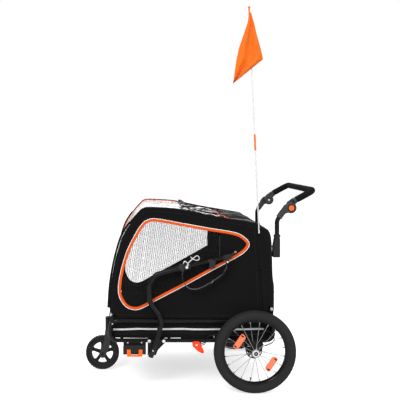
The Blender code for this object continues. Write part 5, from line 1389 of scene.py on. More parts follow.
def skew_line(x_left, x_right, lift, seed):
    """A line across the roof whose ends are at different places along it."""
    path = []
    for k in range(61):
        across = -1 + 2 * k / 60
        wobble = 0.008 * math.sin(5.5 * across) * (1 - across * across)
        x = x_left + (x_right - x_left) * (k / 60) + wobble
        i = row_at(x)
        path.append(roof_surface(i, across, seed) + roof_up(i) * lift)
    for _ in range(3):
        path = [path[0]] + [(a + b * 2 + c) / 4 for a, b, c in zip(path, path[1:], path[2:])] + [path[-1]]
    return path


def make_roof():
    low = row_at(-0.711, FRONT_HEM)
    roll = row_at(ROLL_X)
    seam = row_at((SEAM_FAR + SEAM_NEAR) / 2)
    last = len(ROOF) - 1
    roof_strip("front_hem", 0, low + 1, cabin_cloth, 1.0, 0.4, hides=["roof_cover"])
    roof_strip("front_window_film", low, roll, clear_film, 1.0, 1.3)
    roof_strip("roof_middle", roll, seam + 1, rolled_film_painted_glints, 2.0, 1.9, columns=110)
    roof_strip("roof_rear", seam, last, painted_glint_cloth, 3.0, 1.6, columns=110)

    trim = Mesh()
    for side in (-1, 1):
        edge = [roof_surface(i, side) for i in range(len(ROOF))]
        normal_out = [roof_up(i) for i in range(len(ROOF))]
        bound = []
        for p, n in zip(edge, normal_out):
            wave = 0.0044 + 0.001 * math.sin(31 * p.x) if p.x < ROLL_X else 0.0012
            bound.append(p + n * wave + Vector((0, -side * 0.003, 0)))
        trim.sweep(bound, 0.0056, 12)
        cord = [p + n * 0.0012 + Vector((0, -side * 0.0098, 0)) for p, n in zip(edge, normal_out)]
        trim.sweep(cord[:roll], 0.0016, 10, slot=1)
        trim.sweep(cord[roll - 1 :], 0.0014, 10)
        inner = [roof_surface(i, side * 0.955) + roof_up(i) * 0.0004 for i in range(len(ROOF))]
        stitches(trim, inner, Vector((0, 0, 1)), slot=2)
    for row, lift in ((0, 0.0006), (low, 0.001)):
        line = roof_line(row, lift)
        trim.sweep(line, 0.0048, 10, flat=0.3, up=roof_up(row))
        stitches(trim, roof_line(min(row + 1, len(ROOF) - 1), 0.0008), roof_up(row), slot=2)
    trim.sweep(skew_line(SEAM_NEAR, SEAM_FAR, 0.0058, 3.0), 0.0022, 10, slot=1)
    trim.sweep(skew_line(SEAM_NEAR + 0.01, SEAM_FAR + 0.01, 0.0008, 3.0), 0.006, 10, flat=0.25)
    trim.sweep(skew_line(SEAM_NEAR - 0.012, SEAM_FAR - 0.01, 0.0008, 2.0), 0.0055, 10, flat=0.25)
    soften(trim.build("roof_binding", [cabin_cloth, piping_cloth, reflective], "chassis"))


def make_roll():
    """The gathered screen: a loose roll of cloth across the roof, drawn in by two buckled straps."""
    i = row_at(ROLL_X + 0.008)
    up = roof_up(i)
    along = Vector((up.z, 0, -up.x))
    centre_lift = 0.0115
    wraps = Mesh()
    steps = 90
    turns = 88
    points = []
    half = 0.256
    for s in range(steps + 1):
        y = -half + 2 * half * s / steps
        pinch = min(abs(abs(y) - 0.15) / 0.05, 1.0)
        pinch = 0.7 + 0.3 * pinch * pinch * (3 - 2 * pinch)
        droop = 0.0025 * math.sin(7 * y) + 0.0015 * math.sin(19 * y + 1)
        base = roof_surface(i, y / (CABIN_W - taper(ROLL_X))) + up * (centre_lift - 0.003)
        for t in range(turns):
            angle = math.tau * t / turns
            wave = 0.0017 * math.sin(6 * angle + 2.2 * math.sin(9 * y)) + 0.001 * math.sin(13 * angle + 11 * y)
            wave += 0.0016 * noise.noise(Vector((2 * math.cos(angle), 9 * y, 2 * math.sin(angle))))
            lip = 0.0024 * math.exp(-(((angle - 2.0) % math.tau) / 0.28) ** 2)
            radius = (0.0134 + wave + lip) * pinch * 0.76
            offset = up * math.sin(angle) * radius * 0.92 + along * math.cos(angle) * radius * 1.18
            points.append(base + offset + up * droop)
    faces = []
    for s in range(steps):
        for t in range(turns):
            n = (t + 1) % turns
            faces.append((s * turns + t, s * turns + n, (s + 1) * turns + n, (s + 1) * turns + t))
    for ring in (0, steps):
        middle = sum((points[ring * turns + t] for t in range(turns)), Vector()) / turns
        points.append(middle + Vector((0, 0.003 if ring == 0 else -0.003, 0)))
        hub = len(points) - 1
        faces += [(ring * turns + t, ring * turns + (t + 1) % turns, hub) for t in range(turns)]
    wraps.add(points, faces)
    soften(wraps.build("gathered_screen", [rolled_film_painted_glints], "chassis", hides=["roof_roll"]))

    straps = Mesh()
    for y in (-0.15, 0.15):
        base = roof_surface(i, y / (CABIN_W - taper(ROLL_X))) + up * (centre_lift - 0.003)
        ring = []
        for t in range(48):
            angle = math.tau * t / 48
            ring.append(base + up * math.sin(angle) * 0.0088 + along * math.cos(angle) * 0.0112)
        flat_band(straps, ring, (0, 1, 0), 0.0095, 0.0007, closed=True)
        buckle = base + up * 0.0094
        place = Matrix.Translation(buckle) @ Matrix.Rotation(-math.atan2(along.z, along.x), 4, "Y")
        straps.block((-0.013, -0.012, -0.001), (0.013, 0.012, 0.003), 1, place, 0.0012)
        straps.block((-0.006, -0.0085, 0.0028), (0.006, 0.0085, 0.0042), 1, place, 0.0006)
        for hand in (-1, 1):
            low, high = (hand * 0.0095 - 0.0015, -0.013, 0.0002), (hand * 0.0095 + 0.0015, 0.013, 0.0022)
            straps.block(low, high, 1, place, 0.0005)
    soften(straps.build("screen_straps", [grey_webbing, black_plastic], "chassis"))


def flat_band(mesh, path, width_axis, half_width, half_thick, closed=False, slot=0):
    """A flat strap along a path, with its width along an axis."""
    width_axis = Vector(width_axis).normalized()
    count = len(path)
    points = []
    for i, p in enumerate(path):
        before = path[i - 1] if closed or i else p
        after = path[(i + 1) % count] if closed or i < count - 1 else p
        along = (after - before).normalized()
        across = (width_axis - along * along.dot(width_axis)).normalized()
        out = along.cross(across)
        profile = (
            (-1.0, -0.5), (-0.97, -1.0), (0.97, -1.0), (1.0, -0.5), (1.0, 0.5), (0.97, 1.0), (-0.97, 1.0),
            (-1.0, 0.5),
        )
        points += [p + across * a * half_width + out * b * half_thick for a, b in profile]
    faces = []
    for i in range(count if closed else count - 1):
        a = i * 8
        b = (i + 1) % count * 8
        faces += [(a + k, a + (k + 1) % 8, b + (k + 1) % 8, b + k) for k in range(8)]
    if not closed:
        faces.append(tuple(range(8))[::-1])
        faces.append(tuple((count - 1) * 8 + k for k in range(8)))
    mesh.add(points, faces, slot)


make_roof()
make_roll()


# Rear wall

DOOR_HALF = 0.205
DOOR_LOW, DOOR_HIGH = 0.4, 0.735
REAR_PATH = smooth_line([Vector((x, 0, z)) for x, z in REAR_LINE], 8)


def rear_x(z):
    swell = max(0.0, min(1.0, (z - 0.4) / 0.14, (0.802 - z) / 0.02))
    bulge = 0.0022 + 0.0038 * swell * swell * (3 - 2 * swell)
    for a, b in zip(REAR_PATH, REAR_PATH[1:]):
        if b.z <= z <= a.z:
            return a.x + (b.x - a.x) * (a.z - z) / (a.z - b.z) + bulge
    return (REAR_PATH[-1].x if z < REAR_PATH[-1].z else REAR_PATH[0].x) + bulge


def rear_plan(z):
    """Plan line of half the rear wall at a height: side, round corner, back."""
    back = rear_x(z)
    front = pole_x(z) + SEAM_HALF
    deep = max(0.004, min(0.024, (back - front) * 0.75))
    w = CABIN_W - 0.0002
    points = [(front, w), (front + (back - front - deep) * 0.5, w)]
    for k in range(9):
        angle = math.pi / 2 * k / 8
        points.append((back - deep + deep * math.sin(angle), w - deep + deep * math.cos(angle)))
    return points


def rear_half(z):
    """The same line from the wall's middle to its side seam."""
    half = rear_plan(z)
    return [(half[-1][0], 0.0)] + half[::-1]


def rear_wall_point(u, z):
    """A point on the rear wall: u runs from -1 at the left seam through 0 at the middle to 1."""
    side = 1 if u > 0 else -1
    share = abs(u)
    lengths = [0.0]
    full = rear_half(z)
    for a, b in zip(full, full[1:]):
        lengths.append(lengths[-1] + math.hypot(b[0] - a[0], b[1] - a[1]))
    want = share * lengths[-1]
    for a, b, la, lb in zip(full, full[1:], lengths, lengths[1:]):
        if want <= lb or b is full[-1]:
            t = 0.0 if lb == la else min(1.0, (want - la) / (lb - la))
            x, y = a[0] + (b[0] - a[0]) * t, a[1] + (b[1] - a[1]) * t
            normal = Vector((b[1] - a[1], -(b[0] - a[0]), 0)).normalized()
            break
    if normal.x < -0.01 or (abs(normal.x) < 0.5 and normal.y < 0):
        normal = -normal
    normal = Vector((normal.x, normal.y * side, 0))
    ease = min(1.0, (1 - share) / 0.08, (0.806 - z) / 0.03, (z - 0.352) / 0.03)
    ease = max(0.0, ease)
    drawn = ease * (0.0016 + 0.0013 * noise.noise(Vector((8 * u, 9 * z, 4.0))) + 0.0008 * math.sin(30 * u + 9 * z))
    return at(x, z, y * side) - normal * drawn, normal


def make_rear_wall():
    wall = Mesh()
    levels = sorted(
        set([0.352 + (0.805 - 0.352) * k / 44 for k in range(45)] + [DOOR_LOW - 0.003, DOOR_HIGH + 0.003])
    )
    shares = 30
    grid = []
    for z in levels:
        full = rear_half(z)
        length = sum(math.hypot(b[0] - a[0], b[1] - a[1]) for a, b in zip(full, full[1:]))
        door = (DOOR_HALF + 0.003) / length
        row = [door * k / 12 for k in range(13)] + [door + (1 - door) * k / shares for k in range(1, shares + 1)]
        row = [-u for u in row[::-1]] + row[1:]
        grid.append([rear_wall_point(u, z) for u in row])
    wide = len(grid[0])
    middle = wide // 2
    outer = [p for row in grid for p, n in row]
    inner = [p - n * 0.0011 for row in grid for p, n in row]
    count = len(outer)

    def open_at(r, c):
        z = (levels[r] + levels[r + 1]) / 2
        if DOOR_LOW - 0.003 <= z <= DOOR_HIGH + 0.003 and middle - 12 <= c < middle + 12:
            return True
        p = outer[r * wide + c]
        return z < 0.4095 and p.x - AX > 0.0735 and abs(p.y) > 0.2895

    cells = {(r, c) for r in range(len(levels) - 1) for c in range(wide - 1) if not open_at(r, c)}
    faces = []
    edges = {}
    for r, c in cells:
        a = r * wide + c
        quad = (a, a + 1, a + wide + 1, a + wide)
        faces.append(quad)
        faces.append(tuple(count + i for i in quad[::-1]))
        for p, q in zip(quad, quad[1:] + quad[:1]):
            edges[(p, q)] = True
    for p, q in edges:
        if (q, p) not in edges:
            faces.append((p, q, count + q, count + p))
    wall.add(outer + inner, faces)
    for u_sign in (-1, 1):
        seam = [rear_wall_point(u_sign * 0.985, z) for z in levels]
        stitches(wall, [p for p, n in seam], seam[5][1], slot=1)
    low = [rear_wall_point(-0.985 + 1.97 * k / 120, 0.366) for k in range(121)]
    stitches(wall, [p + n * 0.0002 for p, n in low], (1, 0, 0), slot=1)
    soften(wall.build("rear_wall", [cabin_cloth, net_cloth], "chassis", hides=["rear_cover"]))

    trim = Mesh()
    for side in (-1, 1):
        zs = [0.353 + 0.448 * k / 40 for k in range(41)]
        points = [at(pole_x(z) + dx, z, side * (CABIN_W - 0.003)) for z in zs for dx in (-0.0115, 0.0115)]
        trim.two_sided(points, grid_faces(len(zs), 2), Vector((0, side * 0.001, 0)))
    top = [rear_wall_point(-0.97 + 1.94 * k / 90, 0.8045) for k in range(91)]
    trim.sweep([p + Vector((0, 0, 0.0005)) for p, n in top], 0.002, 10)
    reach = DOOR_HALF + 0.009
    for z in (DOOR_HIGH + 0.009, DOOR_LOW - 0.009):
        band = [at(rear_x(z) - 0.0006, z, (-1 + 2 * k / 60) * reach) for k in range(61)]
        trim.sweep(band, 0.0062, 8, flat=0.22, up=(1, 0, 0))
    for side in (-1, 1):
        zs = [DOOR_LOW - 0.012 + 0.0102 * k for k in range(36)]
        band = [at(rear_x(z) - 0.0006, z, side * reach) for z in zs]
        trim.sweep(band, 0.0062, 8, flat=0.22, up=(1, 0, 0))
        for z in [DOOR_LOW + 0.004 + 0.0024 * k for k in range(136)]:
            tooth = at(rear_x(z) + 0.0006, z, side * (DOOR_HALF + 0.0016))
            half = Vector((0, 0.0015, 0))
            trim.sweep([tooth - half, tooth + half], 0.00065, 5, slot=1)
    soften(trim.build("rear_wall_binding", [cabin_cloth, black_plastic], "chassis"))

    skirt = Mesh()
    rows = [-0.694 + (0.088 + 0.694) * k / 80 for k in range(81)]
    drop = Vector((0, 0, 0.0008))
    for side in (-1, 1):
        outer = [on_side(x, 0.3528, side, -0.0015) for x in rows]
        mid = [at(x, 0.35 + 0.0006 * math.sin(40 * x), side * 0.278) for x in rows]
        inner = [at(x, 0.345, side * 0.2622) for x in rows]
        skirt.two_sided(outer + mid + inner, grid_faces(3, len(rows)), drop)
    for x, out_x in ((0.087, 0.0905), (-0.6925, -0.701)):
        line = [-0.262 + 0.524 * k / 60 for k in range(61)]
        points = [at(out_x, 0.3528, y * 1.08) for y in line] + [at(x, 0.345, y) for y in line]
        skirt.two_sided(points, grid_faces(2, len(line)), drop)
    skirt.build("skirt_join", [inner_cloth], "chassis")


def make_door():
    """Flap of the rear door: hemmed cloth with the top of its zip, two sliders and their tabs."""
    door = Mesh()
    rows, columns = 46, 56
    outer, inner = [], []
    for r in range(rows + 1):
        z = DOOR_LOW + (DOOR_HIGH - DOOR_LOW) * r / rows
        for c in range(columns + 1):
            y = (-1 + 2 * c / columns) * (DOOR_HALF - 0.0006)
            ease = max(0.0, min(1.0, (DOOR_HALF - abs(y)) / 0.03, (z - DOOR_LOW) / 0.03, (DOOR_HIGH - z) / 0.03))
            drawn = ease * (0.0018 + 0.0014 * noise.noise(Vector((8 * y, 8 * z, 7.0))))
            hem = 0.0008 if ease < 0.6 else 0.0
            outer.append(at(rear_x(z) + hem - drawn, z, y))
            inner.append(at(rear_x(z) - 0.0012 - drawn, z, y))
    door.cloth(outer, inner, columns + 1)
    z_levels = [DOOR_LOW + 0.01 + (DOOR_HIGH - DOOR_LOW - 0.02) * k / 50 for k in range(51)]
    for side in (-1, 1):
        line = [at(rear_x(z) + 0.0008, z, side * (DOOR_HALF - 0.014)) for z in z_levels]
        stitches(door, line, (1, 0, 0), slot=1)
    for z in (DOOR_LOW + 0.014, DOOR_HIGH - 0.014):
        line = [at(rear_x(z) + 0.0008, z, -DOOR_HALF + 0.014 + (2 * DOOR_HALF - 0.028) * k / 40) for k in range(41)]
        stitches(door, line, (1, 0, 0), slot=1)
    zip_z = DOOR_HIGH - 0.006
    for k in range(int(2 * DOOR_HALF / 0.0024)):
        y = -DOOR_HALF + 0.003 + 0.0024 * k
        if abs(y) > DOOR_HALF - 0.003:
            continue
        p = at(rear_x(zip_z) + 0.0014, zip_z, y)
        door.sweep([p - Vector((0, 0, 0.0015)), p + Vector((0, 0, 0.0015))], 0.00065, 5, slot=2)
    for side in (-1, 1):
        y = side * 0.022
        top = at(rear_x(zip_z) + 0.0022, zip_z, y)
        door.block((-0.0015, -0.005, -0.004), (0.0018, 0.005, 0.004), 2, Matrix.Translation(top), 0.0006)
        tab = [
            top + Vector((0.0022, 0, -0.002)), top + Vector((0.003, 0, -0.012)), top + Vector((0.0024, 0, -0.034)),
        ]
        flat_band(door, smooth_line(tab, 5), (0, 1, 0), 0.004, 0.0006, slot=3)
    looks = [cabin_cloth, net_cloth, black_plastic, piping_cloth]
    soften(door.build("rear_door_flap", looks, "rear_door", hides=["rear_door"]))


make_rear_wall()
make_door()


# Tray


def make_tray():
    tray = Mesh()
    half = 0.261
    front, rear = -0.6925, 0.0865
    low, high = 0.259, 0.3455
    corners = [(front, -half, 0), (rear, -half, 0), (rear, half, 0), (front, half, 0)]
    ring = rounded(corners, 0.02, 6, closed=True)
    ring = [Vector((p.x, p.y, 0)) for p in even(ring + ring[:1], 0.0125)][:-1]
    count = len(ring)
    levels = [0.0, 0.02, 0.06, 0.14, 0.25, 0.38, 0.52, 0.66, 0.8, 0.9, 0.96, 1.0]

    def spot(p, share, inset=0.0):
        z = low + (high - low) * share
        side_out = Vector((0, 0, 0))
        if abs(abs(p.y) - half) < 0.004:
            side_out = Vector((0, 1 if p.y > 0 else -1, 0))
        elif p.x < front + 0.004 or p.x > rear - 0.004:
            side_out = Vector((-1 if p.x < 0 and p.x < front + 0.01 else 1, 0, 0))
        drawn = math.sin(math.pi * share) * (0.003 + 0.0022 * noise.noise(Vector((5 * p.x, 5 * p.y, 3 * share))))
        drawn += 0.0009 * math.sin(55 * p.x + 6 * share) * math.sin(math.pi * share)
        hang = -0.0012 * math.sin(9 * p.x) * share
        return at(p.x, z + hang, p.y) - side_out * (drawn + inset)

    points = [spot(p, share) for share in levels for p in ring]
    inner = [spot(p, share, 0.0012) for share in levels for p in ring]
    total = len(points)
    faces = []
    for r in range(len(levels) - 1):
        for k in range(count):
            n = (k + 1) % count
            quad = (r * count + k, r * count + n, (r + 1) * count + n, (r + 1) * count + k)
            faces.append(quad)
            faces.append(tuple(total + i for i in quad[::-1]))
    top = (len(levels) - 1) * count
    for k in range(count):
        n = (k + 1) % count
        faces.append((top + k, top + n, total + top + n, total + top + k))
    tray.add(points + inner, faces)
    base_points, base_triangles = flat_mesh([(p.x, p.y) for p in ring], [], 0.03)

    def sag(x):
        return 0.0018 * math.sin(math.pi * (x - front) / (rear - front)) ** 2

    base = [at(x, low + 0.0008 - sag(x), y) for x, y in base_points]
    tray.add(base, base_triangles)
    tray.add([p + Vector((0, 0, 0.0012)) for p in base], [t[::-1] for t in base_triangles])
    for share in (0.985, 0.05):
        tray.sweep([spot(p, share) for p in ring], 0.0014, 8, closed=True)
    for share in (0.93, 0.1):
        path = [spot(p, share) for p in ring]
        for side in (-1, 1):
            run = [p for p in path if p.y * side > half - 0.006]
            run.sort(key=lambda p: p.x)
            stitches(tray, run, (0, side, 0), slot=1)
    for side in (-1, 1):
        xs = [-0.6925 + (0.0865 + 0.6925) * k / 130 for k in range(131)]
        points = []
        for row in range(5):
            for x in xs:
                closed = x > -0.352 or -0.518 < x < -0.436 or -0.421 < x < -0.409 or -0.654 < x < -0.641
                drop = 0.2425 if closed else 0.2482 + 0.001 * math.sin(17 * x + 1.1)
                z = 0.264 + (drop - 0.264) * row / 4
                if abs(x + 0.18) < 0.016:
                    z = max(z, 0.2592)
                points.append(at(x, z, side * (half - 0.0009 - 0.0006 * math.sin(31 * x + row))))
        tray.two_sided(points, grid_faces(5, len(xs)), Vector((0, side * 0.0011, 0)))
        tray.sweep(points[-len(xs) :], 0.0011, 8)
        for flap in (
            [(-0.701, 0.264), (-0.693, 0.252), (-0.67, 0.25), (-0.67, 0.342), (-0.701, 0.336)],
            [(0.064, 0.25), (0.086, 0.252), (0.095, 0.264), (0.095, 0.336), (0.064, 0.342)],
        ):
            tray.plate(soft_edge(flap, 0.006, 3), 0.0014, 0, moved(0, side * (half - 0.0048)), 0.0003)
    tray.build("tray_cloth", [inner_cloth, net_cloth], "chassis", hides=["tray"])

    stripe = Mesh()
    for side in (-1, 1):
        xs = spread(-0.69, 0.056, 110)

        def stripe_row(share, thick):
            row = []
            for x in xs:
                wave = 0.0011 * math.sin(11 * x + 0.6) + 0.0007 * math.sin(31 * x)
                row.append(spot(Vector((x, side * half, 0)), share) + Vector((0, side * thick, wave)))
            return row

        points = []
        for share, thick in ((0.304, 0.0001), (0.314, 0.0009), (0.398, 0.0009), (0.408, 0.0001)):
            points += stripe_row(share, thick)
        stripe.add(points, grid_faces(4, len(xs)))
        for share in (0.322, 0.39):
            stitches(stripe, stripe_row(share, 0.001), (0, side, 0), slot=1, lift=0.0)
    stripe.build("reflective_stripe", [reflective, cabin_cloth], "chassis")

    board = Mesh()
    outline = [(-0.689, -0.2575), (0.083, -0.2575), (0.083, 0.2575), (-0.689, 0.2575)]
    flat = moved(0, 0, 0.2655) @ Matrix.Rotation(-math.pi / 2, 4, "X")
    board.plate(soft_edge(outline, 0.022, 6), 0.007, 0, flat, 0.0016)
    for x in (-0.5, -0.3, -0.1):
        line = [at(x, 0.26925, -0.25 + 0.5 * k / 40) for k in range(41)]
        stitches(board, line, (0, 0, 1), slot=1)
    board.build("floor_pad_board", [inner_cloth, net_cloth], "chassis", hides=["floor_board"])


make_tray()


# Folding hoops and their hinges

FRONT_HINGE = (-0.7015, 0.372)
REAR_HINGE = (0.0885, 0.3985)
FRONT_BENDS = ((-0.688, 0.52), (-0.664, 0.64), (-0.631, 0.743), (-0.589, 0.808), (-0.533, 0.87))
REAR_BENDS = ((0.078, 0.52), (0.074, 0.6908), (0.068, 0.75), (0.03, 0.788))
HOOPS = (("front", FRONT_HINGE, FRONT_BENDS, 0.2605), ("rear", REAR_HINGE, REAR_BENDS, 0.28))
HOLDER_Z = (0.649, 0.757)
HANDLE_Y = 0.265


def make_hoops():
    for label, hinge, points, half in HOOPS:
        leg = [(hinge[0], hinge[1] - 0.016), *points]
        left = [at(x, z, -half) for x, z in leg]
        right = [at(x, z, half) for x, z in leg]
        path = rounded(left + right[::-1], 0.075, 14)
        hoop = Mesh()
        hoop.sweep(path, 0.0089, 26)
        for side in (-1, 1):
            end = at(hinge[0], hinge[1] - 0.016, side * half)
            along = (path[1] - path[0]).normalized()
            hoop.sweep([end - along * 0.0008, end + along * 0.01], 0.0093, 26, slot=1)
        if label == "rear":
            hoop_sockets(hoop)
        hoop.build(f"{label}_hoop_bent", [black_paint, black_plastic], f"{label}_hoop", hides=[f"{label}_hoop"])


def hoop_sockets(hoop):
    """Socket mouldings that the handle's stems slide into, each with a clamp collar on top."""
    low, high = HOLDER_Z
    front = rear_x(low) + 0.0006
    back = 0.1205 + 0.013
    middle = (low + high) / 2
    outline = [
        (front, low), (back, low), (back, high - 0.012), (0.1205 - 0.013, high - 0.012), (front + 0.001, middle),
    ]
    outline = soft_edge(outline, 0.004, 4)
    for side in (-1, 1):
        y = side * HANDLE_Y
        hoop.plate(outline, 0.0296, 1, moved(0, y), 0.0018)
        for z in (low + 0.012, low + 0.03, low + 0.048):
            rib = [(front + 0.004, z), (back - 0.004, z)]
            for face in (-1, 1):
                hoop.sweep(
                    [at(rib[0][0], z, y + face * 0.0149), at(rib[1][0], z, y + face * 0.0149)], 0.0011, 8, slot=1,
                )
        upright = Matrix.Translation(at(0.1205, 0, y)) @ Matrix.Rotation(math.pi / 2, 4, "X")
        collar = [
            (0.0104, high + 0.003), (0.015, high + 0.003), (0.0166, high + 0.0014), (0.0166, high - 0.008),
            (0.0146, high - 0.0118), (0.0104, high - 0.0124),
        ]
        hoop.spin(collar, 40, 1, upright)
        hoop.sweep([at(0.076, middle, side * 0.274), at(front + 0.006, middle, side * 0.274)], 0.0048, 16, slot=1)
        knob = Matrix.Translation(at(back, high - 0.03, y)) @ Matrix.Rotation(math.pi / 2, 4, "Z")
        hoop.disc([(0, -0.0022), (0.0045, -0.002), (0.0052, -0.0012), (0.0052, 0.001), (0, 0.001)], 24, 1, knob)


def make_hinges():
    reach = RAIL_BEND * (1 - math.cos(math.pi / 4))
    for label, side in SIDES:
        for name, hinge in (("front", FRONT_HINGE), ("rear", REAR_HINGE)):
            foot = (0.099 - reach if name == "rear" else -0.705 + reach, UPPER_RAIL - reach)
            bar = Mesh()
            width = 0.018
            shape = capsule(foot, hinge, width)
            place = moved(0, side * 0.2918)
            bar.plate(shape, 0.0028, 0, place, 0.0005)
            screw_head(bar, *hinge, side, 0.2933, radius=0.0042, slot=1)
            screw_head(bar, *foot, side, 0.2933, radius=0.0036, slot=1)
            bar.spin(
                [
                    (0.0058, side * 0.2931), (0.0075, side * 0.2931), (0.0075, side * 0.2938),
                    (0.0058, side * 0.2938),
                ],
                28, 1, moved(*[hinge[0], 0, hinge[1]]),
            )
            inner = 0.269 if name == "front" else 0.272
            bar.sweep([at(*hinge, side * inner), at(*hinge, side * 0.2925)], 0.0028, 16, slot=1)
            if name == "front":
                bar.spin(
                    [
                        (0.003, side * 0.2698), (0.0054, side * 0.2698), (0.0054, side * 0.2912),
                        (0.003, side * 0.2912),
                    ],
                    24, 1, moved(hinge[0], 0, hinge[1]),
                )
            bar.build(
                f"hinge_strap_{label}_{name}", [black_paint, silver], "chassis",
                hides=[f"hinge_plate_{label}_{name}"],
            )


make_hoops()
make_hinges()


# Push handle

PIVOT = (0.188, 0.893)
REACH = (0.3, 0.979)
LEG = (PIVOT[0] + 0.016, PIVOT[1] + 0.0335)
BAR_ANGLE = math.atan2(REACH[1] - LEG[1], REACH[0] - LEG[0])
SLEEVE = ((0.1292, 0.844), (0.151, 0.8745))
NECK = ((36, 27.5), (24, 53), (6, 44), (-4, 36), (-13, 30), (-20, 22), (-12, 12), (4, 8), (20, 12), (27, 19))
SHOULDER = (
    (-51, -12.5), (-40, 4), (-33, 13), (-22, 20), (-10, 10), (-8, -10), (-14, -24), (-25.2, -26.9), (-27, -29.4),
)
STEM_X = 0.1205
DISC_OUT = HANDLE_Y + 0.0003 + 0.015


def bar_path(start, steps=18):
    """The bar from one leg to the other; start is how far up the legs it begins."""
    x, z = LEG[0] + start * math.cos(BAR_ANGLE), LEG[1] + start * math.sin(BAR_ANGLE)
    left = [at(x, z, -HANDLE_Y), at(*REACH, -HANDLE_Y)]
    right = [at(*REACH, HANDLE_Y), at(x, z, HANDLE_Y)]
    return rounded(left + right, 0.032, steps)


def around_pivot(shape):
    """Outline given in millimetres from the pivot."""
    return soft_edge([(PIVOT[0] + x * 0.001, PIVOT[1] + z * 0.001) for x, z in shape], 0.006, 4)


def make_stems():
    low, top = SLEEVE
    for label, side in SIDES:
        y = side * HANDLE_Y
        stem = Mesh()
        path = rounded(
            [at(STEM_X, 0.664, y), at(STEM_X, 0.827, y), at(low[0] + 0.004, low[1] + 0.0065, y)], 0.03, 12,
        )
        stem.sweep(path, 0.0112, 28)
        for z in (0.77, 0.786):
            for hand in (-1, 1):
                hole = Matrix.Translation(at(STEM_X, z, y + hand * 0.0111))
                stem.disc([(0, -0.0003), (0.0022, -0.0003), (0.0022, 0.0003), (0, 0.0003)], 20, 2, hole)
        start, end = at(*low, y), at(*top, y)
        ahead = (end - start).normalized()
        total = (end - start).length
        stations = (
            (0.0, 0.0118), (0.0006, 0.0146), (0.004, 0.0156), (0.009, 0.0148), (total - 0.001, 0.0146),
            (total, 0.0138),
        )
        stem.sweep([start + ahead * d for d, r in stations], [r for d, r in stations], 36, slot=1)
        for k in range(6):
            d = 0.012 + 0.0042 * k
            stem.sweep([start + ahead * (d - 0.0009), start + ahead * (d + 0.0009)], 0.0153, 36, slot=1)
        stem.plate(around_pivot(SHOULDER[::-1]), 0.0136, 1, moved(0, side * (DISC_OUT - 0.0078)), 0.0016)
        place = moved(PIVOT[0], 0, PIVOT[1])
        o = side * DISC_OUT
        i = side * (HANDLE_Y + 0.0009)
        s = side
        profile = [
            (0.0164, o - s * 0.006), (0.0164, o - s * 0.0012), (0.0172, o), (0.0215, o), (0.0232, o - s * 0.0006),
        ]
        profile += [
            (0.0262, o - s * 0.003), (0.027, o - s * 0.0052), (0.027, i + s * 0.0008), (0.0262, i), (0.006, i),
            (0.006, o - s * 0.0062),
        ]
        stem.spin(profile, 72, 1, place)
        for k in range(20):
            turn = place @ Matrix.Rotation(math.tau * k / 20, 4, "Y")
            notch = [turn @ Vector((0.0269, i + s * 0.0016, 0)), turn @ Vector((0.0269, o - s * 0.0056, 0))]
            stem.sweep(notch, 0.001, 8, slot=1)
        stem.build(
            f"handle_stem_tube_{label}", [black_paint, grey_plastic, cable_rubber], "handle_stems",
            hides=[f"handle_stem_{label}"],
        )

        button = Mesh()
        base, face = side * (DISC_OUT - 0.0024), side * (DISC_OUT + 0.003)
        profile = [
            (0, face - s * 0.0008), (0.008, face - s * 0.0007), (0.0108, face - s * 0.0004), (0.0118, face),
            (0.014, face - s * 0.0001),
        ]
        profile += [(0.0154, face - s * 0.0009), (0.0159, face - s * 0.0022), (0.0159, base), (0, base)]
        button.spin(
            [
                (0.0118, face), (0.014, face - s * 0.0001), (0.0154, face - s * 0.0009),
                (0.0159, face - s * 0.0022), (0.0159, base), (0.0118, base),
            ],
            64, 1, place,
        )
        profile = [(r, y) for r, y in profile[:4]] + [
            (0.0126, face + s * 0.0004), (0.013, face - s * 0.0004), (0.013, base), (0, base),
        ]
        button.disc(profile, 64, 0, place)
        for k in range(5):
            rib = 0.0042 - 0.0021 * k
            half = math.sqrt(max(0.0, 0.0076**2 - rib * rib))
            line = [
                at(PIVOT[0] - half, PIVOT[1] + rib, face - s * 0.0006),
                at(PIVOT[0] + half, PIVOT[1] + rib, face - s * 0.0006),
            ]
            button.sweep(line, 0.0005, 8)
        button.build(
            f"button_cap_{label}", [orange_plastic, black_plastic], f"button_{label}", hides=[f"button_{label}"],
        )


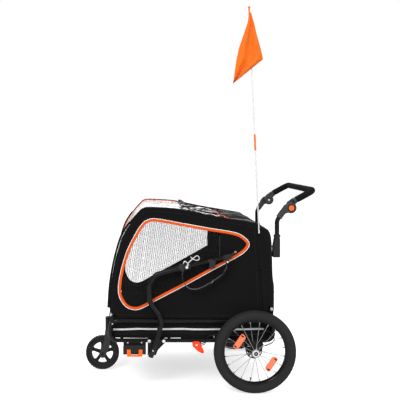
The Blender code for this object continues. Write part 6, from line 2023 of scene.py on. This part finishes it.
def make_handle_bar():
    bar = Mesh()
    bar.sweep(bar_path(0.0), 0.0089, 28)
    place = moved(PIVOT[0], 0, PIVOT[1])
    for s in (-1, 1):
        side = s
        i = side * (HANDLE_Y - 0.015)
        o = side * (HANDLE_Y - 0.0002)
        profile = [
            (0.005, i + s * 0.0014), (0.012, i + s * 0.0012), (0.014, i), (0.0225, i), (0.0262, i + s * 0.0022),
            (0.027, i + s * 0.0045),
        ]
        profile += [(0.027, o - s * 0.0008), (0.0262, o), (0.005, o)]
        bar.spin(profile, 72, 1, place)
        for k in range(20):
            turn = place @ Matrix.Rotation(math.tau * k / 20, 4, "Y")
            notch = [turn @ Vector((0.0269, i + s * 0.005, 0)), turn @ Vector((0.0269, o - s * 0.0014, 0))]
            bar.sweep(notch, 0.001, 8, slot=1)
        cap = [
            (0, i - s * 0.0004), (0.004, i - s * 0.0003), (0.0052, i + s * 0.0004), (0.0054, i + s * 0.0018),
            (0, i + s * 0.0018),
        ]
        bar.disc(cap, 32, 2, place)
        bar.plate(around_pivot(NECK), 0.013, 1, moved(0, side * (HANDLE_Y - 0.0072)), 0.0016)
        cuff = [
            at(LEG[0] + d * math.cos(BAR_ANGLE), LEG[1] + d * math.sin(BAR_ANGLE), side * HANDLE_Y)
            for d in (-0.002, 0.0, 0.01, 0.012)
        ]
        bar.sweep(cuff, [0.012, 0.0138, 0.0138, 0.0126], 32, slot=1)
    bar.build("handle_bar_tube", [black_paint, grey_plastic, silver], "handle_bar", hides=["handle_bar"])

    grip = Mesh()
    path = even(bar_path(0.0125, 26), 0.0045)
    radii = []
    for k, p in enumerate(path):
        ease = min(1.0, k / 2.5, (len(path) - 1 - k) / 2.5)
        dent = 0.00035 * noise.noise(Vector((p.x * 30, p.y * 22, p.z * 30)))
        radii.append(0.0142 + 0.0016 * ease + dent)
    grip.sweep(path, radii, 40)
    seam = []
    for k, p in enumerate(path):
        ahead = (path[min(k + 1, len(path) - 1)] - path[max(k - 1, 0)]).normalized()
        under = Vector((0, 0, -1)) - ahead * ahead.dot(Vector((0, 0, -1)))
        seam.append(p + under.normalized() * (radii[k] - 0.0001))
    grip.sweep(seam[2:-2], 0.0007, 6)
    for ring in (1, len(path) - 2):
        along = (path[ring + 1] - path[ring - 1]).normalized() * 0.001
        grip.sweep([path[ring] - along, path[ring] + along], 0.016, 40)
    grip.build("foam_grip_sleeve", [foam_grip], "handle_bar", hides=["handle_grip"])


make_stems()
make_handle_bar()


# Tow arm

ARM_LINE = (
    (-0.505, 0.1694),
    (-0.466, 0.2865),
    (-0.449, 0.343),
    (-0.465, 0.379),
    (-0.508, 0.436),
    (-0.512, 0.524),
    (-0.48, 0.57),
    (-0.36, 0.603),
)
ROD_END = (-0.146, 0.654)
HITCH_TIP = (-0.0878, 0.6854)
ARM_PIVOT = (-0.4938, 0.203)
ROD_ANGLE = math.atan2(ROD_END[1] - ARM_LINE[-1][1], ROD_END[0] - ARM_LINE[-1][0])
STRAP_LINE = (
    (-0.352, 0.57),
    (-0.344, 0.533),
    (-0.323, 0.507),
    (-0.29, 0.499),
    (-0.25, 0.511),
    (-0.196, 0.543),
    (-0.156, 0.572),
    (-0.133, 0.608),
)


def along_rod(distance):
    x, z = ARM_LINE[-1]
    return at(x + distance * math.cos(ROD_ANGLE), z + distance * math.sin(ROD_ANGLE), ARM_Y)


def make_tow_arm():
    arm = Mesh()
    path = rounded([at(x, z, ARM_Y) for x, z in ARM_LINE], 0.035, 14)
    arm.sweep(path, 0.0123, 32)
    low = at(*ARM_LINE[0], ARM_Y)
    up = (path[1] - path[0]).normalized()
    sleeve = [low - up * 0.0004, low + up * 0.0008, low + up * 0.046, low + up * 0.0475]
    arm.sweep(sleeve, [0.0118, 0.0126, 0.0126, 0.0122], 32, slot=1)
    stations = (
        (-0.01, 0.0128), (-0.006, 0.0148), (-0.001, 0.016), (0.004, 0.0163), (0.016, 0.0163), (0.017, 0.0152),
    )
    stations += ((0.02, 0.0152), (0.021, 0.0163), (0.044, 0.0163), (0.0485, 0.0158), (0.0498, 0.014))
    arm.sweep([along_rod(d) for d, r in stations], [r for d, r in stations], 40, slot=1)
    for k in range(12):
        angle = math.tau * k / 12
        flank = Vector(
            (-math.sin(ROD_ANGLE) * math.cos(angle), math.sin(angle), math.cos(ROD_ANGLE) * math.cos(angle))
        )
        if abs(flank.y) > 0.8:
            continue
        arm.sweep([along_rod(0.023) + flank * 0.0163, along_rod(0.043) + flank * 0.0163], 0.0008, 8, slot=1)
    arm.build("tow_arm_tube", [black_paint, black_plastic], "tow_arm", hides=["tow_arm"])

    rod = Mesh()
    start = along_rod(0.0504)
    end = at(*ROD_END, ARM_Y)
    out = (end - start).normalized()
    rod.sweep([start, start + out * 0.11], 0.0078, 28)
    rod.sweep(
        [start + out * 0.088, start + out * 0.092, start + out * 0.108, start + out * 0.112],
        [0.008, 0.0096, 0.0096, 0.008], 28, slot=1,
    )
    rod.sweep([start + out * 0.11, end], 0.0084, 28)
    fitting = (
        (-0.006, 0.0098), (-0.003, 0.0128), (0.004, 0.0134), (0.024, 0.0134), (0.031, 0.0122), (0.034, 0.009),
    )
    rod.sweep([end + out * d for d, r in fitting], [r for d, r in fitting], 36, slot=1)
    tip = at(*HITCH_TIP, ARM_Y)
    tang_start = end + out * 0.03
    tang = (tip - tang_start).normalized()
    rod.sweep(
        [tang_start, tang_start + tang * 0.01, tip - tang * 0.01, tip - tang * 0.002, tip],
        [0.0062, 0.006, 0.0052, 0.0048, 0.0034], 24, slot=1,
    )
    eye = [
        tip - tang * 0.006 + Vector((math.cos(a) * 0.0032, -0.005, math.sin(a) * 0.0032))
        for a in [math.tau * k / 20 for k in range(20)]
    ]
    rod.sweep(eye, 0.0009, 8, closed=True, slot=2)
    low_x, low_z = -0.1326, 0.6354
    tab = capsule((-0.142, 0.656), (low_x, low_z), 0.017)
    rod.plate(tab, 0.0034, 1, moved(0, ARM_Y - 0.015), 0.0006)
    screw_head(rod, low_x, low_z, -1, -ARM_Y + 0.0168, radius=0.0048, slot=2, height=0.0022)
    rod.build("hitch_rod_tube", [black_paint, black_plastic, silver], "tow_arm", hides=["hitch_rod"])

    strap = Mesh()
    line = smooth_line([at(x, z, ARM_Y) for x, z in STRAP_LINE], 10)
    flat_band(strap, line, (0, 1, 0), 0.0098, 0.001)
    axis = Vector((math.cos(ROD_ANGLE), 0, math.sin(ROD_ANGLE)))
    keeper = []
    for k in range(40):
        angle = math.tau * k / 40
        drop = 0.029 if math.cos(angle) < 0 else 0.01
        keeper.append(at(-0.205, 0.63, ARM_Y) + Vector((0, 0.0108 * math.sin(angle), drop * math.cos(angle))))
    flat_band(strap, keeper, axis, 0.014, 0.0008, closed=True)
    for edge in (-0.0125, 0.0125):
        hem = [p + axis * edge + Vector((0, -0.0009, 0)) for p in keeper[22:39]]
        strap.sweep(hem, 0.0005, 6)
    ring_at = at(-0.206, 0.5362, ARM_Y)
    loop = []
    for k in range(32):
        angle = math.tau * k / 32
        loop.append(ring_at + Vector((0.005 * math.cos(angle), 0.0125 * math.sin(angle), 0.009 * math.cos(angle))))
    strap.sweep(loop, 0.0014, 10, closed=True, slot=1)
    top = line[0]
    band = []
    for k in range(40):
        angle = math.tau * k / 40
        flank = Vector((-axis.z * math.cos(angle), math.sin(angle), axis.x * math.cos(angle)))
        band.append(along_rod(0.0085) + flank * 0.0172)
    flat_band(strap, band, axis, 0.006, 0.0007, closed=True)
    low_end = along_rod(0.0085) + Vector((axis.z, 0, -axis.x)) * 0.0172
    join = smooth_line([low_end, low_end.lerp(top, 0.5) + Vector((0.001, 0, 0)), top, line[3]], 6)
    flat_band(strap, join, (0, 1, 0), 0.0092, 0.0008)
    hook = [line[-1], line[-1].lerp(end, 0.5), end + out * 0.008 - Vector((0, 0, 0.012))]
    flat_band(strap, smooth_line(hook, 6), (0, 1, 0), 0.007, 0.0009)
    box_low = line[-9]
    flow = (line[-7] - line[-11]).normalized()
    slide = Matrix.Translation(box_low) @ Matrix.Rotation(-math.atan2(flow.z, flow.x), 4, "Y")
    strap.block((-0.0075, -0.0115, -0.0022), (0.0075, 0.0115, 0.0022), 2, slide, 0.0008)
    strap.build(
        "safety_strap_webbing", [grey_webbing, steel_wire, black_plastic], "tow_arm", hides=["safety_strap"],
    )

    pin = Mesh()
    centre = along_rod(0.03)
    outer = -ARM_Y + 0.0165
    y_out = -(outer + 0.004)
    shaft = [Vector((centre.x, y, centre.z)) for y in (-(outer + 0.0045), -(outer + 0.002), ARM_Y + 0.006)]
    pin.sweep(shaft, 0.003, 20)
    pin.sweep(
        [
            Vector((centre.x, y, centre.z))
            for y in (-(outer + 0.0078), -(outer + 0.0072), -(outer + 0.0022), -(outer + 0.0014))
        ],
        [0.0052, 0.0064, 0.0064, 0.0056], 28,
    )
    lift = y_out + 0.0006
    hook = [
        (-16.2, 17.3), (-14.1, 24.9), (-6.5, 29.2), (0.0, 23.8), (5.4, 18.4), (9.0, 13.5), (4.0, 5.0), (0.0, 0.0),
    ]
    back = [
        (0.0, 0.0), (5.4, 18.4), (17.3, 30.3), (29.2, 41.1), (40.1, 50.9), (49.8, 56.3), (58.5, 50.9), (60.6, 42.2),
    ]
    back += [(55.2, 35.7), (46.5, 34.6), (37.9, 36.8), (29.2, 41.1), (23.8, 45.5), (18.4, 50.9)]
    for line, level in ((hook, lift), (back, lift - 0.001)):
        wire = [Vector((centre.x + x * 0.001, level, centre.z + z * 0.001)) for x, z in line]
        pin.sweep(smooth_line(wire, 7), 0.002, 12)
    pin.build("hitch_pin_and_clip", [silver], "hitch_pin", hides=["hitch_pin"])


def make_arm_mounts():
    left, right = ARM_PIVOT[0] - 0.026, ARM_PIVOT[0] + 0.061
    top, low = LOWER_RAIL + 0.008, ARM_PIVOT[1] - 0.031
    outline = [
        (left, top), (right, top), (right, LOWER_RAIL - 0.006), (ARM_PIVOT[0] + 0.024, ARM_PIVOT[1] - 0.006),
        (ARM_PIVOT[0] + 0.014, low), (left, low),
    ]
    outline = soft_edge(outline, 0.005, 5)
    bracket = Mesh()
    bracket.plate(outline, 0.0039, 0, moved(0, -0.2923), 0.0006)
    for x in (ARM_PIVOT[0] - 0.018, ARM_PIVOT[0] + 0.053):
        screw_head(bracket, x, LOWER_RAIL, -1, 0.2942, radius=0.0055, slot=1, height=0.002)
        bracket.spin(
            [(0.0056, -0.2941), (0.0078, -0.2941), (0.0078, -0.2947), (0.0056, -0.2947)], 28, 1,
            moved(x, 0, LOWER_RAIL),
        )
    screw_head(bracket, *ARM_PIVOT, -1, 0.3229, radius=0.004, slot=1)
    bracket.sweep([at(*ARM_PIVOT, -0.293), at(*ARM_PIVOT, -0.323)], 0.0029, 16, slot=1)
    ridge = [
        (left + 0.007, low + 0.008), (left + 0.007, top - 0.012), (right - 0.01, top - 0.012),
        (ARM_PIVOT[0] + 0.016, ARM_PIVOT[1] - 0.004), (ARM_PIVOT[0] + 0.008, low + 0.008),
    ]
    bracket.sweep([at(x, z, -0.2943) for x, z in soft_edge(ridge, 0.004, 4)], 0.0009, 8, closed=True)
    bracket.build("arm_bracket_plate", [black_paint, silver], "chassis", hides=["arm_bracket"])

    saddle = Mesh()
    x0, x1 = -0.639, -0.528
    floor_top = ARM_PIVOT[1] - 0.0135
    under = floor_top - 0.003
    section = [
        (-0.2905, 0.2408), (-0.2905, under + 0.002), (-0.292, under), (-0.325, under), (-0.3265, under + 0.0015),
    ]
    section += [
        (-0.3265, 0.2288), (-0.3258, 0.2298), (-0.3242, 0.2298), (-0.3235, 0.2288), (-0.3235, floor_top),
        (-0.2943, floor_top), (-0.2943, 0.2408),
    ]
    turn = Matrix(((0, 1, 0, AX + (x0 + x1) / 2), (1, 0, 0, 0), (0, 0, 1, 0), (0, 0, 0, 1)))
    saddle.plate(section, (x1 - x0) - 0.0004, 0, turn, 0.0008)
    for x in (x0 + 0.01, (x0 + x1) / 2, x1 - 0.01):
        saddle.sweep([at(x, under + 0.003, -0.3266), at(x, 0.2275, -0.3266)], 0.001, 8)
    saddle.sweep([at(x0 + 0.004, 0.224, -0.3266), at(x1 - 0.004, 0.224, -0.3266)], 0.001, 8)
    for x in (x0 + 0.022, x1 - 0.022):
        screw_head(saddle, x, 0.233, -1, 0.2943, radius=0.0045, slot=1, height=0.0018)
    for x in (-0.602, -0.563):
        saddle.block((x - 0.003, -0.3268, 0.203), (x + 0.003, -0.3262, 0.218), 0, moved(0, 0), 0.0005)
    saddle.build("arm_saddle_moulding", [black_plastic, silver], "chassis", hides=["arm_saddle"])

    latch = Mesh()
    front, rear = -0.611, -0.554
    low_z = under - 0.008 - 0.001
    outline = [
        (front - 0.009, 0.211), (front + 0.009, 0.211), (front + 0.009, low_z + 0.008),
        (rear - 0.009, low_z + 0.008),
    ]
    outline += [(rear - 0.009, 0.211), (rear + 0.009, 0.211), (rear + 0.009, low_z), (front - 0.009, low_z)]
    outline = soft_edge(outline, 0.0025, 4)
    latch.plate(outline, 0.0038, 0, moved(0, -0.3288), 0.0007)
    for x in (front, rear):
        for z in (0.197, 0.201, 0.205):
            latch.sweep([at(x - 0.006, z, -0.3308), at(x + 0.006, z, -0.3308)], 0.0007, 8)
    for k in range(7):
        x = front + 0.014 + (rear - front - 0.028) * k / 6
        latch.sweep([at(x, low_z + 0.0015, -0.3308), at(x, low_z + 0.0065, -0.3308)], 0.0007, 8)
    latch.build("arm_latch_slide", [orange_plastic], "arm_latch", hides=["arm_latch"])

    pedal = Mesh()
    shape = [(-0.303, 0.24), (-0.266, 0.241), (-0.242, 0.19), (-0.252, 0.1825), (-0.276, 0.196), (-0.3, 0.218)]
    outline = soft_edge(shape, 0.012, 6)
    hole = ring_points((-0.281, 0.226), 0.0034, 24)
    pedal.plate(outline, 0.0118, 0, moved(0, -0.2979), 0.0014, [hole])
    for k in range(6):
        t = 0.3 + 0.11 * k
        x, z = -0.268 + 0.022 * t, 0.241 - 0.053 * t
        pedal.sweep([at(x + 0.0008, z + 0.0003, -0.293), at(x + 0.0008, z + 0.0003, -0.3028)], 0.0009, 8)
    corners = [(-0.2965, 0.236), (-0.2705, 0.2368), (-0.2512, 0.1905), (-0.2542, 0.1898), (-0.296, 0.218)]
    rim = [at(x, z, -0.3037) for x, z in soft_edge(corners, 0.004, 5)]
    pedal.sweep(rim, 0.0007, 8, closed=True)
    pedal.build("brake_pedal_moulding", [red_plastic], "brake_pedal", hides=["brake_pedal"])


make_tow_arm()
make_arm_mounts()


# Cables, pole and flag

POLE_Y = -0.2971
POLE_FOOT = (0.0331, 0.6)
FLAG_ROWS = (
    ((-0.0228, 1.852), (-0.015, 1.85)),
    ((-0.0296, 1.803), (-0.002, 1.8)),
    ((-0.05, 1.743), (0.0105, 1.743)),
    ((-0.074, 1.674), (0.0285, 1.68)),
    ((-0.0872, 1.613), (0.0432, 1.622)),
    ((-0.0955, 1.558), (-0.03, 1.562)),
    ((-0.1028, 1.503), (-0.0985, 1.507)),
)


def up_pole(height, out=0.0):
    """A point by the flag pole: height above its foot, out towards -Y."""
    return at(
        POLE_FOOT[0] + height * math.sin(POLE_TILT),
        POLE_FOOT[1] + height * math.cos(POLE_TILT),
        POLE_Y - out,
    )


def cable_end(side):
    """Back between tray and rail, out round the rear bend, to the brake pin's boss."""
    px, pz = BRAKE_PIN
    angle = math.radians(20)
    stops = (
        (-0.2, 0.2625, 0.26575),
        (-0.06, 0.2625, 0.26575),
        (0.03, 0.2685, 0.26575),
        (0.058, 0.2835, 0.26775),
        (0.076, 0.2865, 0.284),
        (0.09, 0.2755, 0.2962),
        (0.1, 0.2555, 0.2972),
        (0.092, 0.235, 0.2962),
        (0.07, 0.224, 0.2952),
        (px + 0.0198, pz + 0.00675, 0.29),
        (px + 0.009 * math.cos(angle), pz + 0.009 * math.sin(angle), 0.2882),
    )
    return [at(x, z, side * y) for x, z, y in stops]


def make_cables():
    start = -0.2612
    y = 0.2845
    lane = 0.26575
    near = [at(start, 0.2265, -y), at(start + 0.01, 0.2265, -y + 0.001), at(start + 0.024, 0.2285, -y + 0.014)]
    near += [at(start + 0.034, LOWER_RAIL, -lane)]
    far = [at(start, 0.219, -y), at(start + 0.01, 0.219, -y + 0.001), at(start + 0.026, 0.221, -y + 0.02)]
    far += [at(start + 0.034, 0.2493, -lane + 0.022), at(start + 0.036, 0.2553, -lane + 0.05)]
    far += [at(start + 0.036, 0.2553, k * 0.2615) for k in (-0.5, 0.0, 0.5)]
    far += [at(start + 0.036, 0.2553, lane - 0.05), at(start + 0.04, 0.2513, lane - 0.014)]
    far += [at(start + 0.05, 0.2553, lane)]
    for label, side, lead in (("left", -1, near), ("right", 1, far)):
        cable = Mesh()
        path = smooth_line(lead + cable_end(side), 8)
        cable.sweep(path, 0.0021, 14)
        for first, last in ((0, 3), (len(path) - 4, len(path) - 1)):
            cable.sweep([path[first], path[last]], 0.0026, 16, slot=1)
        cable.build(f"brake_cable_line_{label}", [cable_rubber, silver], "chassis", hides=[f"brake_cable_{label}"])


def make_pole():
    pole = Mesh()
    pole.sweep([up_pole(h) for h in (0.0, 0.3, 0.64, 0.9, 1.2, 1.272)], 0.0029, 20)
    for h in (0.172, 0.18):
        pole.sweep([up_pole(h), up_pole(h + 0.004)], 0.0034, 20)
    ball = []
    for k in range(13):
        angle = math.pi * k / 12 - math.pi / 2
        ball.append((0.0065 * math.cos(angle), 0.0065 * math.sin(angle)))
    tip = Matrix.Translation(up_pole(1.278)) @ Matrix.Rotation(POLE_TILT, 4, "Y") @ Matrix.Rotation(
        math.pi / 2, 4, "X",
    )
    pole.disc(ball, 32, 1, tip)
    cap = ((1.196, 0.003), (1.197, 0.0038), (1.262, 0.0038), (1.268, 0.0042), (1.274, 0.004))
    pole.sweep([up_pole(h) for h, r in cap], [r for h, r in cap], 24, slot=1)
    pole.build("flag_pole_rod", [white_rod, orange_plastic], "flag", hides=["flag_pole"])

    ferrule = Mesh()
    low, high = 0.5775, 0.6565
    rings = [
        (low, 0.0036), (low + 0.001, 0.0044), (low + 0.003, 0.0047), (low + 0.036, 0.0047), (low + 0.037, 0.0043),
        (low + 0.042, 0.0043), (low + 0.043, 0.0047),
    ]
    rings += [(high - 0.003, 0.0047), (high - 0.001, 0.0044), (high, 0.0036)]
    ferrule.sweep([up_pole(h) for h, r in rings], [r for h, r in rings], 28)
    ferrule.build("flag_pole_ferrule", [orange_plastic], "flag", hides=["flag_ferrule"])

    sleeve = Mesh()
    rings = []
    for k in range(36):
        h = -0.004 + 0.174 * k / 35
        rings.append((h, 0.0045 + 0.0004 * math.sin(h * 120) + (0.0004 if k in (0, 1, 34, 35) else 0)))
    sleeve.sweep([up_pole(h) for h, r in rings], [r for h, r in rings], 24)
    for h in (0.0, 0.166):
        sleeve.sweep([up_pole(h), up_pole(h + 0.002)], 0.005, 24, slot=1)
    tab = [up_pole(h, -0.0035 - 0.0004 * math.sin(h * 90)) for h in [0.01 + 0.15 * k / 24 for k in range(25)]]
    flat_band(sleeve, tab, (1, 0, 0), 0.0085, 0.0007)
    for side in (-0.0066, 0.0066):
        stitches(sleeve, [p + Vector((side, 0, 0)) for p in tab], Vector((0, -1, 0)), slot=1, lift=0.0008)
    soften(sleeve.build("flag_sleeve_cloth", [cabin_cloth, black_plastic], "rear_hoop", hides=["flag_sleeve"]))


def flag_point(u, v, outer):
    """A point of the flag: u along each row from left to right, v down the rows."""
    span = v * (len(FLAG_ROWS) - 1)
    row = min(int(span), len(FLAG_ROWS) - 2)
    t = span - row
    (lx0, lz0), (rx0, rz0) = FLAG_ROWS[row]
    (lx1, lz1), (rx1, rz1) = FLAG_ROWS[row + 1]
    lx, lz = lx0 + (lx1 - lx0) * t, lz0 + (lz1 - lz0) * t
    rx, rz = rx0 + (rx1 - rx0) * t, rz0 + (rz1 - rz0) * t
    x = lx + (rx - lx) * u
    z = lz + (rz - lz) * u
    depth = 0.02 * min(1, 0.25 + 1.5 * v) * min(1, 4 * (rx - lx) / 0.12)
    fold = 0.5 - 0.5 * math.cos(math.tau * 1.6 * u + 2.2 * v)
    ripple = 0.001 * math.sin(9 * u + 14 * v) * min(1, 4 * (rx - lx) / 0.12)
    y = POLE_Y - 0.0034 - depth * fold * 0.96 - abs(ripple)
    return at(x, z, y - (0.0005 if outer else 0))


def make_flag():
    flag = Mesh()
    across, down = 72, 108
    points = []
    for outer in (True, False):
        for j in range(down + 1):
            for i in range(across + 1):
                points.append(flag_point(i / across, j / down, outer))
    n = across + 1
    half = n * (down + 1)
    faces = []
    for j in range(down):
        for i in range(across):
            a = j * n + i
            faces.append((a, a + 1, a + n + 1, a + n))
            faces.append((half + a + n, half + a + n + 1, half + a + 1, half + a))
    edge = list(range(n)) + [j * n + across for j in range(1, down + 1)]
    edge += [down * n + i for i in range(across - 1, -1, -1)] + [j * n for j in range(down - 1, 0, -1)]
    for a, b in zip(edge, edge[1:] + edge[:1]):
        faces.append((a, b, half + b, half + a))
    flag.add(points, faces)
    hem = [flag_point(1.0, j / 80, True) for j in range(81)]
    hem += [flag_point(i / 40, 1.0, True) for i in range(39, -1, -1)]
    hem += [flag_point(0.0, j / 80, True) for j in range(79, -1, -1)]
    hem = [p + Vector((0, 0.0002, 0)) for p in hem]
    flag.sweep(even(hem, 0.004), 0.0009, 8)
    flag.build("safety_flag_cloth", [flag_cloth], "flag", hides=["flag"])


make_cables()
make_pole()
make_flag()


# Stage


def make_floor():
    """Pale floor. The camera sees it lifted to white, less where the trailer shades it."""
    floor = Mesh()
    floor.add([(-8, -6, 0), (8, -6, 0), (8, 12, 0), (-8, 12, 0)], [(0, 1, 2, 3)])
    ground = Look("floor", (0.62, 0.62, 0.62), 0.9, Specular_IOR_Level=0.0)
    ground.tint(ground.noise(2.0, 2.0), (0.61, 0.61, 0.61), (0.63, 0.63, 0.63))
    path = ground.node("ShaderNodeLightPath").outputs
    seen = path["Is Camera Ray"]
    for way in ("Is Transmission Ray", "Is Glossy Ray"):
        seen = ground.math("MAXIMUM", seen, path[way])
    ground.set("Emission Color", (1.0, 1.0, 1.0, 1.0))
    ground.tree.links.new(ground.math("MULTIPLY", seen, 0.6), ground.shader.inputs["Emission Strength"])
    floor.build("floor", [ground.made])


def make_sky():
    """White where the camera, metal or glass sees it. As a light, a plain room, brighter overhead than at eye level."""
    world = bpy.data.worlds.new("world")
    bpy.context.scene.world = world
    world.use_nodes = True
    tree = world.node_tree
    new = tree.nodes.new
    path = new("ShaderNodeLightPath")
    coords = new("ShaderNodeTexCoord")
    split = new("ShaderNodeSeparateXYZ")
    tree.links.new(coords.outputs["Generated"], split.inputs[0])
    rise = new("ShaderNodeMapRange")
    rise.interpolation_type = "SMOOTHSTEP"
    for name, value in (("From Min", 0.05), ("From Max", 0.85), ("To Min", SKY_LOW), ("To Max", SKY_TOP)):
        rise.inputs[name].default_value = value
    tree.links.new(split.outputs["Z"], rise.inputs["Value"])
    ways = path.outputs["Is Camera Ray"]
    for way in ("Is Transmission Ray", "Is Glossy Ray"):
        seen = new("ShaderNodeMath")
        seen.operation = "MAXIMUM"
        tree.links.new(ways, seen.inputs[0])
        tree.links.new(path.outputs[way], seen.inputs[1])
        ways = seen.outputs[0]
    mix = new("ShaderNodeMix")
    tree.links.new(ways, mix.inputs[0])
    tree.links.new(rise.outputs[0], mix.inputs[2])
    mix.inputs[3].default_value = 1.0
    background = tree.nodes["Background"]
    background.inputs["Color"].default_value = (1, 1, 1, 1)
    tree.links.new(mix.outputs[0], background.inputs["Strength"])


def make_lamps():
    bpy.context.scene.view_settings.view_transform = "Standard"
    for name, place, size, power in LAMPS:
        light = bpy.data.lights.new(name, "AREA")
        light.size = size
        light.energy = power
        lamp = bpy.data.objects.new(name, light)
        lamp.location = place
        lamp.rotation_euler = (Vector((0, 0, 0.4)) - Vector(place)).to_track_quat("-Z", "Y").to_euler()
        bpy.context.scene.collection.objects.link(lamp)


SKY_LOW = 0.14
SKY_TOP = 1.15
LAMPS = (
    ("key", (-1.8, -3.0, 3.2), 1.6, 110.0),
    ("fill", (2.4, -3.2, 2.0), 2.2, 58.0),
    ("top", (0.3, 0.6, 3.8), 2.6, 60.0),
)

set_camera()
make_floor()
make_sky()
make_lamps()
